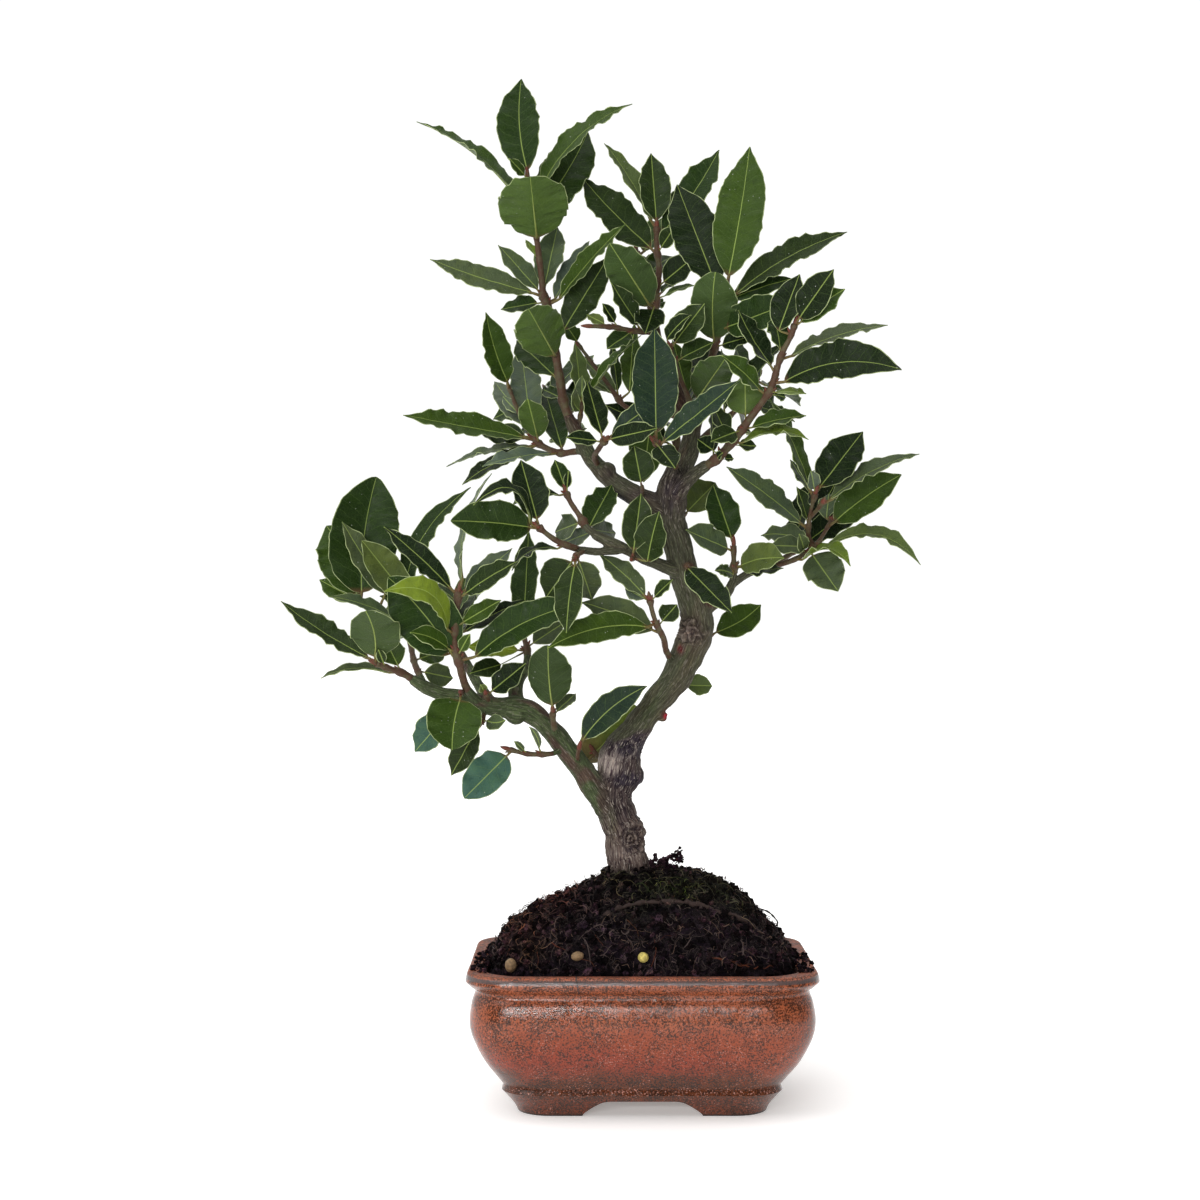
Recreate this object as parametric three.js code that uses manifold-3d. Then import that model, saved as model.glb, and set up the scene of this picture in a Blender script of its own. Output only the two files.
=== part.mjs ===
// Bay laurel bonsai in a glazed rectangular pot. Millimetres, +Z up, front towards -Y.
import * as THREE from "three";
import { mergeVertices } from "three/addons/utils/BufferGeometryUtils.js";
import Module from "manifold-3d";

const wasm = await Module();
wasm.setup();

// Pot
const RIM_WIDTH = 150;
const RIM_DEPTH = 118;
const POT_HEIGHT = 62;
const FOOT_HEIGHT = 7;
const ARCH_WIDTH = 50;
const SIDE_ARCH_WIDTH = 34;
const FLOOR_TOP = 15;
const DRAIN_DIAMETER = 11;
const DRAIN_SPACING = 64;
const SCREEN_SIZE = 24;
const SCREEN_THICKNESS = 1.1;
const SCREEN_PITCH = 7;
const SCREEN_OPENING = 5.4;

// Soil mound
const SOIL_EDGE_HEIGHT = 56;
const SOIL_GAP = 0.35;

// Leaves and twigs
const LEAF_THICKNESS = 0.8;
const JOINT_GAP = 0.3;
const LEAF_CLEARANCE = 2.3;
const WOOD_CLEARANCE = 1.3;
const SAMPLE_STEP = 2.1;
const ROOT_SHIFT = 1.4;
const FULLNESS = 0.85;
const TWIG_SIDES = 4;
const SMALLEST_BLADE = 12.5;
const WIDENING = 1.12;

// The eye from which the shoots below were measured: each x and z is where a point stands
// on the plane y = 0 as seen from there, and the third number of a twig point is its depth y.
const EYE_X = -18.1;
const EYE_DISTANCE = 950;
const EYE_HEIGHT = 219;

// Trunk and branches: x, z, depth y, radius
const LIMBS = [
  { name: "trunk", sides: 8, step: 8, points: [
    [-6, 74, 0, 8.2], [-5.6, 88, 0, 9.2], [-5.5, 101, 0, 9.6], [-6.5, 106, 0, 8.7], [-7.1, 112, 0, 8.4],
    [-7.3, 117, 0, 8.7], [-9.3, 121, 0, 8.3], [-11, 126, 0.5, 8.2], [-12.4, 131, 1, 8.1],
    [-12.3, 136, 1.5, 8.6], [-10.6, 141, 2, 9.4], [-9.6, 146, 2, 9.8], [-8.8, 151, 2, 9],
    [-6.5, 156, 2.5, 7.6], [-2.8, 161, 3, 6.6], [0.5, 166, 3, 6.1], [4, 170.5, 3.5, 5.9],
    [8, 175.5, 3.5, 6], [12.3, 180.5, 3.5, 6.4], [16, 185.5, 3, 6.9], [18.6, 191, 3, 7.3],
    [21, 196, 2.5, 7.4], [23.3, 201, 2, 7.6], [24.4, 206, 1.5, 7.7], [25, 211, 1, 7.3],
    [22.9, 220, 0, 7], [19, 230, -1, 6.4], [17.4, 238, -1.5, 6.4], [15.6, 246, -2, 6.6],
    [13.2, 254, -2, 6.6], [13.4, 262, -2, 6.9], [14.2, 270, -1, 6.5], [17.5, 277, 1, 5.4],
    [21, 285, 4, 4.6], [22.5, 293, 6, 4.1], [20, 301, 8, 3.6], [15, 312, 11, 3.1], [11, 321, 13, 2.8],
    [8.5, 330, 14, 2.5]] },
  { name: "left", sides: 7, step: 10, points: [
    [-10, 122, 0, 5.5], [-16, 129, -2, 5.6], [-22, 138, -4.5, 5.4], [-29, 148, -7.5, 5], [-36, 157, -10.5, 4.7],
    [-43, 165, -13.5, 4.6], [-50, 170, -15, 5], [-56, 171.5, -16.5, 5.2], [-63, 171.5, -18, 4.2],
    [-70, 173, -18, 3.8], [-76, 175.5, -19.5, 3.2], [-82, 176.8, -20, 3.2], [-88, 177.5, -21, 3.1],
    [-95, 180.3, -21, 2.9], [-101, 184, -22, 2.5]] },
  { name: "left_stem", sides: 5, step: 11, points: [
    [-54, 171, -15, 3.8], [-55.5, 178, -10.5, 3.4], [-54, 184, -6, 2.8], [-51, 188, -1.5, 2.2], [-50, 192, 1, 1.9]] },
  { name: "left_leader", sides: 6, step: 11, points: [
    [11, 258, -3, 5], [3, 262.5, 0, 5], [-4, 266, 2.5, 4.6], [-12, 271, 6, 4.2], [-19, 278, 10, 3.9],
    [-25, 286, 14, 3.2], [-31, 298, 17.5, 2.8]] },
  { name: "right_shoot", sides: 5, step: 11, points: [
    [22, 290, 7, 3.2], [25, 299, 6, 2.6], [27.5, 308, 5, 2.3]] },
  { name: "right_leader", sides: 5, step: 11, points: [
    [15, 264, -4.5, 4.2], [19, 270, -7.5, 3.4], [24, 275, -10.5, 2.8], [29, 278.5, -14, 2.5]] },
  { name: "right_twig", sides: 5, step: 11, points: [
    [26, 214, 1, 3.6], [33, 218, 4, 2.8], [38, 222, 5, 2.3], [40.3, 226.5, 6, 2]] },
  { name: "right_low", sides: 5, step: 11, points: [
    [40, 225.5, 6, 1.9], [46, 230, 9, 1.8], [52, 232.5, 10, 1.7], [58, 234, 10, 1.6]] },
  { name: "front_left", sides: 5, step: 11, points: [
    [17, 231, -3, 3.4], [9, 234.5, -9, 2.8], [0, 238, -15, 2.6], [-8, 242, -19.5, 2.5], [-16, 245.5, -24, 2.3],
    [-21, 248, -25.5, 1.9]] },
  { name: "front_left_low", sides: 5, step: 11, points: [
    [-7, 241.5, -19.5, 1.9], [-13, 240.7, -22.5, 1.9], [-20, 240.4, -27, 1.8], [-28, 241.3, -31.5, 1.6]] },
  { name: "back_up", sides: 5, step: 11, points: [
    [16, 238, 0, 4], [15, 247, 12, 3], [14, 258, 24, 2.5], [14, 268, 34, 2.2]] },
  { name: "back_left", sides: 5, step: 11, points: [
    [-21, 280, 9, 3], [-24, 288, 22, 2.2], [-27, 294, 32, 1.8]] },
  { name: "back_low", sides: 5, step: 11, points: [
    [-66, 172.5, -12, 3.2], [-72, 182, 4, 2.4], [-77, 191, 16, 1.9]] },
];

// Callus knobs, bud scars and cut wounds on the wood: x, z, depth y, radius
const KNOBS = [
  [-3.4, 142.5, 0, 4.9], [-5, 114, -3, 5.6], [24, 205, -2.5, 6.6], [31, 216.5, 0, 3], [-55.5, 168.5, -18, 4.6],
  [9.5, 167.5, 1, 2.4], [-15, 276, 4.5, 4.1],
];

// Each leafy shoot: its twigs (points x, z, depth y), their radii at both ends, the length of
// the stub that stays on the wood, and its leaves. A leaf is: base x, base z, tip x, tip z,
// width as seen, depth of the tip behind the base, turn of the upper face in degrees (0 faces
// the front, positive turns it up), bend of the midrib as a part of the length, tone, roundness.
const SPRAYS = [
  { name: "spray_centre_front", tone: "old", stub: 5.5, radii: [1.9, 1.2], twigs: [
    [[16, 276, -4.5], [14, 280.5, -15], [9.5, 285, -22.5], [6, 289, -27]]], leaves: [
    [7, 288, 6, 339, 19, 9, 0, 0, "old", 0.58],
    [10, 289, 44, 316.5, 10, -12, 30, 0, "old", 0.7],
    [5, 288, 15, 277.5, 10, -12, 20, 0, "old", 0.65]] },
  { name: "spray_left_leader_top", tone: "old", stub: 3, radii: [2.6, 1.1], twigs: [
    [[-31, 298, 17.5], [-34, 306, 19], [-36, 318, 20], [-37.5, 327, 20], [-40, 345, 20], [-43, 353, 20],
     [-44, 362, 19], [-46, 378, 17.5], [-48, 392, 16], [-50, 406, 15]]], leaves: [
    [-46, 379, -49, 406.5, 28, -51, 180, 0, "young", 0.42],
    [-50, 405, -53, 449.5, 18, 12, -12, -0.05, "old", 0.62],
    [-49.5, 389, -99, 430.5, 5.5, 9, 64, 0.08, "olive", 0.8],
    [-50, 405, -58, 414, 5, -9, 20, 0, "young", 0.7],
    [-47.5, 395, -4, 438.5, 8, 6, 55, 0.1, "young", 0.8],
    [-47, 387, -23.5, 426, 20, 21, 10, -0.03, "old", 0.6],
    [-43, 354, -37, 384, 12, 15, 25, 0, "old", 0.65],
    [-46, 368, -51, 378, 3, 7.5, 50, 0, "young", 0.7],
    [-43.5, 353, -93, 370, 9.5, -6, 35, -0.02, "olive", 0.75],
    [-43.5, 353, -63, 376, 9, 9, 30, 0, "mid", 0.7],
    [-43, 350, -62, 347.5, 8, 9, 30, 0, "deep", 0.65],
    [-36, 352, -7, 385.5, 8, -12, 45, 0.02, "mid", 0.75],
    [-38, 352, -23, 378, 8, 18, 30, 0, "dusty", 0.7],
    [-34, 338.5, -14.5, 371, 13, 6, 15, 0, "old", 0.65],
    [-38, 327, -50, 348, 21, -39, 180, 0, "olive", 0.5],
    [-36.5, 315, -55, 334, 14, 24, 20, 0, "deep", 0.65],
    [-35, 308, -43, 312, 6, 18, 20, 0, "old", 0.7]] },
  { name: "spray_left_leader_side", tone: "deep", stub: 5, radii: [1.9, 1], twigs: [
    [[-24, 285, 14], [-30, 284.5, 17.5], [-36, 284, 21], [-45, 288, 26], [-50, 295, 31], [-54, 302, 35],
     [-58, 312, 39]]], leaves: [
    [-44, 289, -50, 308, 12, -21, 170, 0, "olive", 0.55],
    [-58, 312, -68.5, 346, 12, -6, 20, -0.03, "mid", 0.65],
    [-49, 297, -53, 332, 13, 9, 15, 0, "old", 0.65],
    [-48, 289, -105, 301, 9, -15, 50, 0, "mid", 0.75],
    [-49, 290, -71, 293, 9, 6, 30, 0, "deep", 0.65],
    [-45, 288, -86, 278, 3.5, 9, 68, 0.05, "dusty", 0.8],
    [-36, 284, -70, 278, 6, -21, 55, 0.04, "dusty", 0.75],
    [-35, 286, -43, 314, 11, 3, 20, 0, "deep", 0.6],
    [-45.5, 288, -79, 270, 6, -12, 55, 0.04, "deep", 0.7],
    [-50, 296, -65, 316, 12, 24, 15, 0, "dusty", 0.65],
    [-53, 300, -61, 309, 5, 12, 20, 0, "deep", 0.7]] },
  { name: "spray_left_leader_short", tone: "mid", stub: 6.4, radii: [1.4, 0.9], twigs: [
    [[-28.5, 293, 15.5], [-27, 299, 17.5], [-26, 306, 20]]], leaves: [
    [-26.5, 304, -29, 333, 7, 6, 45, 0, "mid", 0.75],
    [-25.5, 306, -26, 318, 5, -7.5, 20, 0, "young", 0.7],
    [-25, 307, 0, 336, 4, -9, 64, 0.04, "mid", 0.8],
    [-27, 300, -29, 313, 4, -12, 55, -0.15, "mid", 0.75]] },
  { name: "spray_left_leader_inner", tone: "old", stub: 5, radii: [1.7, 1.1], twigs: [
    [[-18, 277, 9.5], [-20.5, 282, 0], [-18.5, 286, -9], [-16, 289.5, -15]]], leaves: [
    [-16.5, 289, -24, 316, 9, 9, 25, 0, "deep", 0.7],
    [-16.5, 289, -33, 291, 6, -6, 40, 0, "deep", 0.7],
    [-14, 291, 15, 311.5, 9, -12, 30, 0.02, "old", 0.7],
    [-15.5, 289, 7, 295, 9, -21, 10, 0, "mid", 0.6]] },
  { name: "leaf_left_leader", tone: "dusty", stub: 6.2, radii: [1.1, 0.9], twigs: [
    [[0.5, 263.5, 1], [0.6, 266.5, -7.5], [0.5, 268.5, -13.5]]], leaves: [
    [0.5, 268, -3, 287, 13, -3, 8, 0, "dusty", 0.55]] },
  { name: "spray_centre_left", tone: "mid", stub: 5.5, radii: [1.6, 0.9], twigs: [
    [[20, 299, 10], [10, 301.5, 17.5], [0, 303.5, 22.5], [-7, 304.5, 27.5], [-15, 315, 34], [-21, 323, 37.5],
     [-27, 331, 41]]], leaves: [
    [-5, 311, -3, 341.5, 8, 0, 30, 0, "mid", 0.7],
    [-9, 309, -13, 333, 5, 6, 40, 0, "deep", 0.75],
    [5, 302, 1, 271, 14, 4, 15, 0, "deep", 0.6],
    [-10, 307, -27, 327, 6, -12, 50, 0.02, "dusty", 0.75],
    [-11, 309, -26, 319, 5, -15, 50, -0.05, "dusty", 0.75],
    [-27, 331, -34, 342, 7, 3, 30, 0, "deep", 0.7]] },
  { name: "spray_centre_top", tone: "mid", stub: 3, radii: [2.3, 1.2], twigs: [
    [[9, 328, 17], [6.5, 340, 20], [6.5, 352, 21], [8, 365, 21], [7, 375, 20.5], [7, 384, 20]],
    [[6.5, 337, 19.5], [-4, 338, 12.5], [-12, 339.5, 9], [-22, 340, 6]]], leaves: [
    [4, 349, -14, 377, 17.5, -30, 170, 0, "mid", 0.52],
    [5, 371, -26, 406, 16, 6, 20, -0.02, "deep", 0.6],
    [6.5, 383, -16, 421, 7, 9, 50, 0.03, "mid", 0.75],
    [7.5, 383, 4.5, 416.5, 14, 3, 10, 0, "old", 0.65],
    [8, 377, 34.5, 418, 14, 6, 20, -0.03, "young", 0.65],
    [6.5, 350, 2, 337, 12, -15, 20, 0, "deep", 0.6],
    [10, 357, 24, 371, 11, -9, 20, 0, "mid", 0.65],
    [8, 372, 15, 384, 7, -9, 20, 0, "deep", 0.65],
    [7, 352, 18, 364, 3, 9, 60, 0, "mid", 0.8],
    [7, 352, 24, 358, 3, -6, 60, 0.05, "mid", 0.8],
    [0, 338, -13, 359, 8, -9, 35, 0, "deep", 0.7],
    [-10, 339.5, -17, 350, 5, -6, 30, 0, "mid", 0.7],
    [-3, 338, -15, 330, 8, 6, 20, 0, "deep", 0.6],
    [-14, 339.5, -24, 345, 5, 9, 20, 0, "dusty", 0.6]] },
  { name: "spray_centre_mid", tone: "olive", stub: 6, radii: [1.6, 0.9], twigs: [
    [[21, 297, 7.5], [21.5, 306, 0], [17, 318, -6], [13, 330, -12]]], leaves: [
    [22, 307, 14, 334, 7, 6, 45, 0, "deep", 0.7],
    [11.5, 334, 22, 345, 7, -9, 30, 0.05, "dusty", 0.7],
    [16, 324, 32, 333, 9, 9, 20, 0, "deep", 0.6],
    [13, 330, 28, 350, 12, -9, 20, 0, "olive", 0.6]] },
  { name: "spray_right_shoot", tone: "mid", stub: 3, radii: [2.2, 1.2], twigs: [
    [[27, 306, 5], [31, 325, 0], [34, 336, -3], [36, 345, -6], [38, 357, -9]]], leaves: [
    [31, 330, 33, 364, 18.5, -24, 176, 0, "mid", 0.42],
    [38, 357, 48, 419.5, 19.5, 12, 12, -0.01, "mid", 0.62],
    [36, 338, 65, 350, 15, -21, 15, 0, "deep", 0.5],
    [33, 330, 50, 336, 8, -12, 30, 0, "old", 0.7],
    [42, 354, 91, 382, 10, 12, 40, 0.05, "deep", 0.75],
    [40, 352, 67, 361, 9, 4, 30, 0.02, "deep", 0.65],
    [33, 358, 16, 403, 20, 24, 10, 0, "deep", 0.6],
    [25, 308, 38, 327, 15, -18, 165, 0, "olive", 0.5]] },
  { name: "spray_right_leader", tone: "deep", stub: 3, radii: [2.4, 1.1], twigs: [
    [[27.5, 277.5, -13.5], [33, 281, -17], [37, 285, -19.5], [43, 292, -24], [48, 299, -27], [54, 307, -30],
     [58, 314, -33], [62, 327, -37.5], [66, 335, -39], [68, 341, -40.5]]], leaves: [
    [33, 281, 36, 284, 3.5, -6, 20, 0, "young", 0.6],
    [33.5, 281, 41, 281.5, 3.5, -3, 40, 0, "young", 0.7],
    [31.5, 282, 31, 303, 3.5, 12, 55, 0, "mid", 0.8],
    [42, 286, 74, 290, 5, -9, 60, 0.13, "young", 0.8],
    [40, 287, 51, 287, 5, 3, 35, 0, "deep", 0.7],
    [45, 294, 73, 300.5, 7, -6, 50, 0.03, "olive", 0.75],
    [44, 295, 31, 289, 9, -12, 20, 0, "deep", 0.65],
    [38, 292, 31, 306, 8, 9, 25, 0, "deep", 0.7],
    [34, 284, 25, 290, 8, 12, 20, 0, "deep", 0.6],
    [45, 297, 46, 318, 15, -15, 170, 0, "young", 0.55],
    [52, 312, 36, 327, 8, 12, 35, 0, "old", 0.7],
    [56, 310, 64, 308.5, 4, 6, 30, 0, "deep", 0.7],
    [56.5, 311, 73, 310, 4, -9, 55, 0.03, "young", 0.8],
    [59, 315, 115, 321, 16, -24, 20, 0.11, "deep", 0.65],
    [64, 324, 109, 340.5, 5, 6, 62, 0.05, "dusty", 0.8],
    [58, 319, 43, 347, 8, 6, 50, -0.03, "deep", 0.7],
    [61, 328, 59, 344, 9, 12, 30, 0, "deep", 0.65],
    [61, 338, 70, 363, 12, 3, 25, 0, "deep", 0.65],
    [67.5, 340, 85, 365, 12, -3, 20, 0, "deep", 0.65],
    [69, 339, 90, 356.5, 9, -12, 35, 0.03, "olive", 0.7]] },
  { name: "spray_right_low", tone: "deep", stub: 7, radii: [1.8, 1.1], twigs: [
    [[39.8, 225, 6], [41, 231, 6], [41, 236, 6], [41, 243, 6]]], leaves: [
    [41, 233, 63, 237.5, 12.5, -18, 25, 0.06, "young", 0.6],
    [41.2, 231, 63, 233, 6, 9, 50, -0.05, "deep", 0.7],
    [41, 243, 32, 270, 13, 6, 15, 0, "deep", 0.6],
    [40.5, 240, 20, 250, 11, -12, 30, 0, "dusty", 0.62],
    [40.5, 230, 33, 232, 5, -6, 20, 0, "mid", 0.7]] },
  { name: "spray_right_end", tone: "mid", stub: 2.5, radii: [1.6, 1], twigs: [
    [[57, 233.7, 10], [64, 235.5, 9], [70, 238, 6], [77, 243, 2.5]],
    [[76.5, 242.5, 2.5], [74, 248, -1.5], [75, 258, -9], [77, 266, -13.5]],
    [[75, 256, -7.5], [78, 259, -13.5], [80, 262, -18]],
    [[77, 243, 2.5], [80, 247, 6], [84, 254, 10]]], leaves: [
    [75, 240, 87, 223, 16, -18, 5, 0, "dusty", 0.55],
    [68, 237, 92.5, 234, 5, -24, 60, 0.22, "young", 0.8],
    [78, 243, 123.5, 234.5, 5, -9, 60, 0.22, "mid", 0.8],
    [77, 242, 57, 243, 7, -9, 40, 0, "deep", 0.7],
    [76.5, 243, 53, 247.5, 8, 9, 45, 0.1, "old", 0.75],
    [72, 241, 70, 248, 6, -12, 10, 0, "mid", 0.6],
    [82, 251, 115, 274.5, 15, -9, 20, 0.03, "olive", 0.6],
    [80, 261, 123, 283.5, 5, 6, 62, 0.06, "dusty", 0.8],
    [77, 266, 98, 293.5, 15, 12, 15, 0, "deep", 0.62],
    [75.5, 264, 57, 308, 7, -6, 50, 0.03, "mid", 0.75],
    [75, 264, 66, 281, 5, 12, 50, 0, "deep", 0.75],
    [77, 266, 75, 276, 6, -9, 20, 0, "dusty", 0.65],
    [74, 252, 69, 269, 5, -9, 50, 0, "deep", 0.75],
    [82, 255, 83, 266, 8, 15, 20, 0, "dusty", 0.65],
    [74, 250, 38, 278, 9, -12, 45, 0.02, "olive", 0.75]] },
  { name: "spray_trunk_front", tone: "dusty", stub: 5, radii: [1.4, 1.1], twigs: [
    [[20.5, 234, -6], [20.5, 234.5, -15], [20.5, 234, -19.5]]], leaves: [
    [20.5, 233, 40, 213.5, 11, -18, 20, 0, "dusty", 0.6],
    [20.5, 232, 31, 222, 7, -6, 10, 0, "young", 0.6]] },
  { name: "leaf_trunk_right", tone: "mid", stub: 7, radii: [1.2, 1], twigs: [
    [[25, 201, 5], [28, 201.5, 11], [30.5, 203, 15.5]]], leaves: [
    [31, 202, 53, 217, 13, 9, 15, -0.06, "mid", 0.62]] },
  { name: "leaf_trunk_low", tone: "mid", stub: 7, radii: [1.1, 0.9], twigs: [
    [[13, 181, 6], [15, 181.2, 14], [17.5, 181.4, 17.5]]], leaves: [
    [18, 181.5, 31.5, 181, 9, 6, 15, 0, "mid", 0.6]] },
  { name: "leaf_trunk_high", tone: "mid", stub: 8.2, radii: [1.2, 1], twigs: [
    [[14, 254, 0], [16.5, 254.5, 8], [18.5, 256, 12]]], leaves: [
    [19, 256, 33, 271, 14, 12, 15, 0, "mid", 0.6]] },
  { name: "spray_trunk_left", tone: "olive", stub: 5, radii: [1.7, 1], twigs: [
    [[13, 193, -1.5], [11, 197, -12], [10, 202, -18], [7, 208, -22.5], [5, 214, -25.5], [4, 219, -27]]], leaves: [
    [8, 204, -26, 218, 12, -9, 25, 0.03, "deep", 0.7],
    [3, 207, -41, 198, 11, -21, 20, 0.08, "mid", 0.7],
    [4, 218, -18, 239, 8, 6, 40, 0.03, "olive", 0.7],
    [3, 218, -7, 224, 6, 9, 20, 0, "dusty", 0.65],
    [4.5, 218.5, 14, 228, 5, -6, 40, 0, "mid", 0.7],
    [7.5, 207, 16, 217, 8, 4.5, 20, 0, "mid", 0.65]] },
  { name: "leaf_crotch_front", tone: "dusty", stub: 7.6, radii: [1.2, 0.9], twigs: [
    [[-27.5, 146.5, -7.5], [-28, 150, -16], [-27.4, 153.5, -19.5]]], leaves: [
    [-25.5, 157.5, 2.5, 181, 13, -7.5, 10, 0, "dusty", 0.65]] },
  { name: "leaf_crotch_back", tone: "pale", stub: 10.5, radii: [1.2, 0.9], twigs: [
    [[-12, 146, 5], [-18.5, 149.5, 11], [-21, 152.5, 12.5]]], leaves: [
    [-20.5, 154, -3, 170.5, 11, 4.5, 150, 0, "pale", 0.6]] },
  { name: "leaf_left_branch", tone: "olive", stub: 9, radii: [1.9, 1.1], twigs: [
    [[-37.5, 158.5, -11], [-38.2, 162, -18], [-38.8, 166, -22], [-39, 169.5, -24]]], leaves: [
    [-39, 169, -41, 199, 21, -21, 178, -0.02, "olive", 0.45],
    [-38.8, 168, -28.8, 177.7, 5, 12, 40, 0, "deep", 0.7]] },
  { name: "spray_left_branch_low", tone: "dusty", stub: 8.2, radii: [1.4, 1], twigs: [
    [[-34.5, 153, -10.5], [-40, 151, -16.5], [-50, 151, -19.5], [-58, 153, -22.5]]], leaves: [
    [-57, 152.5, -78, 131.5, 19, -9, 10, 0, "dusty", 0.45],
    [-50, 151.5, -56, 156.5, 2.8, -3, 20, 0, "young", 0.6],
    [-44, 152, -49.5, 163, 2.6, -6, 30, 0.1, "young", 0.7]] },
  { name: "spray_left_knot_down", tone: "deep", stub: 5.5, radii: [1.4, 1], twigs: [
    [[-68, 172.5, -18], [-69.5, 168, -21], [-70.5, 165.5, -22.5]]], leaves: [
    [-71, 166, -84, 141.5, 11, 3, 20, 0, "deep", 0.65],
    [-85, 169, -100, 152, 13, 6, 20, 0, "dusty", 0.6],
    [-69.5, 165, -60, 166, 6, 9, 30, -0.1, "old", 0.65]] },
  { name: "leaf_left_front", tone: "mid", stub: 5.4, radii: [1.3, 1], twigs: [
    [[-78.5, 177, -20], [-79.5, 178.5, -28], [-79.8, 178.5, -31.5]]], leaves: [
    [-80, 177, -83.5, 153, 22.5, -12, 5, 0.04, "mid", 0.4]] },
  { name: "spray_left_knot_up", tone: "old", stub: 5.2, radii: [1.3, 1], twigs: [
    [[-66, 172.5, -18], [-68, 176, -24], [-68.5, 177.5, -27]]], leaves: [
    [-68, 177, -51, 191, 9.5, -3, 20, 0, "old", 0.65],
    [-69, 177, -71, 181.5, 4, -6, 10, 0, "young", 0.5]] },
  { name: "spray_left_stem", tone: "deep", stub: 6.4, radii: [1.9, 1.1], twigs: [
    [[-50.5, 190, 0], [-50.2, 195, 4], [-50.8, 199, 6], [-52, 204, 10]]], leaves: [
    [-52, 203, -50, 250, 11, 12, 25, 0, "deep", 0.7],
    [-51, 195, -77, 198.5, 7, -6, 40, 0, "pale", 0.7],
    [-51, 198, -34, 209, 9, 6, 20, 0, "dusty", 0.6],
    [-62, 190.5, -75.5, 186.5, 8, -3, 15, 0, "olive", 0.65]] },
  { name: "spray_front_hanging", tone: "dusty", stub: 4, radii: [1.3, 1], twigs: [
    [[-24.5, 240.8, -29.5], [-27, 239.5, -36], [-28.7, 238.5, -40]]], leaves: [
    [-29, 238, -33, 204.5, 11, -6, 20, 0.02, "dusty", 0.65],
    [-29, 238.5, -42, 220, 16, 9, 15, 0, "old", 0.6],
    [-28, 238, -21.5, 219, 12, 12, 20, 0, "mid", 0.6]] },
  { name: "spray_front_up", tone: "mid", stub: 8, radii: [1.9, 1], twigs: [
    [[-19, 247.2, -25], [-24, 251, -25.5], [-27, 256, -22.5], [-31, 262, -19.5], [-33, 266.5, -18]]], leaves: [
    [-23, 251, -13, 270, 12, 6, 20, 0, "mid", 0.65],
    [-22, 250, -11, 248.5, 9, 24, 20, 0, "dusty", 0.6],
    [-22, 249, -36, 243.5, 7, 9, 15, 0, "dusty", 0.6],
    [-26, 252, -38, 249, 10, 18, 20, 0, "dusty", 0.6],
    [-33, 265.5, -57, 261, 4, -9, 60, 0.12, "mid", 0.8],
    [-32.5, 265, -38, 281, 7, 6, 30, 0, "mid", 0.7],
    [-33, 266, -32, 276, 3.4, -4.5, 20, 0, "young", 0.7]] },
  { name: "spray_front_left", tone: "deep", stub: 3, radii: [1.7, 1.1], twigs: [
    [[-26.5, 241, -31], [-35, 244, -36], [-40, 247, -39], [-45, 251, -42]]], leaves: [
    [-34, 242.5, -57, 232, 4, -6, 60, 0.18, "mid", 0.8],
    [-45, 249.5, -84, 254, 16, -12, 20, 0.02, "deep", 0.5],
    [-45.5, 251, -53, 281, 14, 9, 15, 0, "deep", 0.6],
    [-45, 252, -74, 261, 4.5, 0, 58, 0.4, "deep", 0.8]] },
  { name: "spray_front_base", tone: "dusty", stub: 4.5, radii: [1.3, 1], twigs: [
    [[-3, 239, -16.5], [-3.6, 237.5, -23], [-4, 237, -27]]], leaves: [
    [-4, 237.5, 0, 266, 12, 3, 5, 0, "dusty", 0.62],
    [3, 236, 8, 258, 13, 9, 20, 0.02, "mid", 0.62]] },
  { name: "spray_left_end", tone: "olive", stub: 3, radii: [2.1, 1.1], twigs: [
    [[-99.5, 183, -21.5], [-105, 186.5, -24], [-112, 189, -28.5], [-117, 191, -31.5]]], leaves: [
    [-117, 191, -121.5, 214.5, 19.5, -21, 178, 0.06, "olive", 0.42],
    [-116, 191, -159, 218.5, 7.5, 6, 50, -0.03, "olive", 0.75],
    [-107, 186, -141.5, 184.5, 2.6, -6, 66, 0.1, "young", 0.8],
    [-105, 189, -114, 203, 10, 9, 20, 0, "mid", 0.65],
    [-112, 191, -116, 197, 4, -9, 10, 0, "pale", 0.6]] },
  { name: "spray_left_upright", tone: "mid", stub: 5.5, radii: [1.7, 1], twigs: [
    [[-96, 182, -21], [-100, 191, -9], [-102, 200, 2.5], [-105, 209, 10], [-114, 214, 14], [-124, 217.5, 15]]],
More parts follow.
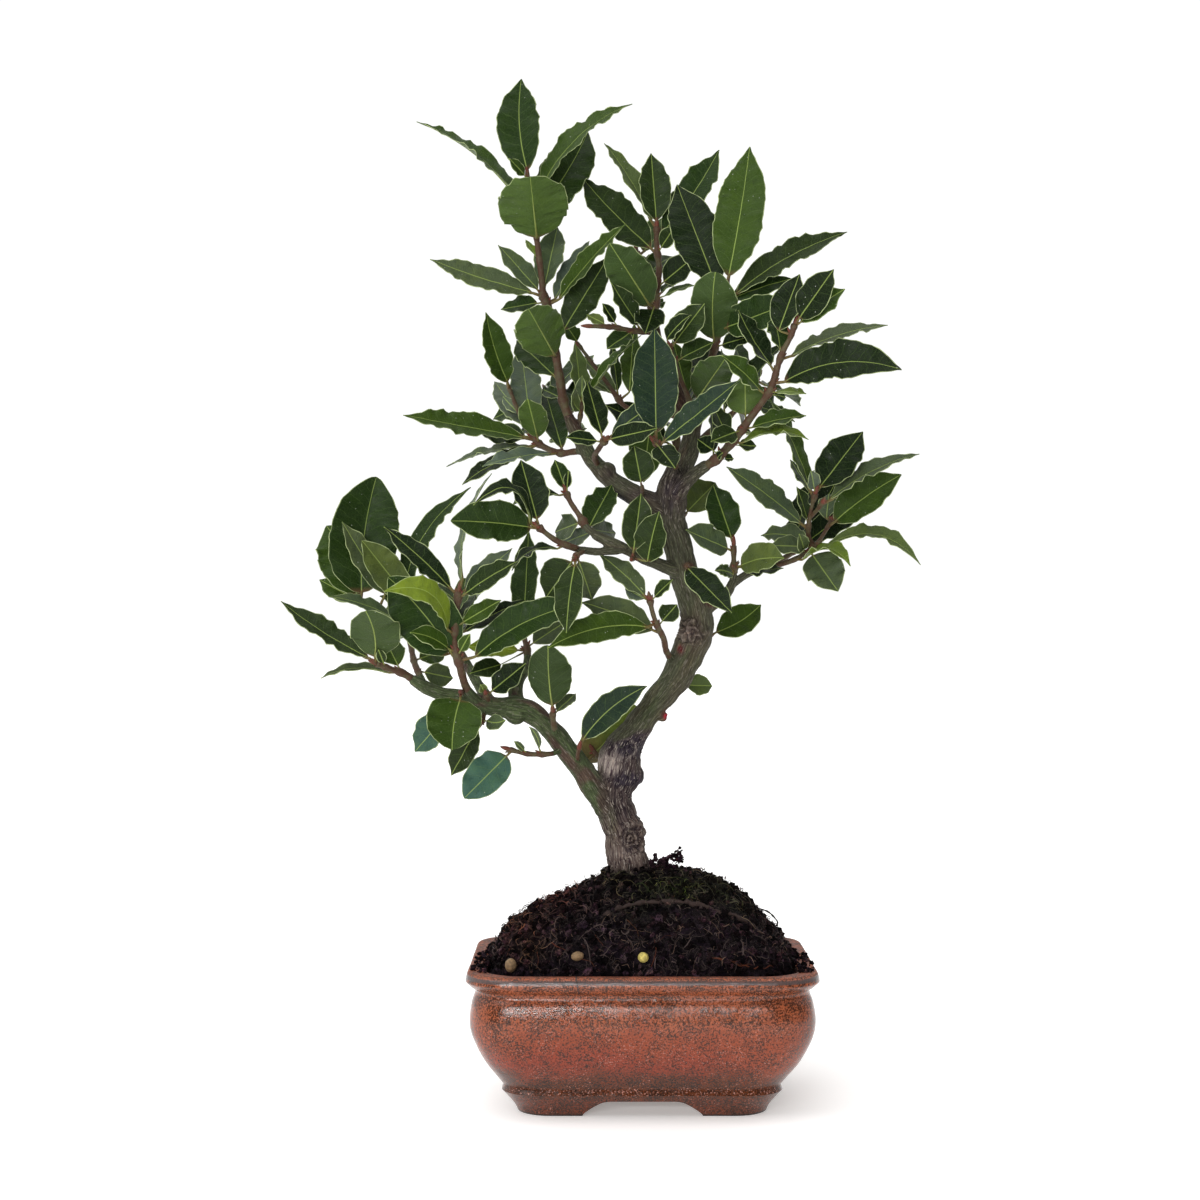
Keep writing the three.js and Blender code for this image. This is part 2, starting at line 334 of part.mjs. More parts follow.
    leaves: [
    [-124, 219, -117, 273.5, 29, 3, 0, 0.04, "mid", 0.46],
    [-125, 218, -139, 252, 22, 18, 15, 0.05, "mid", 0.55],
    [-98, 188, -83, 184.5, 9, 12, 15, 0, "deep", 0.6],
    [-100, 192, -86, 197, 8, 18, 15, 0, "dusty", 0.6],
    [-123, 217, -142, 228, 9, 6, 20, 0, "mid", 0.6],
    [-104, 221, -123, 245, 14, -15, 10, 0, "dusty", 0.5],
    [-113, 222, -132, 253.5, 10, -7.5, 25, 0, "dusty", 0.65],
    [-104.5, 209, -138, 220.5, 5, -18, 58, 0.05, "dusty", 0.75],
    [-105, 213, -75.5, 269, 8, 12, 45, 0.13, "olive", 0.75]] },
  { name: "spray_red_shoot", tone: "mid", stub: 10.5, radii: [2.2, 1.2], twigs: [
    [[-71, 173.5, -19], [-77, 180, -25.5], [-80, 190, -30], [-82, 198, -31.5], [-82, 208, -33],
     [-81, 218, -34.5], [-80.5, 222.5, -34.5]]], leaves: [
    [-81.5, 191, -111.5, 229, 24, -4.5, 8, 0.04, "mid", 0.52],
    [-83, 204, -113, 223, 8, -18, 42, 0.23, "young", 0.65],
    [-73, 194, -26, 217.5, 14, -9, 22, 0.07, "mid", 0.65],
    [-83, 205, -97, 214, 8, 6, 20, 0, "mid", 0.65],
    [-82.5, 195.5, -102, 204.5, 7, -12, 40, 0.08, "young", 0.65],
    [-80, 207, -62, 219, 7, -6, 30, 0, "young", 0.7],
    [-79, 221, -57, 242, 8, 12, 35, 0, "old", 0.7],
    [-79, 220, -55, 236, 9, -12, 30, 0.02, "mid", 0.7],
    [-78, 205, -50, 219, 6, 12, 45, 0.03, "deep", 0.75],
    [-80.5, 194, -75.5, 204, 5, -9, 10, 0, "young", 0.6],
    [-82, 222, -66, 275, 3.5, 3, 66, 0.1, "dusty", 0.8],
    [-81.5, 218, -91, 226, 6, 12, 20, 0, "dusty", 0.65],
    [-83, 221, -113.5, 251.5, 8, 6, 35, 0.02, "deep", 0.75]] },
];

// Shoots on the far side of the crown, whose leaves are set round the twig by the golden
// angle. Each stays inside the ellipse "within" (centre x, z, half-width, half-height).
const BACK_SPRAYS = [
  { name: "spray_back_up", tone: "old", stub: 3, radii: [2.2, 1.1], within: [14, 306, 34, 34], count: 9, twigs: [
    [[14, 266, 32], [15, 278, 41], [16, 291, 48], [16, 306, 53], [14, 320, 56]]] },
  { name: "spray_back_left", tone: "deep", stub: 3, radii: [1.9, 1], within: [-40, 306, 29, 32], count: 8, twigs: [
    [[-26.4, 293, 30], [-31, 299, 43], [-37, 305, 56], [-42, 312, 67]]] },
  { name: "spray_back_low", tone: "mid", stub: 3, radii: [1.9, 1], within: [-88, 212, 30, 26], count: 8, twigs: [
    [[-76.2, 190, 14.5], [-82, 200, 23], [-88, 208, 32], [-92, 216, 38]]] },
  { name: "spray_back_right", tone: "deep", stub: 8.8, radii: [1.8, 1], within: [46, 312, 27, 28], count: 7, twigs: [
    [[22, 286, 4], [30, 293, 15], [40, 301, 27], [47, 309, 37], [52, 318, 44]]] },
  { name: "spray_back_end", tone: "old", stub: 4.5, radii: [1.6, 1], within: [84, 257, 24, 22], count: 6, twigs: [
    [[55, 233.3, 10], [64, 238, 21], [74, 245, 31], [82, 253, 40]]] },
  { name: "spray_back_top", tone: "mid", stub: 8.2, radii: [1.7, 1], within: [0, 376, 27, 30], count: 6, twigs: [
    [[11, 321, 13], [8, 334, 28], [4, 348, 37], [1, 362, 43], [-2, 374, 48]]] },
];

// Fertiliser pellets on the soil: x, z and depth y of the middle, half-lengths, turn about z
const PELLETS = [
  { name: "pellet_yellow", at: [1, 60.9, -44.6], size: [2.3, 2.3, 2.3], turn: 0, colour: 0xc2b163 },
  { name: "pellet_brown_middle", at: [-28, 61.6, -44.6], size: [2.9, 2, 2], turn: 0.5, colour: 0x7d6547 },
  { name: "pellet_brown_left", at: [-57.6, 57.6, -44], size: [2.4, 2.1, 3], turn: 0.3, colour: 0x6f5c45 },
];
const DENT_GAP = 0.35;

const LEAF_COLOURS = {
  old: 0x2c4a3a,
  olive: 0x4c5a2c,
  mid: 0x37582a,
  young: 0x7c9a36,
  dusty: 0x5c6c5c,
  deep: 0x22381f,
  pale: 0x7e8246,
};

// A small seeded generator, so that every run draws the same numbers.
function random(seed) {
  let state = seed >>> 0;
  return () => {
    state = (state + 0x6d2b79f5) >>> 0;
    let t = state;
    t = Math.imul(t ^ (t >>> 15), t | 1);
    t ^= t + Math.imul(t ^ (t >>> 7), t | 61);
    return ((t ^ (t >>> 14)) >>> 0) / 4294967296;
  };
}

const vector = (x, y, z) => new THREE.Vector3(x, y, z);

// The point at depth y that is seen at x, z from the eye.
function seen(x, z, y) {
  const k = (EYE_DISTANCE + y) / EYE_DISTANCE;
  return vector(EYE_X + (x - EYE_X) * k, y, EYE_HEIGHT + (z - EYE_HEIGHT) * k);
}

// Where a point is seen on the plane y = 0: x and z.
function seenAt(p) {
  const k = EYE_DISTANCE / (EYE_DISTANCE + p.y);
  return [EYE_X + (p.x - EYE_X) * k, EYE_HEIGHT + (p.z - EYE_HEIGHT) * k];
}

// Turns triangles given as corner points into one closed solid.
function solidFrom(points, triangles) {
  const geometry = new THREE.BufferGeometry();
  const flat = new Float32Array(points.length * 3);
  points.forEach((p, i) => flat.set([p.x, p.y, p.z], i * 3));
  geometry.setAttribute("position", new THREE.BufferAttribute(flat, 3));
  geometry.setIndex(triangles.flat());
  return solidOf(geometry);
}

function solidOf(source) {
  const geometry = source.index ? source.clone() : source;
  geometry.deleteAttribute("normal");
  geometry.deleteAttribute("uv");
  const merged = mergeVertices(geometry, 1e-4);
  return new wasm.Manifold(
    new wasm.Mesh({
      numProp: 3,
      vertProperties: new Float32Array(merged.attributes.position.array),
      triVerts: new Uint32Array(merged.index.array),
    }),
  );
}

// Stacks rings of equal point count into a closed body with flat or domed ends.
function loft(rings) {
  const count = rings[0].length;
  const points = rings.flat();
  const triangles = [];
  for (let r = 0; r + 1 < rings.length; r++) {
    for (let i = 0; i < count; i++) {
      const a = r * count + i;
      const b = r * count + ((i + 1) % count);
      triangles.push([a, b, b + count], [a, b + count, a + count]);
    }
  }
  const middle = (ring) =>
    ring.reduce((sum, p) => sum.add(p), vector(0, 0, 0)).divideScalar(count);
  const last = (rings.length - 1) * count;
  points.push(middle(rings[0]), middle(rings[rings.length - 1]));
  for (let i = 0; i < count; i++) {
    const j = (i + 1) % count;
    triangles.push([points.length - 2, j, i], [points.length - 1, last + i, last + j]);
  }
  return solidFrom(points, triangles);
}

// A smooth path through points that each carry a radius, sampled about every "step".
function smoothPath(points, step) {
  const path = [];
  for (let i = 0; i + 1 < points.length; i++) {
    const p0 = points[Math.max(0, i - 1)];
    const p1 = points[i];
    const p2 = points[i + 1];
    const p3 = points[Math.min(points.length - 1, i + 2)];
    const pieces = Math.max(1, Math.round(p1.at.distanceTo(p2.at) / step));
    for (let k = 0; k < pieces; k++) {
      const t = k / pieces;
      const weights = [
        -0.5 * t + t * t - 0.5 * t * t * t,
        1 - 2.5 * t * t + 1.5 * t * t * t,
        0.5 * t + 2 * t * t - 1.5 * t * t * t,
        -0.5 * t * t + 0.5 * t * t * t,
      ];
      const at = vector(0, 0, 0);
      [p0, p1, p2, p3].forEach((p, n) => at.addScaledVector(p.at, weights[n]));
      path.push({ at, radius: p1.radius + (p2.radius - p1.radius) * t });
    }
  }
  path.push(points[points.length - 1]);
  return path;
}

// The pieces of a path before and after a cut at the given length, with a gap between them.
function cutPath(path, length, gap) {
  const pointAt = (target) => {
    let run = 0;
    for (let i = 0; i + 1 < path.length; i++) {
      const piece = path[i].at.distanceTo(path[i + 1].at);
      if (run + piece >= target) {
        const t = (target - run) / piece;
        const at = path[i].at.clone().lerp(path[i + 1].at, t);
        const radius = path[i].radius + (path[i + 1].radius - path[i].radius) * t;
        return { at, radius, index: i + 1 };
      }
      run += piece;
    }
    throw new Error("the stub is longer than its twig");
  };
  const near = pointAt(length);
  const far = pointAt(length + gap);
  const along = far.at.clone().sub(near.at).normalize();
  near.along = along;
  far.along = along;
  const keep = (from, p) => from.at.distanceTo(p.at) > 0.8;
  return {
    before: [...path.slice(0, near.index).filter((p) => keep(near, p)), near],
    after: [far, ...path.slice(far.index).filter((p) => keep(far, p))],
  };
}

// A closed tube round a path, with the given number of sides.
function tube(path, sides, extra = 0) {
  const rings = [];
  let side = vector(0.31, 0.87, 0.19);
  path.forEach((p, i) => {
    const before = path[Math.max(0, i - 1)].at;
    const after = path[Math.min(path.length - 1, i + 1)].at;
    const along = p.along ?? after.clone().sub(before).normalize();
    side = side.clone().addScaledVector(along, -side.dot(along)).normalize();
    const across = along.clone().cross(side);
    const ring = [];
    for (let k = 0; k < sides; k++) {
      const angle = (2 * Math.PI * k) / sides;
      const radius = p.radius + extra;
      ring.push(
        p.at.clone().addScaledVector(side, radius * Math.cos(angle))
          .addScaledVector(across, radius * Math.sin(angle)),
      );
    }
    rings.push(ring);
  });
  return loft(rings);
}

const pathOf = (points, radii, step) =>
  smoothPath(
    points.map(([x, z, y, radius], i) => ({
      at: seen(x, z, y),
      radius: radius ?? radii[0] + ((radii[1] - radii[0]) * i) / (points.length - 1),
    })),
    step,
  );

// A path without the points that stand closer together than the given step.
function thinned(path, step) {
  const kept = [path[0]];
  path.slice(1, -1).forEach((p) => {
    const behind = p.at.distanceTo(kept[kept.length - 1].at);
    const ahead = p.at.distanceTo(path[path.length - 1].at);
    if (behind > step && ahead > 0.6 * step) kept.push(p);
  });
  return [...kept, path[path.length - 1]];
}

const limbs = LIMBS.map((limb) => {
  const path = pathOf(limb.points, null, 2);
  return { ...limb, path: thinned(path, limb.step) };
});

// A leaf's middle line, width and waves, as a surface of u (base to tip) and v (side to side).
function leafShape(start, base, tip, width, turn, bend, round, draw) {
  const along = tip.clone().sub(base);
  const length = along.length();
  along.normalize();
  const flat = vector(along.x, 0, along.z);
  let rise = vector(-flat.z, 0, flat.x).normalize();
  if (rise.z < 0) rise.negate();
  rise.addScaledVector(along, -rise.dot(along)).normalize();
  const front = rise.clone().cross(along).normalize();
  if (front.y > 0) front.negate();
  const angle = (turn * Math.PI) / 180;
  const normal = front.clone().multiplyScalar(Math.cos(angle)).addScaledVector(rise, Math.sin(angle));
  const sag = (0.03 + 0.06 * draw()) * Math.cos(angle) ** 2;
  const fold = 0.16 + 0.22 * draw();
  const wave = (0.045 + 0.035 * draw()) * width;
  const waves = 2.1 + 1.1 * draw();
  const phases = [2 * Math.PI * draw(), 2 * Math.PI * draw()];
  const twist = (draw() - 0.5) * 0.5;
  const middle = (u) =>
    base.clone().addScaledVector(along, u * length)
      .addScaledVector(rise, 4 * bend * length * u * (1 - u))
      .addScaledVector(normal, -sag * length * u * u * (1.6 - u) + 0.35 * sag * length * u);
  const half = (u) => Math.max(0.55, 0.5 * width * Math.sin(Math.PI * u ** 0.86) ** (FULLNESS * round));
  const frame = (u) => {
    const a = Math.max(0, u - 0.02);
    const b = Math.min(1, u + 0.02);
    const tangent = middle(b).sub(middle(a)).normalize();
    const swing = twist * u;
    const up = normal.clone().applyAxisAngle(along, swing);
    const across = tangent.clone().cross(up).normalize();
    return { across, up: across.clone().cross(tangent).normalize() };
  };
  const point = (u, v) => {
    const { across, up } = frame(u);
    const reach = half(u);
    const swell = wave * Math.sin(2 * Math.PI * waves * u + phases[v < 0 ? 0 : 1]) * Math.sin(Math.PI * u);
    return middle(u).addScaledVector(across, v * reach * Math.cos(fold))
      .addScaledVector(up, Math.abs(v) * reach * Math.sin(fold) + v * v * swell);
  };
  return { start, base, tip, width, length, round, point, frame };
}

// Points spread over a blade, for the distances to its neighbours.
function samples(shape, from = 0) {
  const points = [];
  const rows = Math.max(3, Math.ceil(shape.length / SAMPLE_STEP));
  const columns = Math.max(2, 2 * Math.ceil(shape.width / 2 / SAMPLE_STEP));
  for (let i = 0; i <= rows; i++) {
    const u = i / rows;
    if (u < from) continue;
    for (let k = 0; k <= columns; k++) points.push(shape.point(u, (2 * k) / columns - 1));
  }
  return points;
}

function boundsOf(points, margin) {
  const box = new THREE.Box3().setFromPoints(points);
  return box.expandByScalar(margin);
}

function segmentDistance(p, a, b) {
  const along = b.clone().sub(a);
  const t = Math.max(0, Math.min(1, p.clone().sub(a).dot(along) / along.lengthSq()));
  return p.distanceTo(a.clone().addScaledVector(along, t));
}

const capsules = [];
function addCapsules(path, owner) {
  for (let i = 0; i + 1 < path.length; i++) {
    const a = path[i];
    const b = path[i + 1];
    const radius = Math.max(a.radius, b.radius);
    capsules.push({ a: a.at, b: b.at, radius, owner, box: boundsOf([a.at, b.at], radius + WOOD_CLEARANCE) });
  }
}

const placed = [];

// Whether a blade keeps clear of all wood and of the blades that are already placed.
function isClear(shape, owner) {
  const all = samples(shape);
  const box = boundsOf(all, LEAF_CLEARANCE);
  for (const c of capsules) {
    if (!c.box.intersectsBox(box)) continue;
    const from = c.owner === owner ? 0.3 : 0;
    for (const p of from ? samples(shape, from) : all) {
      if (c.box.containsPoint(p) && segmentDistance(p, c.a, c.b) < c.radius + WOOD_CLEARANCE) return false;
    }
  }
  const later = samples(shape, 0.3);
  for (const other of placed) {
    if (!other.box.intersectsBox(box)) continue;
    const same = other.owner === owner;
    const mine = same ? later : all;
    const theirs = same ? other.later : other.all;
    const limit = (same ? 0.8 : 1) * LEAF_CLEARANCE;
    for (const p of mine) {
      if (!other.box.containsPoint(p)) continue;
      for (const q of theirs) if (p.distanceToSquared(q) < limit * limit) return false;
    }
  }
  return true;
}

// Small swings tried in turn until a blade is clear: depth of the tip, then turn and bend.
const SWINGS = [
  [0, 0, 0], [-4, 0, 0], [4, 0, 0], [-8, 8, 0], [8, -8, 0], [-12, 0, 0], [12, 0, 0], [-6, 14, 0.03],
  [6, -14, -0.03], [-17, 0, 0], [17, 0, 0], [-12, 16, 0.03], [12, -16, -0.03], [-22, 8, 0], [22, -8, 0],
  [-28, 0, 0.03], [28, 0, -0.03], [-34, 10, 0], [34, -10, 0], [-40, 0, 0], [40, 0, 0],
];

function nearestOn(paths, x, z) {
  let best = null;
  for (const path of paths) {
    for (const p of path) {
      const [px, pz] = seenAt(p.at);
      const distance = Math.hypot(px - x, pz - z);
      if (!best || distance < best.distance) best = { ...p, distance };
    }
  }
  return best;
}

const dropped = [];

function placeLeaf(spray, paths, row, draw) {
  const [bx, bz, tx, tz, width, dy, turn, bend, tone, round] = row;
  const root = nearestOn(paths, bx, bz);
  const seeds = [draw(), draw(), draw(), draw(), draw(), draw(), draw()];
  for (const [swingY, swingTurn, swingBend] of SWINGS) {
    const tip = seen(tx, tz, root.at.y + dy + swingY);
    let base = seen(bx, bz, root.at.y + 0.1 * (dy + swingY));
    if (base.distanceTo(root.at) < root.radius + 1.5) {
      const way = tip.clone().sub(root.at);
      base = root.at.clone().addScaledVector(way.normalize(), root.radius + 1.5 + 0.04 * tip.distanceTo(root.at));
    }
    const face = turn + swingTurn;
    const trueWidth = (WIDENING * width) / Math.max(0.34, Math.abs(Math.cos((face * Math.PI) / 180)));
    let next = 0;
    const shape = leafShape(root.at, base, tip, trueWidth, face, bend + swingBend, round, () => seeds[next++]);
    if (!isClear(shape, spray.name)) continue;
    const all = samples(shape);
    placed.push({ owner: spray.name, all, later: samples(shape, 0.3), box: boundsOf(all, LEAF_CLEARANCE) });
    return { ...shape, tone };
  }
  dropped.push(spray.name + " " + row.slice(0, 4).join(" "));
  return null;
}

// A leaf of a shoot on the far side: set round the twig by the golden angle, turned until
// it is clear and stays inside the shoot's ellipse as seen from the front.
function placeBackLeaf(spray, path, index, draw) {
  const [cx, cz, rx, rz] = spray.within;
  for (let attempt = 0; attempt < 40; attempt++) {
    const share = 0.3 + (0.7 * (index + 0.6 * draw())) / spray.count;
    const root = path[Math.min(path.length - 1, Math.round(share * (path.length - 1)))];
    const ahead = path[path.length - 1].at.clone().sub(path[0].at).normalize();
    const side = vector(0, 0, 1).cross(ahead).normalize();
    const up = ahead.clone().cross(side);
    const spin = 2.39996 * index + 1.4 * (draw() - 0.5) + 0.5 * attempt;
    const lean = 0.75 + 0.45 * draw();
    const away = side.multiplyScalar(Math.cos(spin)).addScaledVector(up, Math.sin(spin));
    const way = ahead.clone().multiplyScalar(Math.cos(lean)).addScaledVector(away, Math.sin(lean)).normalize();
    const length = (34 + 20 * draw()) * (1 - 0.009 * attempt);
    const base = root.at.clone().addScaledVector(way, root.radius + 3.5);
    const tip = root.at.clone().addScaledVector(way, length);
    const face = 25 + 60 * draw();
    const seeds = [draw(), draw(), draw(), draw(), draw(), draw(), draw()];
    let next = 0;
    const width = 0.36 * length + 3 * draw();
    const shape = leafShape(root.at, base, tip, width, face, 0.04, 0.62, () => seeds[next++]);
    const inside = samples(shape).every((p) => {
      const [x, z] = seenAt(p);
      return ((x - cx) / rx) ** 2 + ((z - cz) / rz) ** 2 < 1;
    });
    if (!inside || !isClear(shape, spray.name)) continue;
    const all = samples(shape);
    placed.push({ owner: spray.name, all, later: samples(shape, 0.3), box: boundsOf(all, LEAF_CLEARANCE) });
    return { ...shape, tone: spray.tone };
  }
  dropped.push(spray.name + " back leaf " + index);
  return null;
}

// A blade as a plate: rows of three points, split alike on both faces, from a point sunk in
// the twig to the tip.
function leafSolid(shape) {
  const long = shape.start.distanceTo(shape.base) > 6 + 0.05 * shape.length;
  let rows = [0.42];
  if (shape.length > 15) rows = [0.28, 0.68];
  if (shape.length > 38) rows = [0.24, 0.5, 0.78];
  if (shape.length > 58) rows = [0.18, 0.4, 0.62, 0.84];
  if (shape.round < 0.5 && shape.length > 20) rows = [0.09, 0.34, 0.66, 0.91];
  if (long) rows = [0.02, ...rows.slice(rows.length > 3 ? 1 : 0)];
  if (long && rows.length === 4) rows = [0.02, 0.34, 0.7];
  const points = [];
  const half = LEAF_THICKNESS / 2;
  const push = (p, up) => {
    points.push(p.clone().addScaledVector(up, half), p.clone().addScaledVector(up, -half));
  };
  const ups = rows.map((u) => shape.frame(u).up);
  push(shape.start, ups[0]);
  rows.forEach((u, i) => {
    for (const v of [-1, 0, 1]) push(shape.point(u, v), ups[i]);
  });
  push(shape.point(1, 0), shape.frame(1).up);
  const top = (row, k) => 2 + row * 6 + 2 * k;
  const triangles = [];
  const both = (a, b, c) => {
    triangles.push([a, b, c], [a + 1, c + 1, b + 1]);
  };
  const wall = (a, b) => {
    triangles.push([a, a + 1, b + 1], [a, b + 1, b]);
  };
  const last = points.length - 2;
  both(0, top(0, 1), top(0, 0));
  both(0, top(0, 2), top(0, 1));
  wall(top(0, 0), 0);
  wall(0, top(0, 2));
  for (let r = 0; r + 1 < rows.length; r++) {
    for (let k = 0; k < 2; k++) {
      both(top(r, k), top(r, k + 1), top(r + 1, k + 1));
      both(top(r, k), top(r + 1, k + 1), top(r + 1, k));
    }
    wall(top(r + 1, 0), top(r, 0));
    wall(top(r, 2), top(r + 1, 2));
  }
  const end = rows.length - 1;
  both(top(end, 0), top(end, 1), last);
  both(top(end, 1), top(end, 2), last);
  wall(last, top(end, 0));
  wall(top(end, 2), last);
  const solid = solidFrom(points, triangles);
  return solid.volume() > 0 ? solid : solidFrom(points, triangles.map(([a, b, c]) => [a, c, b]));
}

// The largest body of a solid: loose scraps go, and sealed hollows are filled.
function oneBody(solid) {
  return solid.decompose().reduce((best, body) => (body.volume() > best.volume() ? body : best));
}

function meshOf(name, solid, colour, look = {}) {
  const data = solid.getMesh();
  const positions = new Float32Array(data.numVert * 3);
  for (let i = 0; i < data.numVert; i++) {
    for (let k = 0; k < 3; k++) positions[3 * i + k] = data.vertProperties[data.numProp * i + k];
  }
  const geometry = new THREE.BufferGeometry();
  geometry.setAttribute("position", new THREE.BufferAttribute(positions, 3));
  geometry.setIndex(new THREE.BufferAttribute(new Uint32Array(data.triVerts), 1));
  geometry.computeVertexNormals();
  const material = new THREE.MeshStandardMaterial({ color: colour, roughness: 0.6, metalness: 0, ...look });
  const mesh = new THREE.Mesh(geometry, material);
  mesh.name = name;
  return mesh;
}

// A rounded rectangle at one height, counted from the right, turning towards the back.
function roundedRing(halfWidth, halfDepth, corner, z, perCorner = 5) {
  const ring = [];
  const radius = Math.min(corner, halfWidth - 1, halfDepth - 1);
  const centres = [[1, 1, 0], [-1, 1, 1], [-1, -1, 2], [1, -1, 3]];
  for (const [sx, sy, quarter] of centres) {
    for (let k = 0; k <= perCorner; k++) {
      const angle = (Math.PI / 2) * (quarter + k / perCorner);
      ring.push(vector(
        sx * (halfWidth - radius) + radius * Math.cos(angle),
        sy * (halfDepth - radius) + radius * Math.sin(angle),
        z,
      ));
    }
  }
  return ring;
}

// Pot wall outside and inside: half-width, height. The depth shrinks alike.
const OUTSIDE = [
  [53.5, 0], [55.2, 3.5], [57.8, 7], [60.2, 10], [59.4, 12], [62.2, 16], [66.5, 22], [70.2, 29], [72.8, 36],
  [73.4, 42], [72.4, 49], [71, 53.5], [73, 55.6], [74.8, 58], [75, 60], [73.9, 61.6], [72.3, 62],
];
const INSIDE = [[67.5, 61.6], [66.2, 60], [66, 56], [67.2, 48], [67, 38], [63.6, 28], [58, 20], [52, 15.6], [48, 15]];
const SIDE_DIFFERENCE = (RIM_WIDTH - RIM_DEPTH) / 2;
const cornerAt = (halfWidth) => 20 * (halfWidth / (RIM_WIDTH / 2));

function pot() {
  const rings = [...OUTSIDE, ...INSIDE].map(([w, z]) =>
    roundedRing(w, w - SIDE_DIFFERENCE, cornerAt(w), z, 4),
  );
  let body = loft(rings);
  const arch = (width, length, turned) => {
    const outline = new THREE.Shape();
    outline.moveTo(-width / 2 - 1, -1);
    outline.lineTo(width / 2 + 1, -1);
    outline.lineTo(width / 2 - 0.5, 1.5);
    outline.lineTo(width / 2 - 7, FOOT_HEIGHT - 1);
    outline.lineTo(width / 2 - 11, FOOT_HEIGHT);
    outline.lineTo(-width / 2 + 11, FOOT_HEIGHT);
    outline.lineTo(-width / 2 + 7, FOOT_HEIGHT - 1);
    outline.lineTo(-width / 2 + 0.5, 1.5);
    const solid = new THREE.ExtrudeGeometry(outline, { depth: length, bevelEnabled: false });
    solid.translate(0, 0, -length / 2).rotateX(Math.PI / 2);
    if (turned) solid.rotateZ(Math.PI / 2);
    return solidOf(solid);
  };
  body = body.subtract(arch(ARCH_WIDTH, RIM_DEPTH, false));
  body = body.subtract(arch(SIDE_ARCH_WIDTH, RIM_WIDTH, true));
  for (const side of [-1, 1]) {
    const hole = new THREE.CylinderGeometry(DRAIN_DIAMETER / 2, DRAIN_DIAMETER / 2, 20, 16);
    hole.rotateX(Math.PI / 2).translate((side * DRAIN_SPACING) / 2, 0, 12);
    body = body.subtract(solidOf(hole));
  }
  return body;
}

// The mound's outline from the pot's middle to its edge, left and right: share of the way, height.
const LEFT_SLOPE = [[0, 103], [0.16, 101], [0.3, 93.5], [0.5, 87], [0.7, 80.5], [0.87, 72.5], [0.97, 62], [1, 57]];
const RIGHT_SLOPE = [[0, 103], [0.22, 102.5], [0.38, 100.5], [0.55, 95], [0.68, 87], [0.8, 77.5], [0.93, 68], [1, 57]];
const MOUND_MIDDLE = -2;

function slopeAt(table, share) {
  for (let i = 0; i + 1 < table.length; i++) {
    const [a, za] = table[i];
    const [b, zb] = table[i + 1];
    if (share <= b) return za + ((zb - za) * (share - a)) / (b - a);
  }
  return table[table.length - 1][1];
}

const wallAt = (z) => {
  for (let i = 0; i + 1 < INSIDE.length; i++) {
    const [wa, za] = INSIDE[i];
    const [wb, zb] = INSIDE[i + 1];
    if (z <= za && z >= zb) return wa + ((wb - wa) * (z - za)) / (zb - za);
  }
  return 50;
};

function soil(hole) {
  const draw = random(41);
  const rings = [];
  const ringAt = (z) => {
    const w = wallAt(z) - SOIL_GAP - 0.15;
    return roundedRing(w, w - SIDE_DIFFERENCE, cornerAt(w), z, 3);
  };
  for (const z of [FLOOR_TOP + SOIL_GAP, 20, 28, 38, 48, SOIL_EDGE_HEIGHT]) rings.push(ringAt(z));
  const edge = ringAt(SOIL_EDGE_HEIGHT);
  for (const share of [0.985, 0.93, 0.84, 0.72, 0.6, 0.47, 0.34, 0.2, 0.09]) {
    rings.push(edge.map((p) => {
      const x = MOUND_MIDDLE + (p.x - MOUND_MIDDLE) * share;
      const y = p.y * share;
      const lean = 0.5 + 0.5 * (p.x / Math.hypot(p.x, p.y * 1.2));
      const height = slopeAt(LEFT_SLOPE, share) * (1 - lean) + slopeAt(RIGHT_SLOPE, share) * lean;
      const lump = share < 0.96 ? 1.5 * (draw() - 0.5) : 0;
      return vector(x, y, height + lump);
    }));
  }
  let body = loft(rings).subtract(hole);
  for (const pellet of PELLETS) body = body.subtract(pelletSolid(pellet, DENT_GAP));
  for (const side of [-1, 1]) {
    const room = SCREEN_SIZE + 2 * SOIL_GAP;
    const recess = new THREE.BoxGeometry(room, room, 2 * (SCREEN_THICKNESS + 2 * SOIL_GAP));
    body = body.subtract(solidOf(recess.translate((side * DRAIN_SPACING) / 2, 0, FLOOR_TOP + SOIL_GAP)));
  }
  return body;
}

function pelletSolid(pellet, extra = 0) {
  const [x, z, y] = pellet.at;
  const at = seen(x, z, y);
  const ball = new THREE.SphereGeometry(1, 9, 6);
  ball.scale(...pellet.size.map((half) => half + extra)).rotateZ(pellet.turn).translate(at.x, at.y, at.z);
  return solidOf(ball);
}

// A square of plastic mesh over a drain hole.
function screen(x) {
  let plate = solidOf(new THREE.BoxGeometry(SCREEN_SIZE, SCREEN_SIZE, SCREEN_THICKNESS));
  for (let i = -1; i <= 1; i++) {
    for (let k = -1; k <= 1; k++) {
      const hole = new THREE.BoxGeometry(SCREEN_OPENING, SCREEN_OPENING, 4);
      plate = plate.subtract(solidOf(hole.translate(i * SCREEN_PITCH, k * SCREEN_PITCH, 0)));
    }
  }
  return plate.translate([x, 0, FLOOR_TOP + JOINT_GAP + SCREEN_THICKNESS / 2]);
}

const wood = [];
limbs.forEach((limb) => {
  const path = limb.path.map((p) => ({ ...p, radius: p.radius / Math.sqrt(Math.cos(Math.PI / limb.sides)) }));
  wood.push(tube(path, limb.sides));
  addCapsules(path, "wood");
});
for (const [x, z, y, radius] of KNOBS) {
  const ball = new THREE.SphereGeometry(radius, 6, 5);
  const at = seen(x, z, y);
  ball.translate(at.x, at.y, at.z);
  wood.push(solidOf(ball));
}

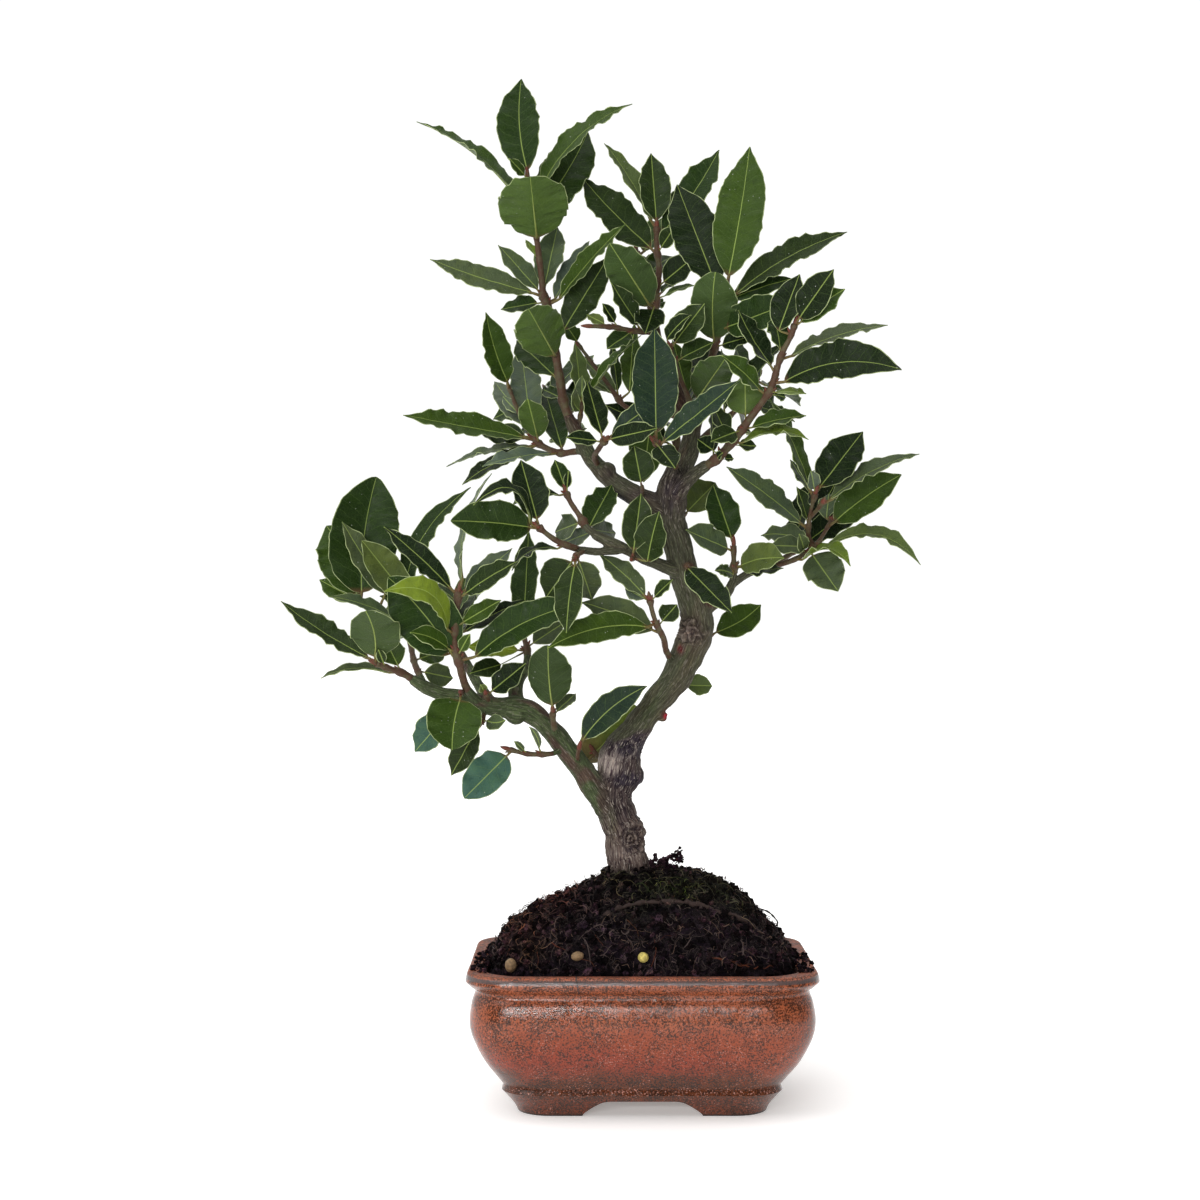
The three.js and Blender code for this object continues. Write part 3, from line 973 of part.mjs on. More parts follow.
// Twigs first, so that every blade can keep clear of them.
const shoots = [...SPRAYS, ...BACK_SPRAYS].map((spray) => {
  const paths = spray.twigs.map((twig, i) =>
    pathOf(twig, i ? [spray.radii[1] + 0.2, spray.radii[1] - 0.1] : spray.radii, 12),
  );
  const fine = spray.twigs.map((twig, i) =>
    pathOf(twig, i ? [spray.radii[1] + 0.2, spray.radii[1] - 0.1] : spray.radii, 1),
  );
  const { before, after } = cutPath(paths[0], spray.stub, JOINT_GAP);
  wood.push(tube(before, TWIG_SIDES));
  addCapsules(before, "wood");
  paths[0] = after;
  fine[0] = cutPath(fine[0], spray.stub + ROOT_SHIFT, JOINT_GAP).after;
  paths.forEach((path) => addCapsules(path, spray.name));
  return { spray, paths, fine };
});

const leaves = shoots.map(({ spray, fine }, index) => {
  const draw = random(1000 + index);
  if (spray.leaves) {
    return spray.leaves.map((row) => placeLeaf(spray, fine, row, draw)).filter(Boolean);
  }
  const set = [];
  for (let i = 0; i < spray.count; i++) set.push(placeBackLeaf(spray, fine[0], i, draw));
  return set.filter(Boolean);
});

const group = new THREE.Group();
const inner = new THREE.Group();

const potSolid = pot();
inner.add(meshOf("pot", potSolid, 0x9a4f30, { roughness: 0.3 }));

const trunkPath = limbs[0].path;
const below = trunkPath.filter((p) => p.at.z < 118);
const low = below[0];
const hole = tube([{ at: low.at.clone().add(vector(0, 0, -0.6)), radius: low.radius }, ...below], 8, 0.5);
inner.add(meshOf("soil", oneBody(soil(hole)), 0x2a201b, { roughness: 1 }));
inner.add(meshOf("trunk_and_branches", oneBody(wood.reduce((sum, piece) => sum.add(piece))), 0x5d5548));

for (const pellet of PELLETS) {
  inner.add(meshOf(pellet.name, pelletSolid(pellet), pellet.colour, { roughness: 0.8 }));
}
inner.add(meshOf("drain_screen_left", screen(-DRAIN_SPACING / 2), 0x1c1c1c));
inner.add(meshOf("drain_screen_right", screen(DRAIN_SPACING / 2), 0x1c1c1c));

shoots.forEach(({ spray, paths }, index) => {
  let solid = paths.map((path) => tube(path, TWIG_SIDES)).reduce((sum, piece) => sum.add(piece));
  for (const shape of leaves[index]) {
    if (shape.length > SMALLEST_BLADE) solid = solid.add(leafSolid(shape));
  }
  inner.add(meshOf(spray.name, oneBody(solid), LEAF_COLOURS[spray.tone], { roughness: 0.45 }));
});

if (dropped.length) console.log("left out: " + dropped.join("; "));

// The origin: the middle of the lowest plane of the bounding box.
const box = new THREE.Box3().setFromObject(inner);
inner.position.set(-(box.min.x + box.max.x) / 2, -(box.min.y + box.max.y) / 2, -box.min.z);
group.add(inner);

export default group;
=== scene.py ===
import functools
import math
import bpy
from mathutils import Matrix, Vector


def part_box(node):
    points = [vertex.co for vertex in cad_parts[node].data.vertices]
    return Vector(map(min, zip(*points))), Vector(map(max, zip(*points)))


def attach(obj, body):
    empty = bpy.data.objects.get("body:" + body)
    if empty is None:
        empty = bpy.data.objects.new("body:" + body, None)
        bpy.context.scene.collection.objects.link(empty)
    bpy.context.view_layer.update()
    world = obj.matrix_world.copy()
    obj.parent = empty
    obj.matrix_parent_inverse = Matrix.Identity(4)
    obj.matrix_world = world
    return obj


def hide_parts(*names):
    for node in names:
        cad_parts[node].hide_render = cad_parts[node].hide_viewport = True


bl_info = {
    "name": "Bay laurel bonsai",
    "version": (1, 0, 0),
    "blender": (4, 5, 0),
    "location": "View3D > Sidebar > Bonsai",
    "description": "A bay laurel bonsai in a glazed pot, dressed piece by piece round its frame",
    "category": "Add Mesh",
}

import bmesh
import bpy
import numpy as np
from bpy.props import FloatProperty, FloatVectorProperty, IntProperty, PointerProperty
from mathutils import Vector, noise

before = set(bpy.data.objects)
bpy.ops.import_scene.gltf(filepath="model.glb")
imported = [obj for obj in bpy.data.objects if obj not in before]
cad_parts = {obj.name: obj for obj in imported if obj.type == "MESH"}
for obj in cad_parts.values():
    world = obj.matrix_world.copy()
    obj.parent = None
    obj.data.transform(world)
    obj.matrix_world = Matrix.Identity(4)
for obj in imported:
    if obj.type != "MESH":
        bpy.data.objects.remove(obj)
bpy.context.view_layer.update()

# Everything below is measured in millimetres from the middle of the pot's base, with +Z up and
# the front towards -Y. Meshes are turned into metres of the row frame when they are made.
MM = 0.001
POT_LOW, POT_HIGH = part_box("pot")
POT_MIDDLE = np.array([(POT_LOW.x + POT_HIGH.x) / 2, (POT_LOW.y + POT_HIGH.y) / 2, POT_LOW.z])

# Pot
POT_HEIGHT = 62
RIM_WIDTH = 150
RIM_DEPTH = 118
RIM_CORNER = 20
LIP_INNER = 66.2
FOOT_HEIGHT = 7
ARCH_WIDTH = 50
SIDE_ARCH_WIDTH = 34
FLOOR_TOP = 15
DRAIN_DIAMETER = 11
DRAIN_SPACING = 64
SIDE_DIFFERENCE = (RIM_WIDTH - RIM_DEPTH) / 2
# Edges that turn by more than this many degrees stay crisp
CRISP_ANGLE = 42
# Pot wall outside and inside: half-width, height
OUTSIDE = [
    [53.5, 0], [55.2, 3.5], [57.8, 7], [60.2, 10], [59.4, 12], [62.2, 16], [66.5, 22], [70.2, 29],
    [72.8, 36], [73.4, 42], [72.4, 49], [71, 53.5], [73, 55.6], [74.8, 57.6], [75, 58.5], [74.5, 60.6],
    [73.6, 61.8], [72.3, POT_HEIGHT],
]
INSIDE = [
    [67.5, 61.6], [LIP_INNER, 60], [66, 56], [67.2, 48], [67, 38], [63.6, 28], [58, 20], [52, 15.6],
    [48, FLOOR_TOP],
]
# The pot's inner half-width by height, from the floor up
INNER_WIDTHS = [(z, width) for width, z in reversed(INSIDE)]

# Soil
SOIL_EDGE_HEIGHT = 56
SOIL_GAP = 0.5
SOIL_REACH = (67, 51)
MOUND_MIDDLE = -2
CRUMB_SEED = 77
FIBRE_SEED = 78
# The mound from its middle to the pot's edge, on the left and on the right: share of the way, height
LEFT_SLOPE = [
    [0, 102], [0.16, 100.5], [0.3, 94], [0.5, 87.5], [0.7, 81], [0.87, 73], [0.97, 63], [1, 59],
]
RIGHT_SLOPE = [
    [0, 102], [0.22, 100], [0.38, 98], [0.55, 93.5], [0.68, 86.5], [0.8, 77.5], [0.93, 68], [1, 59],
]
# How much higher the soil is heaped against the pot's two ends
END_RISE = [[0, 0], [0.55, 0], [0.7, 1.5], [0.86, 2], [0.95, 2], [1, 0]]
# Roots and stalks that show on the mound: x, z, lift above the soil; then thickness and colour
ROOTS = [
    ([-16, 79.5, -0.3, -8, 82.5, 0.4, -2, 84, 0.9, 9, 85, 0.7, 20, 84.2, 1, 32, 81.5, 0.5, 42, 77.7, 0.6,
      50, 74, 0.2, 56, 69, -0.2], 1.1, (0.42, 0.62, 0.8)),
    ([46, 86, 0.2, 50, 82.5, 1.6, 53.5, 79.5, 2.6, 57, 77, 2.4, 59.5, 76, 1.2, 58.5, 73.5, 0.3], 0.42,
     (0.12, 0.14, 0.16)),
    ([43, 90, 0.3, 48, 85, 0.8, 52, 78, 0.7, 55, 72, 0.4], 0.34, (0.4, 0.34, 0.26)),
    ([36, 92, 0.4, 44, 86, 0.8, 50, 80, 1.4, 56, 73, 1.4, 58, 69, 0.4], 0.22, (0.28, 0.2, 0.17)),
    ([30, 62, 0.3, 37, 59, 0.6, 44, 57, 0.7, 53, 56.5, 0.9, 58, 56, 0.6], 0.3, (1.1, 0.75, 0.5)),
    ([34, 60.5, 0.9, 41, 58.5, 1.2, 49, 57.5, 0.8], 0.2, (1.2, 0.85, 0.6)),
    ([6, 68, 0.3, 6.5, 63, 0.8, 5, 58, 1.1, 3, 53.5, 0.7], 0.26, (0.8, 0.5, 0.4)),
    ([19, 76, 0.2, 14, 71, 0.8, 8, 68, 0.9, 6.5, 64, 0.6], 0.2, (0.35, 0.22, 0.2)),
    ([-22, 73, 0.4, -19, 69, 0.9, -17, 65, 0.7], 0.16, (1.2, 0.9, 0.7)),
    ([-8, 78, 0.3, -4, 75.5, 0.8, -1.5, 73, 0.9, -1, 70.5, 0.5], 0.18, (0.9, 0.85, 0.55)),
    ([-60, 70, 0.4, -57.5, 64, 1, -59, 61, 0.6], 0.18, (1, 0.7, 0.55)),
    ([-40, 67, 0.4, -36, 65.5, 0.8, -32, 64.5, 0.5], 0.22, (1, 0.6, 0.45)),
    ([-46, 66, 0.2, -45, 60, 0.8, -46, 56, 0.4], 0.15, (1.2, 0.9, 0.7)),
    ([-26, 61, 0.3, -21, 58, 0.9, -18, 55, 0.4], 0.17, (1, 0.75, 0.55)),
]
# Moss-green and rusty places on the mound: x, z, size, colour
SOIL_PATCHES = [
    (17, 91, 8, (0.95, 1.5, 0.55)), (34, 90, 9, (0.75, 1.05, 0.55)), (46, 82, 7, (0.8, 1.05, 0.7)),
    (4, 93, 6, (0.8, 1.1, 0.6)), (-12, 97, 8, (0.9, 1.1, 0.7)), (-36, 88, 9, (1.4, 0.85, 0.75)),
    (-54, 76, 11, (1.45, 1, 0.75)), (-48, 64, 7, (1.2, 1, 0.7)), (0, 84, 10, (0.75, 0.95, 0.7)),
]

# Leaves and twigs
JOINT_GAP = 0.3
CUT_MARGIN = 0.8
LEAF_CLEARANCE = 2.3
WOOD_CLEARANCE = 1.3
SAMPLE_STEP = 2.1
ROOT_SHIFT = 1.4
FULLNESS = 0.85
WIDENING = 1.12
GOLDEN_ANGLE = 2.39996
PLACING_SEED = 1000
FORM_SEED = 5000
# What a blade's map spans, in millimetres, and an inset that lies far from every blade's edge
MAP_SPAN = 200
FAR_INSET = 9

# The eye from which the tree was measured: each x and z in the lists below is where a point
# stands on the plane y = 0 as seen from there, and its depth y is how far behind that plane it is.
EYE_X = -18.1
EYE_DISTANCE = 950
EYE_HEIGHT = 219
LENS = 64.5

# The wood. A limb has its name and the sides and step of its coarse tube, then its points: x, z,
# depth y, radius.
LIMBS = """
trunk 8 8
-6 74 0 8.2, -5.6 88 0 9.2, -5.5 101 0 9.6, -6.5 106 0 8.7, -7.1 112 0 8.4, -7.3 117 0 8.7, -9.3 121 0 8.3,
-11 126 0.5 8.2, -12.4 131 1 8.1, -12.3 136 1.5 8.6, -10.6 141 2 9.4, -9.6 146 2 9.8, -8.8 151 2 9,
-6.5 156 2.5 7.6, -2.8 161 3 6.6, 0.5 166 3 6.1, 4 170.5 3.5 5.9, 8 175.5 3.5 6, 12.3 180.5 3.5 6.4,
16 185.5 3 6.9, 18.6 191 3 7.3, 21 196 2.5 7.4, 23.3 201 2 7.6, 24.4 206 1.5 7.7, 25 211 1 7.3,
22.9 220 0 7, 19 230 -1 6.4, 17.4 238 -1.5 6.4, 15.6 246 -2 6.6, 13.2 254 -2 6.6, 13.4 262 -2 6.9,
14.2 270 -1 6.5, 17.5 277 1 5.4, 21 285 4 4.6, 22.5 293 6 4.1, 20 301 8 3.6, 15 312 11 3.1, 11 321 13 2.8,
8.5 330 14 2.5
left 7 10
-10 122 0 5.5, -16 129 -2 5.6, -22 138 -4.5 5.4, -29 148 -7.5 5, -36 157 -10.5 4.7, -43 165 -13.5 4.6,
-50 170 -15 5, -56 171.5 -16.5 5.2, -63 171.5 -18 4.2, -70 173 -18 3.8, -76 175.5 -19.5 3.2,
-82 176.8 -20 3.2, -88 177.5 -21 3.1, -95 180.3 -21 2.9, -101 184 -22 2.5
left_stem 5 11
-54 171 -15 3.8, -55.5 178 -10.5 3.4, -54 184 -6 2.8, -51 188 -1.5 2.2, -50 192 1 1.9
left_leader 6 11
11 258 -3 5, 3 262.5 0 5, -4 266 2.5 4.6, -12 271 6 4.2, -19 278 10 3.9, -25 286 14 3.2, -31 298 17.5 2.8
right_shoot 5 11
22 290 7 3.2, 25 299 6 2.6, 27.5 308 5 2.3
right_leader 5 11
15 264 -4.5 4.2, 19 270 -7.5 3.4, 24 275 -10.5 2.8, 29 278.5 -14 2.5
right_twig 5 11
26 214 1 3.6, 33 218 4 2.8, 38 222 5 2.3, 40.3 226.5 6 2
right_low 5 11
40 225.5 6 1.9, 46 230 9 1.8, 52 232.5 10 1.7, 58 234 10 1.6
front_left 5 11
17 231 -3 3.4, 9 234.5 -9 2.8, 0 238 -15 2.6, -8 242 -19.5 2.5, -16 245.5 -24 2.3, -21 248 -25.5 1.9
front_left_low 5 11
-7 241.5 -19.5 1.9, -13 240.7 -22.5 1.9, -20 240.4 -27 1.8, -28 241.3 -31.5 1.6
back_up 5 11
16 238 0 4, 15 247 12 3, 14 258 24 2.5, 14 268 34 2.2
back_left 5 11
-21 280 9 3, -24 288 22 2.2, -27 294 32 1.8
back_low 5 11
-66 172.5 -12 3.2, -72 182 4 2.4, -77 191 16 1.9
"""

# Callus knobs, bud scars and cut wounds on the wood: x, z, depth y, radius
KNOBS = [
    [-3.4, 142.5, 0, 4.9], [-5, 114, -3, 5.6], [24, 205, -2.5, 6.6], [31, 216.5, 0, 3],
    [-55.5, 168.5, -18, 4.6], [9.5, 167.5, 1, 2.4], [11.3, 168.4, 0.2, 1.1], [11, 166.9, 0.6, 1],
    [-15, 276, 4.5, 4.1],
]

# The leafy shoots. A shoot has its name, its tone, which the leaves of a far-side shoot take, the
# length of the stub that stays on the wood and its first twig's radii. Then come its twigs' points:
# x, z, depth y, and its leaves: base x, z, tip x, z, width, depth of the tip, turn, bend, tone and
# roundness. A shoot of the far side has the middle and half-sizes of the ellipse that holds its
# leaves, and their number. A line of points alone goes on with the twig before it.
SHOOTS = """
spray_centre_front old 5.5 1.9 1.2
twig 16 276 -4.5, 14 280.5 -15, 9.5 285 -22.5, 6 289 -27
7 288 6 339 19 9 0 0 teal 0.58
10 289 44 316.5 10 -12 30 0 teal 0.7
5 288 15 277.5 10 -12 20 0 old 0.65
spray_left_leader_top old 3 2.6 1.1
twig -31 298 17.5, -34 306 19, -36 318 20, -37.5 327 20, -40 345 20, -43 353 20, -44 362 19,
-46 378 17.5, -48 392 16, -50 406 15
-46 379 -49 406.5 28 -51 180 0 mid 0.42
-50 405 -53 449.5 18 12 -12 -0.05 deep 0.62
-49.5 389 -99 430.5 5.5 9 64 0.08 mid 0.8
-50 405 -58 414 5 -9 20 0 mid 0.7
-47.5 395 -4 438.5 8 6 55 0.1 mid 0.8
-47 387 -23.5 426 20 21 10 -0.03 deep 0.6
-43 354 -37 384 12 15 25 0 dusty 0.65
-46 368 -51 378 3 7.5 50 0 young 0.7
-43.5 353 -93 370 9.5 -6 35 -0.02 dusty 0.75
-43.5 353 -63 376 9 9 30 0 dusty 0.7
-43 350 -62 347.5 8 9 30 0 deep 0.65
-36 352 -7 385.5 8 -12 45 0.02 mid 0.75
-38 352 -23 378 8 18 30 0 pale 0.7
-34 338.5 -14.5 371 13 6 15 0 shade 0.65
-38 327 -50 348 21 -39 180 0 mid 0.5
-36.5 315 -55 334 14 24 20 0 deep 0.65
-35 308 -43 312 6 18 20 0 deep 0.7
spray_left_leader_side deep 5 1.9 1
twig -24 285 14, -30 284.5 17.5, -36 284 21, -45 288 26, -50 295 31, -54 302 35, -58 312 39
-44 289 -50 308 12 -21 170 0 mid 0.55
-58 312 -68.5 346 12 -6 20 -0.03 mid 0.65
-49 297 -53 332 13 9 15 0 pale 0.65
-48 289 -105 301 9 -15 50 0 mid 0.75
-49 290 -71 293 9 6 30 0 shade 0.65
-45 288 -86 278 3.5 9 68 0.05 dusty 0.8
-36 284 -70 278 6 -21 55 0.04 pale 0.75
-35 286 -43 314 11 3 20 0 deep 0.6
-45.5 288 -79 270 6 -12 55 0.04 old 0.7
-50 296 -65 316 12 24 15 0 pale 0.65
-53 300 -61 309 5 12 20 0 pale 0.7
spray_left_leader_short mid 6.4 1.4 0.9
twig -28.5 293 15.5, -27 299 17.5, -26 306 20
-26.5 304 -29 333 7 6 45 0 olive 0.75
-25.5 306 -26 318 5 -7.5 20 0 dusty 0.7
-25 307 0 336 4 -9 64 0.04 mid 0.8
-27 300 -29 313 4 -12 55 -0.15 olive 0.75
spray_left_leader_inner old 5 1.7 1.1
twig -18 277 9.5, -20.5 282 0, -18.5 286 -9, -16 289.5 -15
-16.5 289 -24 316 9 9 25 0 old 0.7
-16.5 289 -33 291 6 -6 40 0 old 0.7
-14 291 15 311.5 9 -12 30 0.02 teal 0.7
-15.5 289 7 295 9 -21 10 0 old 0.6
leaf_left_leader dusty 6.2 1.1 0.9
twig 0.5 263.5 1, 0.6 266.5 -7.5, 0.5 268.5 -13.5
0.5 268 -3 287 13 -3 8 0 shade 0.55
spray_centre_left mid 5.5 1.6 0.9
twig 20 299 10, 10 301.5 17.5, 0 303.5 22.5, -7 304.5 27.5, -15 315 34, -21 323 37.5, -27 331 41
-5 311 -3 341.5 8 0 30 0 mid 0.7
-9 309 -13 333 5 6 40 0 deep 0.75
5 302 1 271 14 4 15 0 mid 0.6
-10 307 -27 327 6 -12 50 0.02 olive 0.75
-11 309 -26 319 5 -15 50 -0.05 olive 0.75
-27 331 -34 342 7 3 30 0 mid 0.7
spray_centre_top mid 3 2.3 1.2
twig 9 328 17, 6.5 340 20, 6.5 352 21, 8 365 21, 7 375 20.5, 7 384 20
twig 6.5 337 19.5, -4 338 12.5, -12 339.5 9, -22 340 6
4 349 -14 377 17.5 -30 170 0 deep 0.52
5 371 -26 406 16 6 20 -0.02 shade 0.6
6.5 383 -16 421 7 9 50 0.03 olive 0.75
7.5 383 4.5 416.5 14 3 10 0 shade 0.65
8 377 34.5 418 14 6 20 -0.03 deep 0.65
6.5 350 2 337 12 -15 20 0 old 0.6
10 357 24 371 11 -9 20 0 old 0.65
8 372 15 384 7 -9 20 0 shade 0.65
7 352 18 364 3 9 60 0 deep 0.8
7 352 24 358 3 -6 60 0.05 mid 0.8
0 338 -13 359 8 -9 35 0 shade 0.7
-10 339.5 -17 350 5 -6 30 0 old 0.7
-3 338 -15 330 8 6 20 0 deep 0.6
-14 339.5 -24 345 5 9 20 0 olive 0.6
spray_centre_mid olive 6 1.6 0.9
twig 21 297 7.5, 21.5 306 0, 17 318 -6, 13 330 -12
22 307 14 334 7 6 45 0 mid 0.7
11.5 334 22 345 7 -9 30 0.05 old 0.7
16 324 32 333 9 9 20 0 deep 0.6
13 330 28 350 12 -9 20 0 shade 0.6
spray_right_shoot mid 3 2.2 1.2
twig 27 306 5, 31 325 0, 34 336 -3, 36 345 -6, 38 357 -9
31 330 33 364 18.5 -24 176 0 deep 0.42
38 357 48 419.5 19.5 12 12 -0.01 mid 0.62
36 338 65 350 15 -21 15 0 deep 0.5
33 330 50 336 8 -12 30 0 old 0.7
42 354 91 382 10 12 40 0.05 shade 0.75
40 352 67 361 9 4 30 0.02 deep 0.65
33 358 16 403 20 24 10 0 old 0.6
25 308 38 327 15 -18 165 0 deep 0.5
spray_right_leader deep 3 2.4 1.1
twig 27.5 277.5 -13.5, 33 281 -17, 37 285 -19.5, 43 292 -24, 48 299 -27, 54 307 -30, 58 314 -33,
62 327 -37.5, 66 335 -39, 68 341 -40.5
33 281 36 284 3.5 -6 20 0 old 0.6
33.5 281 41 281.5 3.5 -3 40 0 shade 0.7
31.5 282 31 303 3.5 12 55 0 old 0.8
42 286 74 290 5 -9 60 0.13 young 0.8
40 287 51 287 5 3 35 0 shade 0.7
45 294 73 300.5 7 -6 50 0.03 mid 0.75
44 295 31 289 9 -12 20 0 shade 0.65
38 292 31 306 8 9 25 0 shade 0.7
34 284 25 290 8 12 20 0 old 0.6
45 297 46 318 15 -15 170 0 mid 0.55
52 312 36 327 8 12 35 0 mid 0.7
56 310 64 308.5 4 6 30 0 deep 0.7
56.5 311 73 310 4 -9 55 0.03 young 0.8
59 315 115 321 16 -24 20 0.11 old 0.65
64 324 109 340.5 5 6 62 0.05 dusty 0.8
58 319 43 347 8 6 50 -0.03 old 0.7
61 328 59 344 9 12 30 0 deep 0.65
61 338 70 363 12 3 25 0 old 0.65
67.5 340 85 365 12 -3 20 0 old 0.65
69 339 90 356.5 9 -12 35 0.03 mid 0.7
spray_right_low deep 7 1.8 1.1
twig 39.8 225 6, 41 231 6, 41 236 6, 41 243 6
41 233 63 237.5 12.5 -18 25 0.06 olive 0.6
41.2 231 63 233 6 9 50 -0.05 shade 0.7
41 243 32 270 13 6 15 0 deep 0.6
40.5 240 20 250 11 -12 30 0 dusty 0.62
40.5 230 33 232 5 -6 20 0 deep 0.7
spray_right_end mid 2.5 1.6 1
twig 57 233.7 10, 64 235.5 9, 70 238 6, 77 243 2.5
twig 76.5 242.5 2.5, 74 248 -1.5, 75 258 -9, 77 266 -13.5
twig 75 256 -7.5, 78 259 -13.5, 80 262 -18
twig 77 243 2.5, 80 247 6, 84 254 10
75 240 87 223 16 -18 5 0 dusty 0.55
68 237 92.5 234 5 -24 60 0.22 young 0.8
78 243 123.5 234.5 5 -9 60 0.22 olive 0.8
77 242 57 243 7 -9 40 0 dusty 0.7
76.5 243 53 247.5 8 9 45 0.1 dusty 0.75
72 241 70 248 6 -12 10 0 dusty 0.6
82 251 115 274.5 15 -9 20 0.03 mid 0.6
80 261 123 283.5 5 6 62 0.06 dusty 0.8
77 266 98 293.5 15 12 15 0 old 0.62
75.5 264 57 308 7 -6 50 0.03 mid 0.75
75 264 66 281 5 12 50 0 deep 0.75
77 266 75 276 6 -9 20 0 pale 0.65
74 252 69 269 5 -9 50 0 shade 0.75
82 255 83 266 8 15 20 0 dusty 0.65
74 250 38 278 9 -12 45 0.02 dusty 0.75
spray_trunk_front dusty 5 1.4 1.1
twig 20.5 234 -6, 20.5 234.5 -15, 20.5 234 -19.5
20.5 233 40 213.5 11 -18 20 0 old 0.6
20.5 232 31 222 7 -6 10 0 lime 0.6
leaf_trunk_right mid 7 1.2 1
twig 25 201 5, 28 201.5 11, 30.5 203 15.5
31 202 53 217 13 9 15 -0.06 mid 0.62
leaf_trunk_low mid 7 1.1 0.9
twig 13 181 6, 15 181.2 14, 17.5 181.4 17.5
18 181.5 31.5 181 9 6 15 0 olive 0.6
leaf_trunk_high mid 8.2 1.2 1
twig 14 254 0, 16.5 254.5 8, 18.5 256 12
19 256 33 271 14 12 15 0 olive 0.6
spray_trunk_left olive 5 1.7 1
twig 13 193 -1.5, 11 197 -12, 10 202 -18, 7 208 -22.5, 5 214 -25.5, 4 219 -27
8 204 -26 218 12 -9 25 0.03 dusty 0.7
3 207 -41 198 11 -21 20 0.08 mid 0.7
4 218 -18 239 8 6 40 0.03 dusty 0.7
3 218 -7 224 6 9 20 0 pale 0.65
4.5 218.5 14 228 5 -6 40 0 shade 0.7
7.5 207 16 217 8 4.5 20 0 shade 0.65
leaf_crotch_front dusty 7.6 1.2 0.9
twig -27.5 146.5 -7.5, -28 150 -16, -27.4 153.5 -19.5
-25.5 157.5 2.5 181 12 -7.5 10 0.07 teal 0.65
leaf_crotch_back pale 10.5 1.2 0.9
twig -12 146 5, -18.5 149.5 11, -21 152.5 12.5
-24 148 -1 171.5 17 4.5 150 0 young 0.36
leaf_left_branch olive 9 1.9 1.1
twig -37.5 158.5 -11, -38.2 162 -18, -38.8 166 -22, -39 169.5 -24
-39 169 -41 199 18 -21 178 -0.02 old 0.45
-38.8 168 -28.8 177.7 5 12 40 0 dusty 0.7
spray_left_branch_low dusty 8.2 1.4 1
twig -34.5 153 -10.5, -40 151 -16.5, -50 151 -19.5, -58 153 -22.5
-57 152.5 -78 131.5 15.5 -9 10 0 mint 0.45
-50 151.5 -56 156.5 2.8 -3 20 0 dusty 0.6
-44 152 -49.5 163 2.6 -6 30 0.1 pale 0.7
spray_left_knot_down deep 5.5 1.4 1
twig -68 172.5 -18, -69.5 168 -21, -70.5 165.5 -22.5
-71 166 -84 141.5 11 3 20 0 shade 0.65
-85 169 -100 152 13 6 20 0 mint 0.6
-69.5 165 -60 166 6 9 30 -0.1 dusty 0.65
leaf_left_front mid 5.4 1.3 1
twig -78.5 177 -20, -79.5 178.5 -28, -79.8 178.5 -31.5
-80 177 -83.5 153 22.5 -12 5 0.04 mid 0.4
spray_left_knot_up old 5.2 1.3 1
twig -66 172.5 -18, -68 176 -24, -68.5 177.5 -27
-68 177 -51 191 9.5 -3 20 0 old 0.65
-69 177 -71 181.5 4 -6 10 0 olive 0.5
spray_left_stem deep 6.4 1.9 1.1
twig -50.5 190 0, -50.2 195 4, -50.8 199 6, -52 204 10
-52 203 -50 250 11 12 25 0 deep 0.7
-51 195 -77 198.5 7 -6 40 0 lime 0.7
-51 198 -34 209 9 6 20 0 dusty 0.6
-62 190.5 -75.5 186.5 8 -3 15 0 shade 0.65
spray_front_hanging dusty 4 1.3 1
twig -24.5 240.8 -29.5, -27 239.5 -36, -28.7 238.5 -40
-29 238 -33 204.5 11 -6 20 0.02 shade 0.65
-29 238.5 -42 220 16 9 15 0 shade 0.6
-28 238 -21.5 219 12 12 20 0 dusty 0.6
spray_front_up mid 8 1.9 1
twig -19 247.2 -25, -24 251 -25.5, -27 256 -22.5, -31 262 -19.5, -33 266.5 -18
-23 251 -13 270 12 6 20 0 deep 0.65
-22 250 -11 248.5 9 24 20 0 dusty 0.6
-22 249 -36 243.5 7 9 15 0 pale 0.6
-26 252 -38 249 10 18 20 0 dusty 0.6
-33 265.5 -57 261 4 -9 60 0.12 old 0.8
-32.5 265 -38 281 7 6 30 0 deep 0.7
-33 266 -32 276 3.4 -4.5 20 0 old 0.7
spray_front_left deep 3 1.7 1.1
twig -26.5 241 -31, -35 244 -36, -40 247 -39, -45 251 -42
-34 242.5 -57 232 4 -6 60 0.18 old 0.8
-45 249.5 -84 254 16 -12 20 0.02 deep 0.5
-45.5 251 -53 281 14 9 15 0 old 0.6
-45 252 -74 261 4.5 0 58 0.4 old 0.8
spray_front_base dusty 4.5 1.3 1
twig -3 239 -16.5, -3.6 237.5 -23, -4 237 -27
-4 237.5 0 266 12 3 5 0 shade 0.62
3 236 8 258 13 9 20 0.02 shade 0.62
spray_left_end olive 3 2.1 1.1
twig -99.5 183 -21.5, -105 186.5 -24, -112 189 -28.5, -117 191 -31.5
-117 191 -121.5 214.5 19.5 -21 178 0.06 shade 0.42
-116 191 -159 218.5 7.5 6 50 -0.03 shade 0.75
-107 186 -141.5 184.5 2.6 -6 66 0.1 dusty 0.8
-105 189 -114 203 10 9 20 0 mid 0.65
-112 191 -116 197 4 -9 10 0 shade 0.6
spray_left_upright mid 5.5 1.7 1
twig -96 182 -21, -100 191 -9, -102 200 2.5, -105 209 10, -114 214 14, -124 217.5 15
-124 219 -117 273.5 29 3 0 0.04 deep 0.46
-125 218 -139 252 22 18 15 0.05 mid 0.55
-98 188 -83 184.5 9 12 15 0 dusty 0.6
-100 192 -86 197 8 18 15 0 mid 0.6
-123 217 -142 228 9 6 20 0 mid 0.6
-104 221 -123 245 14 -15 10 0 olive 0.5
-113 222 -132 253.5 10 -7.5 25 0 dusty 0.65
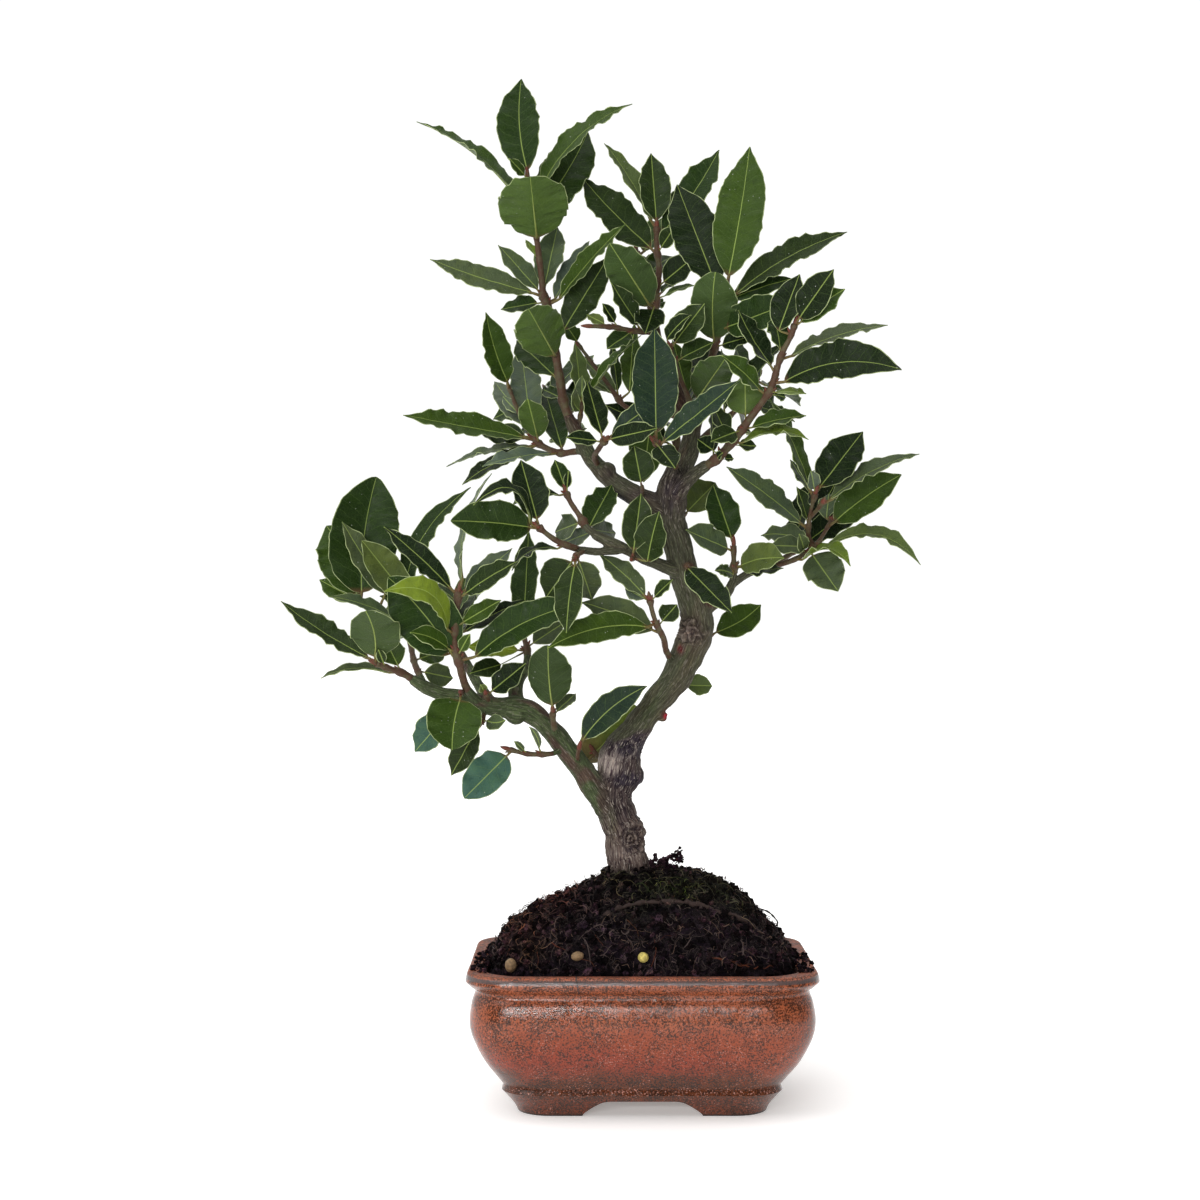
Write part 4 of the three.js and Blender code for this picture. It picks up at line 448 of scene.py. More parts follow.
-104.5 209 -138 220.5 5 -18 58 0.05 dusty 0.75
-105 213 -75.5 269 8 12 45 0.13 deep 0.75
spray_red_shoot mid 10.5 2.2 1.2
twig -71 173.5 -19, -77 180 -25.5, -80 190 -30, -82 198 -31.5, -82 208 -33, -81 218 -34.5, -80.5 222.5 -34.5
-81.5 191 -111.5 229 24 -4.5 8 0.04 deep 0.52
-83 204 -113 223 8 -18 42 0.23 lime 0.65
-73 194 -26 217.5 14 -9 22 0.07 deep 0.65
-83 205 -97 214 8 6 20 0 deep 0.65
-82.5 195.5 -102 204.5 7 -12 40 0.08 mid 0.65
-80 207 -62 219 7 -6 30 0 mid 0.7
-79 221 -57 242 8 12 35 0 pale 0.7
-79 220 -55 236 9 -12 30 0.02 shade 0.7
-78 205 -50 219 6 12 45 0.03 old 0.75
-80.5 194 -75.5 204 5 -9 10 0 mid 0.6
-82 222 -66 275 3.5 3 66 0.1 pale 0.8
-81.5 218 -91 226 6 12 20 0 dusty 0.65
-83 221 -113.5 251.5 8 6 35 0.02 old 0.75
spray_back_up old 3 2.2 1.1
twig 14 266 32, 15 278 41, 16 291 48, 16 306 53, 14 320 56
within 14 306 34 34 9
spray_back_left deep 3 1.9 1
twig -26.4 293 30, -31 299 43, -37 305 56, -42 312 67
within -40 306 29 32 8
spray_back_low mid 3 1.9 1
twig -76.2 190 14.5, -82 200 23, -88 208 32, -92 216 38
within -88 212 30 26 8
spray_back_right deep 8.8 1.8 1
twig 22 286 4, 30 293 15, 40 301 27, 47 309 37, 52 318 44
within 46 312 27 28 7
spray_back_end old 4.5 1.6 1
twig 55 233.3 10, 64 238 21, 74 245 31, 82 253 40
within 84 257 24 22 6
spray_back_top mid 8.2 1.7 1
twig 11 321 13, 8 334 28, 4 348 37, 1 362 43, -2 374 48
within 0 376 27 30 6
"""

# Fertiliser pellets on the soil: x, z and depth y of the middle, half-lengths, turn about z
PELLETS = [
    {"name": "pellet_yellow", "tone": "yellow",
     "at": [1, 60.9, -44.6], "size": [2.3, 2.3, 2.3], "turn": 0},
    {"name": "pellet_brown_middle", "tone": "brown",
     "at": [-28, 61.6, -44.6], "size": [2.9, 2, 2], "turn": 0.5},
    {"name": "pellet_brown_left", "tone": "brown",
     "at": [-57.6, 57.6, -44], "size": [2.4, 2.1, 3], "turn": 0.3},
]

# Old knots with a swirl of callus, as seen: x, z, radius, waver of its rings
SWIRLS = [(-4.5, 113.5, 6, 2.4), (21.7, 205.2, 5.5, 5)]

# A dead mossy sprig right of the trunk: its twigs from end to end
SPRIG = [
    [(3, 97, -6), (9, 103.5, -7)], [(9, 103.5, -7), (14.5, 105.5, -7)], [(8, 101, -7), (13, 101, -8)],
    [(14.5, 105.5, -7), (18.4, 108.6, -6)], [(14.5, 105.5, -7), (19, 104.2, -8)],
    [(5, 102, -6), (6, 106, -5)], [(6, 100, -9), (12, 103, -9)], [(9, 99, -6), (16, 102, -6)],
]

# Colours of stalks, leaf bases, ribs, twigs and buds, linear
PETIOLE = (0.105, 0.04, 0.018)
FLUSH = (0.11, 0.055, 0.03)
RIB = (0.26, 0.33, 0.08)
TWIG = (0.068, 0.034, 0.019)
BUD = (0.13, 0.035, 0.022)

# Bark colours, linear
BARK_COLOURS = {
    "green_grey": (0.076, 0.08, 0.047),
    "green": (0.062, 0.09, 0.034),
    "brown": (0.086, 0.058, 0.04),
    "grey_brown": (0.069, 0.049, 0.045),
    "purple": (0.034, 0.025, 0.036),
    "tan": (0.125, 0.09, 0.072),
    "pale": (0.36, 0.31, 0.27),
    "red_brown": (0.065, 0.03, 0.022),
    "bud_red": (0.32, 0.014, 0.03),
    "scar": (0.12, 0.014, 0.016),
    # Near black: the cut wounds, and the painted shade where the trunk goes into the soil.
    "wound": (0.01, 0.008, 0.007),
}

# Reading the tables

def numbers(words):
    return [float(word) for word in words]


def rows_of(line):
    """The points of a line, commas between them."""
    return [numbers(part.split()) for part in line.strip(",").split(",")]


def read_limbs(table):
    limbs = []
    for line in table.strip().splitlines():
        if line[0].isalpha():
            _, sides, step = line.split()
            limbs.append({"sides": int(sides), "step": int(step), "points": []})
        else:
            limbs[-1]["points"] += rows_of(line)
    return limbs


def read_shoots(table):
    shoots = []
    for line in table.strip().splitlines():
        word, *rest = line.split()
        if word == "twig":
            shoots[-1]["twigs"].append(rows_of(line[5:]))
        elif word == "within":
            shoots[-1]["within"] = numbers(rest[:4])
            shoots[-1]["count"] = int(rest[4])
        elif word[0].isalpha():
            stub, *radii = numbers(rest[1:])
            shoots.append({"name": word, "tone": rest[0], "stub": stub, "radii": radii})
            shoots[-1] |= {"twigs": [], "leaves": []}
        elif "," in line:
            shoots[-1]["twigs"][-1] += rows_of(line)
        else:
            *values, roundness = numbers([word, *rest[:7], rest[8]])
            shoots[-1]["leaves"].append([*values, rest[7], roundness])
    return shoots


# Small seeded draws, the same on every run

WORD = 0xFFFFFFFF


def dice(seed):
    """Returns a function that draws numbers from 0 to 1."""
    state = seed & WORD

    def draw():
        nonlocal state
        state = (state + 0x6D2B79F5) & WORD
        mixed = ((state ^ (state >> 15)) * (state | 1)) & WORD
        mixed ^= (mixed + (((mixed ^ (mixed >> 7)) * (mixed | 61)) & WORD)) & WORD
        return ((mixed ^ (mixed >> 14)) & WORD) / (WORD + 1)

    return draw


def scatter(draw):
    """A random offset, up to a half each way."""
    return np.array([draw() - 0.5 for _ in range(3)])


# Points, paths and tubes

def unit(v):
    return v / max(1e-12, float(np.linalg.norm(v)))


def units(v):
    return v / np.maximum(1e-12, np.linalg.norm(v, axis=-1, keepdims=True))


def seen(x, z, y):
    """The point at depth y that is seen at x, z from the eye."""
    k = (EYE_DISTANCE + y) / EYE_DISTANCE
    return np.array([EYE_X + (x - EYE_X) * k, y, EYE_HEIGHT + (z - EYE_HEIGHT) * k])


def seen_at(points):
    """Where points are seen on the plane y = 0: x and z."""
    k = EYE_DISTANCE / (EYE_DISTANCE + points[..., 1])
    return EYE_X + (points[..., 0] - EYE_X) * k, EYE_HEIGHT + (points[..., 2] - EYE_HEIGHT) * k


def curve_weights(t):
    """How much of each of four points a smooth curve takes between the middle two."""
    first, second = -0.5 * t + t * t - 0.5 * t**3, 1 - 2.5 * t * t + 1.5 * t**3
    return first, second, 0.5 * t + 2 * t * t - 1.5 * t**3, -0.5 * t * t + 0.5 * t**3


def smooth_path(points, radii, step):
    """A smooth path through points, with its radii, sampled about every step."""
    at, radius = [], []
    last = len(points) - 1
    for i in range(last):
        four = [points[max(0, i - 1)], points[i], points[i + 1], points[min(last, i + 2)]]
        pieces = max(1, math.floor(np.linalg.norm(four[2] - four[1]) / step + 0.5))
        for k in range(pieces):
            t = k / pieces
            at.append(sum(w * p for w, p in zip(curve_weights(t), four)))
            radius.append(radii[i] + (radii[i + 1] - radii[i]) * t)
    return np.array([*at, points[last]]), np.array([*radius, radii[last]])


def path_of(points, radii, step):
    """The path of a limb, whose points carry radii, or of a twig, which tapers evenly."""
    count = len(points)
    at = [seen(p[0], p[1], p[2]) for p in points]
    if radii:
        widths = [radii[0] + (radii[1] - radii[0]) * i / (count - 1) for i in range(count)]
    else:
        widths = [p[3] for p in points]
    return smooth_path(at, widths, step)


def cut_path(path, length, gap):
    """The pieces of a path before and after a cut at the given length; points hard by it are left out."""
    at, radius = path
    run = runs_of(at)
    if length + gap > run[-1]:
        raise ValueError("the stub is longer than its twig")

    def end_at(target, side):
        """The point at a length, with its radius, and which points lie clear of it on a side."""
        end = np.array([np.interp(target, run, axis) for axis in at.T])
        clear = (side * (run - target) >= 0) & (np.linalg.norm(at - end, axis=1) > CUT_MARGIN)
        return end, np.interp(target, run, radius), clear

    near, near_radius, before = end_at(length, -1)
    far, far_radius, after = end_at(length + gap, 1)
    return (
        (np.array([*at[before], near]), np.array([*radius[before], near_radius])),
        (np.array([far, *at[after]]), np.array([far_radius, *radius[after]])),
    )


def closed_faces(rows, sides):
    """Faces of a body of rings, with one more point for each end after them."""
    faces = grid_faces(rows, sides, wrap=True)
    first, last, end = rows * sides, rows * sides + 1, (rows - 1) * sides
    for k in range(sides):
        j = (k + 1) % sides
        faces.append((first, j, k))
        faces.append((last, end + k, end + j))
    return faces


def runs_of(path):
    """How far along a path each of its points is."""
    return np.concatenate([[0], np.cumsum(np.linalg.norm(np.diff(path, axis=0), axis=1))])


def axes_of(path):
    """Directions along a path, and square to it, which turn round it as little as they can."""
    along = units(np.gradient(path, axis=0))
    side = np.array([0.31, 0.87, 0.19])
    sides = []
    for way in along:
        side = unit(side - way * side.dot(way))
        sides.append(side)
    return along, np.array(sides)


def tube(at, radius, sides):
    """Points and faces of a tube round a path."""
    along, side = axes_of(at)
    angles = (2 * math.pi * np.arange(sides) / sides)[:, None]
    rings = np.cos(angles) * side[:, None] + np.sin(angles) * np.cross(along, side)[:, None]
    points = (at[:, None] + radius[:, None, None] * rings).reshape(-1, 3)
    return np.concatenate([points, at[:1], at[-1:]]), closed_faces(len(at), sides)


def grid_faces(rows, columns, wrap=False, flip=False, offset=0):
    """Four-sided faces between rows of points; wrap joins the last column to the first."""
    spots = offset + np.arange(rows * columns).reshape(rows, columns)
    if wrap:
        spots = np.c_[spots, spots[:, :1]]
    corners = [spots[:-1, :-1], spots[:-1, 1:], spots[1:, 1:], spots[1:, :-1]]
    return np.stack(corners[::-1] if flip else corners, -1).reshape(-1, 4).tolist()


def ball(middle, half_sizes, rings=8, sides=12, axis=None):
    """Points and faces of an egg-shaped body, its long axis along the given direction."""
    axis = unit(np.array([0, 0, 1.0] if axis is None else axis))
    helper = np.array([0, 1.0, 0]) if abs(axis[1]) < 0.9 else np.array([1.0, 0, 0])
    side = unit(np.cross(helper, axis))
    axes = np.array([side, np.cross(axis, side), axis]) * np.reshape(half_sizes, (3, 1))
    lift = math.pi * np.arange(1, rings)[:, None] / rings
    turn = 2 * math.pi * np.arange(sides) / sides
    ring = np.sin(lift) * np.cos(turn), np.sin(lift) * np.sin(turn), -np.cos(lift) + 0 * turn
    points = np.concatenate([np.stack(ring, -1).reshape(-1, 3), [(0, 0, -1), (0, 0, 1)]])
    return points @ axes + middle, closed_faces(rings - 1, sides)


def rumple(points, scale, height, seed):
    """Heights of a smooth noise at each point: scale is the size of its lumps in millimetres."""
    shift = Vector((seed * 7.3, seed * 3.1, seed * 5.7))
    return height * np.array([noise.noise(Vector(p) / scale + shift) for p in points])


def set_tint(mesh, colours):
    """Gives each point of a mesh its own colour."""
    tint = mesh.attributes.new("tint", "FLOAT_COLOR", "POINT")
    tint.data.foreach_set("color", np.c_[colours, np.ones(len(colours))].astype(np.float32).ravel())


def set_values(mesh, name, values):
    """Gives each point of a mesh a number or a vector, under a name that materials read."""
    values = np.asarray(values, np.float32)
    kind, key = ("FLOAT", "value") if values.ndim == 1 else ("FLOAT_VECTOR", "vector")
    mesh.attributes.new(name, kind, "POINT").data.foreach_set(key, values.ravel())


class Stock:
    """Points and faces gathered for one mesh, with a tint for each point."""

    def __init__(self):
        self.points, self.faces, self.slots = [], [], []
        self.tints, self.marks, self.unders, self.insets = [], [], [], []
        self.count = 0

    def add(self, points, faces, slot=0, tint=(1, 1, 1), mark=(0, 0), under=0, inset=FAR_INSET):
        """Adds a body. Each point of a blade has a mark, its place along and across the blade, whether it
        is on the underside, and an inset, its distance from the edge."""
        amount = len(points)
        self.points.append(points)
        self.faces += [tuple(self.count + i for i in face) for face in faces]
        self.slots += [slot] * len(faces)
        self.tints.append(np.broadcast_to(tint, (amount, 3)))
        self.marks.append(np.broadcast_to(mark, (amount, 2)))
        self.unders.append(np.broadcast_to(under, amount))
        self.insets.append(np.broadcast_to(inset, amount))
        self.count += amount

    def piece(self, name, materials, smooth=True):
        """Makes the object, in metres of the row frame, with what its materials read at each point."""
        points = np.concatenate(self.points) * MM + POT_MIDDLE
        mesh = bpy.data.meshes.new(name)
        mesh.from_pydata(points.tolist(), [], self.faces)
        for material in materials:
            mesh.materials.append(material)
        mesh.polygons.foreach_set("material_index", self.slots)
        mesh.polygons.foreach_set("use_smooth", [smooth] * len(self.faces))
        set_tint(mesh, np.concatenate(self.tints))
        set_values(mesh, "under", np.concatenate(self.unders))
        set_values(mesh, "inset", np.concatenate(self.insets))
        corners = np.zeros(len(mesh.loops), np.int32)
        mesh.loops.foreach_get("vertex_index", corners)
        layer = mesh.uv_layers.new(name="blade")
        layer.data.foreach_set("uv", np.concatenate(self.marks)[corners].astype(np.float32).ravel())
        mesh.update()
        return in_scene(name, mesh)


def in_scene(name, data):
    """A new object in the scene."""
    made = bpy.data.objects.new(name, data)
    bpy.context.scene.collection.objects.link(made)
    return made


# Where wood, twigs and leaves are

# How a leaf may swing clear of its neighbours, tried in this order: depth of the tip, turn, bend
SWINGS = [
    (0, 0, 0), (-4, 0, 0), (4, 0, 0), (-8, 8, 0), (8, -8, 0), (-12, 0, 0), (12, 0, 0), (-6, 14, 0.03),
    (6, -14, -0.03), (-17, 0, 0), (17, 0, 0), (-12, 16, 0.03), (12, -16, -0.03), (-22, 8, 0), (22, -8, 0),
    (-28, 0, 0.03), (28, 0, -0.03), (-34, 10, 0), (34, -10, 0), (-40, 0, 0), (40, 0, 0),
]


class Blade:
    """A leaf as a surface of u, from base to tip, and v, from side to side."""

    def __init__(self, start, base, tip, width, turn, bend, roundness, seeds):
        self.start, self.base = start, base
        self.width, self.bend, self.roundness = width, bend, roundness
        self.length = float(np.linalg.norm(tip - base))
        self.along = (tip - base) / self.length
        rise = unit(np.array([-self.along[2], 0, self.along[0]]))
        if rise[2] < 0:
            rise = -rise
        self.rise = unit(rise - self.along * rise.dot(self.along))
        front = unit(np.cross(self.rise, self.along))
        if front[1] > 0:
            front = -front
        angle = math.radians(turn)
        self.normal = front * math.cos(angle) + self.rise * math.sin(angle)
        self.sag = (0.03 + 0.06 * seeds[0]) * math.cos(angle) ** 2
        self.fold = 0.16 + 0.22 * seeds[1]
        self.wave = (0.045 + 0.035 * seeds[2]) * width
        self.waves = 2.1 + 1.1 * seeds[3]
        self.phases = (2 * math.pi * seeds[4], 2 * math.pi * seeds[5])
        self.twist = (seeds[6] - 0.5) * 0.5

    def middle(self, u):
        """The midrib's points."""
        u = u[:, None]
        lift = 4 * self.bend * self.length * u * (1 - u)
        drop = self.sag * self.length * (0.35 * u - u * u * (1.6 - u))
        return self.base + self.along * u * self.length + self.rise * lift + self.normal * drop

    def half(self, u):
        """Half of the blade's width."""
        swell = np.sin(math.pi * u**0.86).clip(0) ** (FULLNESS * self.roundness)
        return np.maximum(0.55, 0.5 * self.width * swell)

    def axes(self, u):
        """Directions across the blade and up from it."""
        tangent = units(self.middle(np.minimum(1, u + 0.02)) - self.middle(np.maximum(0, u - 0.02)))
        swing = (self.twist * u)[:, None]
        turned = (
            self.normal * np.cos(swing)
            + np.cross(self.along, self.normal) * np.sin(swing)
            + self.along * self.along.dot(self.normal) * (1 - np.cos(swing))
        )
        across = units(np.cross(tangent, turned))
        return across, units(np.cross(across, tangent))

    def surface(self, u, v, reach=None):
        """A grid of points, rows of u by columns of v."""
        across, up = self.axes(u)
        reach = self.half(u) if reach is None else reach
        phase = np.where(v < 0, *self.phases)
        wave = self.wave * np.sin(2 * math.pi * self.waves * u[:, None] + phase)
        swell = wave * np.sin(math.pi * u)[:, None]
        side = (v * reach[:, None] * math.cos(self.fold))[..., None]
        lift = (abs(v) * reach[:, None] * math.sin(self.fold) + v * v * swell)[..., None]
        return self.middle(u)[:, None] + across[:, None] * side + up[:, None] * lift

    def samples(self, start=0):
        """A coarse grid of the blade's points, from a share of its length onwards."""
        rows = max(3, math.ceil(self.length / SAMPLE_STEP))
        columns = max(2, 2 * math.ceil(self.width / 2 / SAMPLE_STEP))
        u = np.arange(rows + 1) / rows
        return self.surface(u[u >= start], 2 * np.arange(columns + 1) / columns - 1).reshape(-1, 3)


class Crown:
    """Places every twig and leaf, each leaf bent clear of the wood and of the leaves before it."""

    def __init__(self):
        self.capsules = []
        self.placed = []
        self.limbs = []
        self.stubs = []
        self.shoots = []
        for limb in read_limbs(LIMBS):
            at, radius = path_of(limb["points"], None, 2)
            kept = self.thinned(at, limb["step"])
            self.limbs.append((at, radius))
            wide = radius[kept] / math.sqrt(math.cos(math.pi / limb["sides"]))
            self.add_capsules(at[kept], wide, "wood")
        for spray in read_shoots(SHOOTS):
            self.add_shoot(spray)
        for index, shoot in enumerate(self.shoots):
            shoot["blades"] = self.leaves_of(shoot, dice(PLACING_SEED + index))

    def thinned(self, at, step):
        """Indices of a path's points that are at least a step apart."""
        kept = [0]
        for i in range(1, len(at) - 1):
            behind = np.linalg.norm(at[i] - at[kept[-1]])
            ahead = np.linalg.norm(at[i] - at[-1])
            if behind > step and ahead > 0.6 * step:
                kept.append(i)
        return [*kept, len(at) - 1]

    def add_capsules(self, at, radius, owner):
        """Notes a path as straight round-ended rods, which leaves keep clear of."""
        for i in range(len(at) - 1):
            self.capsules.append((at[i], at[i + 1], max(radius[i], radius[i + 1]), owner))

    def add_shoot(self, spray):
        """Notes a shoot's twigs, cut off the stub that stays on the wood."""
        side_radii = [spray["radii"][1] + 0.2, spray["radii"][1] - 0.1]
        coarse, fine = [], []
        for i, twig in enumerate(spray["twigs"]):
            radii = side_radii if i else spray["radii"]
            coarse.append(path_of(twig, radii, 12))
            fine.append(path_of(twig, radii, 1))
        stub, coarse[0] = cut_path(coarse[0], spray["stub"], JOINT_GAP)
        fine_stub, rest = cut_path(fine[0], spray["stub"], JOINT_GAP)
        self.stubs.append(fine_stub)
        shown = [rest, *fine[1:]]
        fine[0] = cut_path(fine[0], spray["stub"] + ROOT_SHIFT, JOINT_GAP)[1]
        self.add_capsules(*stub, "wood")
        for path in coarse:
            self.add_capsules(*path, spray["name"])
        self.shoots.append({"spray": spray, "fine": fine, "shown": shown})

    def leaves_of(self, shoot, draw):
        """The blades of a shoot that find a clear place."""
        spray = shoot["spray"]
        if spray["leaves"]:
            found = [self.seen_leaf(spray, shoot["fine"], row, draw) for row in spray["leaves"]]
        else:
            found = [self.far_leaf(spray, shoot["fine"][0], i, draw) for i in range(spray["count"])]
        return [blade for blade in found if blade]

    def seen_leaf(self, spray, paths, row, draw):
        """A leaf of the table, swung aside until it is clear."""
        base_x, base_z, tip_x, tip_z, width, depth, turn, bend, tone, roundness = row
        root, thick = self.nearest(paths, base_x, base_z)
        seeds = [draw() for _ in range(7)]
        for swing_depth, swing_turn, swing_bend in SWINGS:
            tip = seen(tip_x, tip_z, root[1] + depth + swing_depth)
            base = seen(base_x, base_z, root[1] + 0.1 * (depth + swing_depth))
            if np.linalg.norm(base - root) < thick + 1.5:
                way = tip - root
                base = root + unit(way) * (thick + 1.5 + 0.04 * np.linalg.norm(way))
            face = turn + swing_turn
            true_width = WIDENING * width / max(0.34, abs(math.cos(math.radians(face))))
            blade = Blade(root, base, tip, true_width, face, bend + swing_bend, roundness, seeds)
            if self.is_clear(blade, spray["name"]):
                return self.keep(blade, spray["name"], tone)
        return None

    def far_leaf(self, spray, path, index, draw):
        """A leaf set round a twig of the far side by the golden angle, inside the shoot's ellipse."""
        at, radius = path
        middle_x, middle_z, half_x, half_z = spray["within"]
        ahead = unit(at[-1] - at[0])
        side = unit(np.cross([0, 0, 1], ahead))
        up = np.cross(ahead, side)
        for attempt in range(40):
            share = 0.3 + 0.7 * (index + 0.6 * draw()) / spray["count"]
            place = min(len(at) - 1, math.floor(share * (len(at) - 1) + 0.5))
            spin = GOLDEN_ANGLE * index + 1.4 * (draw() - 0.5) + 0.5 * attempt
            lean = 0.75 + 0.45 * draw()
            away = side * math.cos(spin) + up * math.sin(spin)
            way = unit(ahead * math.cos(lean) + away * math.sin(lean))
            length = (34 + 20 * draw()) * (1 - 0.009 * attempt)
            base = at[place] + way * (radius[place] + 3.5)
            tip = at[place] + way * length
            face = 25 + 60 * draw()
            seeds = [draw() for _ in range(7)]
            width = 0.36 * length + 3 * draw()
            blade = Blade(at[place], base, tip, width, face, 0.04, 0.62, seeds)
            x, z = seen_at(blade.samples())
            inside = (((x - middle_x) / half_x) ** 2 + ((z - middle_z) / half_z) ** 2 < 1).all()
            if inside and self.is_clear(blade, spray["name"]):
                return self.keep(blade, spray["name"], spray["tone"])
        return None

    def keep(self, blade, owner, tone):
        """Notes a blade's samples, so that later leaves keep clear of it."""
        points = blade.samples()
        box = (points.min(0) - LEAF_CLEARANCE, points.max(0) + LEAF_CLEARANCE)
        self.placed.append((owner, points, blade.samples(0.3), box))
        blade.tone = tone
        return blade

    def nearest(self, paths, x, z):
        """The point of some paths that is seen nearest to x and z, with its radius."""
        best = None
        for at, radius in paths:
            at_x, at_z = seen_at(at)
            distance = np.hypot(at_x - x, at_z - z)
            i = int(distance.argmin())
            if best is None or distance[i] < best[0]:
                best = (distance[i], at[i], radius[i])
        return best[1], best[2]

    def is_clear(self, blade, owner):
        """Whether a blade keeps its distance from the wood, the twigs and the leaves placed so far."""
        points, later = blade.samples(), blade.samples(0.3)
        low, high = points.min(0), points.max(0)
        for a, b, radius, whose in self.capsules:
            room = radius + WOOD_CLEARANCE
            if (np.minimum(a, b) - room > high).any() or (np.maximum(a, b) + room < low).any():
                continue
            tested = later if whose == owner else points
            t = ((tested - a) @ (b - a) / (b - a).dot(b - a)).clip(0, 1)
            if (np.linalg.norm(tested - a - t[:, None] * (b - a), axis=1) < room).any():
                return False
        for whose, others, others_later, box in self.placed:
            if (box[0] > high).any() or (box[1] < low).any():
                continue
            same = whose == owner
            mine = later if same else points
            theirs = others_later if same else others
            limit = (0.8 if same else 1) * LEAF_CLEARANCE
            mine = mine[((mine >= box[0]) & (mine <= box[1])).all(1)]
            if len(mine) and (((mine[:, None] - theirs) ** 2).sum(2) < limit**2).any():
                return False
        return True


@functools.lru_cache(maxsize=1)
def crown():
    """The one crown, placed once."""
    return Crown()


# Finishes

class Nodes:
    """The nodes of a material or of the world, one short call for each node."""

    def __init__(self, owner, coordinates):
        owner.use_nodes = True
        self.tree = owner.node_tree
        self.coordinates = self.node("TexCoord", {}).outputs[coordinates]

    def plug(self, node, key, value):
        socket = node.inputs[key]
        if isinstance(value, bpy.types.NodeSocket):
            self.tree.links.new(value, socket)
        else:
            socket.default_value = value

    def node(self, kind, inputs, **settings):
        node = self.tree.nodes.new("ShaderNode" + kind)
        for key, value in settings.items():
            setattr(node, key, value)
        for key, value in inputs.items():
            self.plug(node, key, value)
        return node

    def attribute(self, name, output="Color"):
        return self.node("Attribute", {}, attribute_name=name).outputs[output]

    def multiplied(self, vector, factors):
        return self.node("VectorMath", {0: vector, 1: factors}, operation="MULTIPLY").outputs[0]

    def stretched(self, scale):
        """The coordinates in millimetres, divided by a size for each axis."""
        return self.multiplied(self.coordinates, [1 / (MM * s) for s in scale])

    def noise(self, size, detail=3, roughness=0.55, distortion=0, vector=None, scale=(1, 1, 1)):
        """Cloudy noise with lumps of about the given size in millimetres."""
        inputs = {
            "Vector": vector or self.stretched(scale),
            "Scale": 1 / size,
            "Detail": detail,
            "Roughness": roughness,
            "Distortion": distortion,
        }
        return self.node("TexNoise", inputs).outputs["Fac"]

    def cells(self, size, feature="F1"):
        """Distances in a pattern of cells of about the given size in millimetres."""
        inputs = {"Vector": self.stretched((1, 1, 1)), "Scale": 1 / size}
        return self.node("TexVoronoi", inputs, feature=feature).outputs["Distance"]

    def math(self, operation, a, b=0, clamp=False):
        inputs = {0: a} if operation in ("ABSOLUTE", "SINE") else {0: a, 1: b}
        return self.node("Math", inputs, operation=operation, use_clamp=clamp).outputs[0]

    def times(self, a, b):
        return self.math("MULTIPLY", a, b)

    def plus(self, a, b):
        return self.math("ADD", a, b)

    def minus(self, a, b):
        return self.math("SUBTRACT", a, b)

    def band(self, value, low, high, start=0, end=1):
        """Runs smoothly from start to end while the value goes from low to high."""
        inputs = {"Value": value, "From Min": low, "From Max": high, "To Min": start, "To Max": end}
        return self.node("MapRange", inputs, interpolation_type="SMOOTHSTEP").outputs["Result"]

    def mix(self, factor, a, b, blend="MIX"):
        """Mixes two colours."""
        inputs = {0: factor, 6: a, 7: b}
        return self.node("Mix", inputs, data_type="RGBA", blend_type=blend).outputs[2]

    def shaded(self, a, b):
        return self.mix(1, a, b, "MULTIPLY")

    def bump(self, height, strength, distance, normal=None):
        inputs = {"Height": height, "Strength": strength, "Distance": distance * MM}
        if normal:
            inputs["Normal"] = normal
        return self.node("Bump", inputs).outputs["Normal"]

    def axis(self, name, vector=None):
        return self.node("SeparateXYZ", {"Vector": vector or self.coordinates}).outputs[name]

    def place(self, name):
        """Millimetres along an axis from the middle of the pot's base."""
        return self.math("DIVIDE", self.minus(self.axis(name), POT_MIDDLE["XYZ".index(name)]), MM)


class Finish(Nodes):
    """A material, with the sockets of its shader."""

    def __init__(self, name, **sockets):
        self.material = bpy.data.materials.new(name)
        super().__init__(self.material, "Object")
        self.set(**sockets)

    def set(self, **sockets):
        for key, value in sockets.items():
            socket = key.replace("_", " ").title().replace("Ior", "IOR")
            self.plug(self.tree.nodes["Principled BSDF"], socket, value)

    def lay(self, amount, tone):
        """Lays a colour over the base colour by an amount from 0 to 1."""
        self.base = self.mix(amount, self.base, tone)

    def made(self, roughness, normal):
        """Plugs in the base colour, roughness and relief, and gives the material."""
        self.set(base_color=self.base, roughness=roughness, normal=normal)
        return self.material


def colour(value, strength=1):
    """A linear colour from a property or from red, green and blue as shown on a screen."""
    channels = [c / 12.92 if c <= 0.04045 else ((c + 0.055) / 1.055) ** 2.4 for c in value[:3]]
    return (*[c * strength for c in channels], 1)


# Pot

def rounded_ring(half_width, z, per_corner=16, per_side=16):
    """The pot's rounded rectangle at one height, counted from the right, turning towards the back."""
    half_depth = half_width - SIDE_DIFFERENCE
    radius = RIM_CORNER * half_width / (RIM_WIDTH / 2)
    angles = math.pi / 2 * np.arange(per_corner + 1) / per_corner
    arcs = []
    for quarter, (sx, sy) in enumerate([(1, 1), (-1, 1), (-1, -1), (1, -1)]):
        turn = angles + math.pi / 2 * quarter
        x = sx * (half_width - radius) + radius * np.cos(turn)
        y = sy * (half_depth - radius) + radius * np.sin(turn)
        arcs.append(np.c_[x, y, np.full(len(x), z)])
    steps = (np.arange(1, per_side) / per_side)[:, None]
    ring = []
    for arc, following in zip(arcs, arcs[1:] + arcs[:1]):
        ring += [arc, arc[-1] + (following[0] - arc[-1]) * steps]
    return np.concatenate(ring)


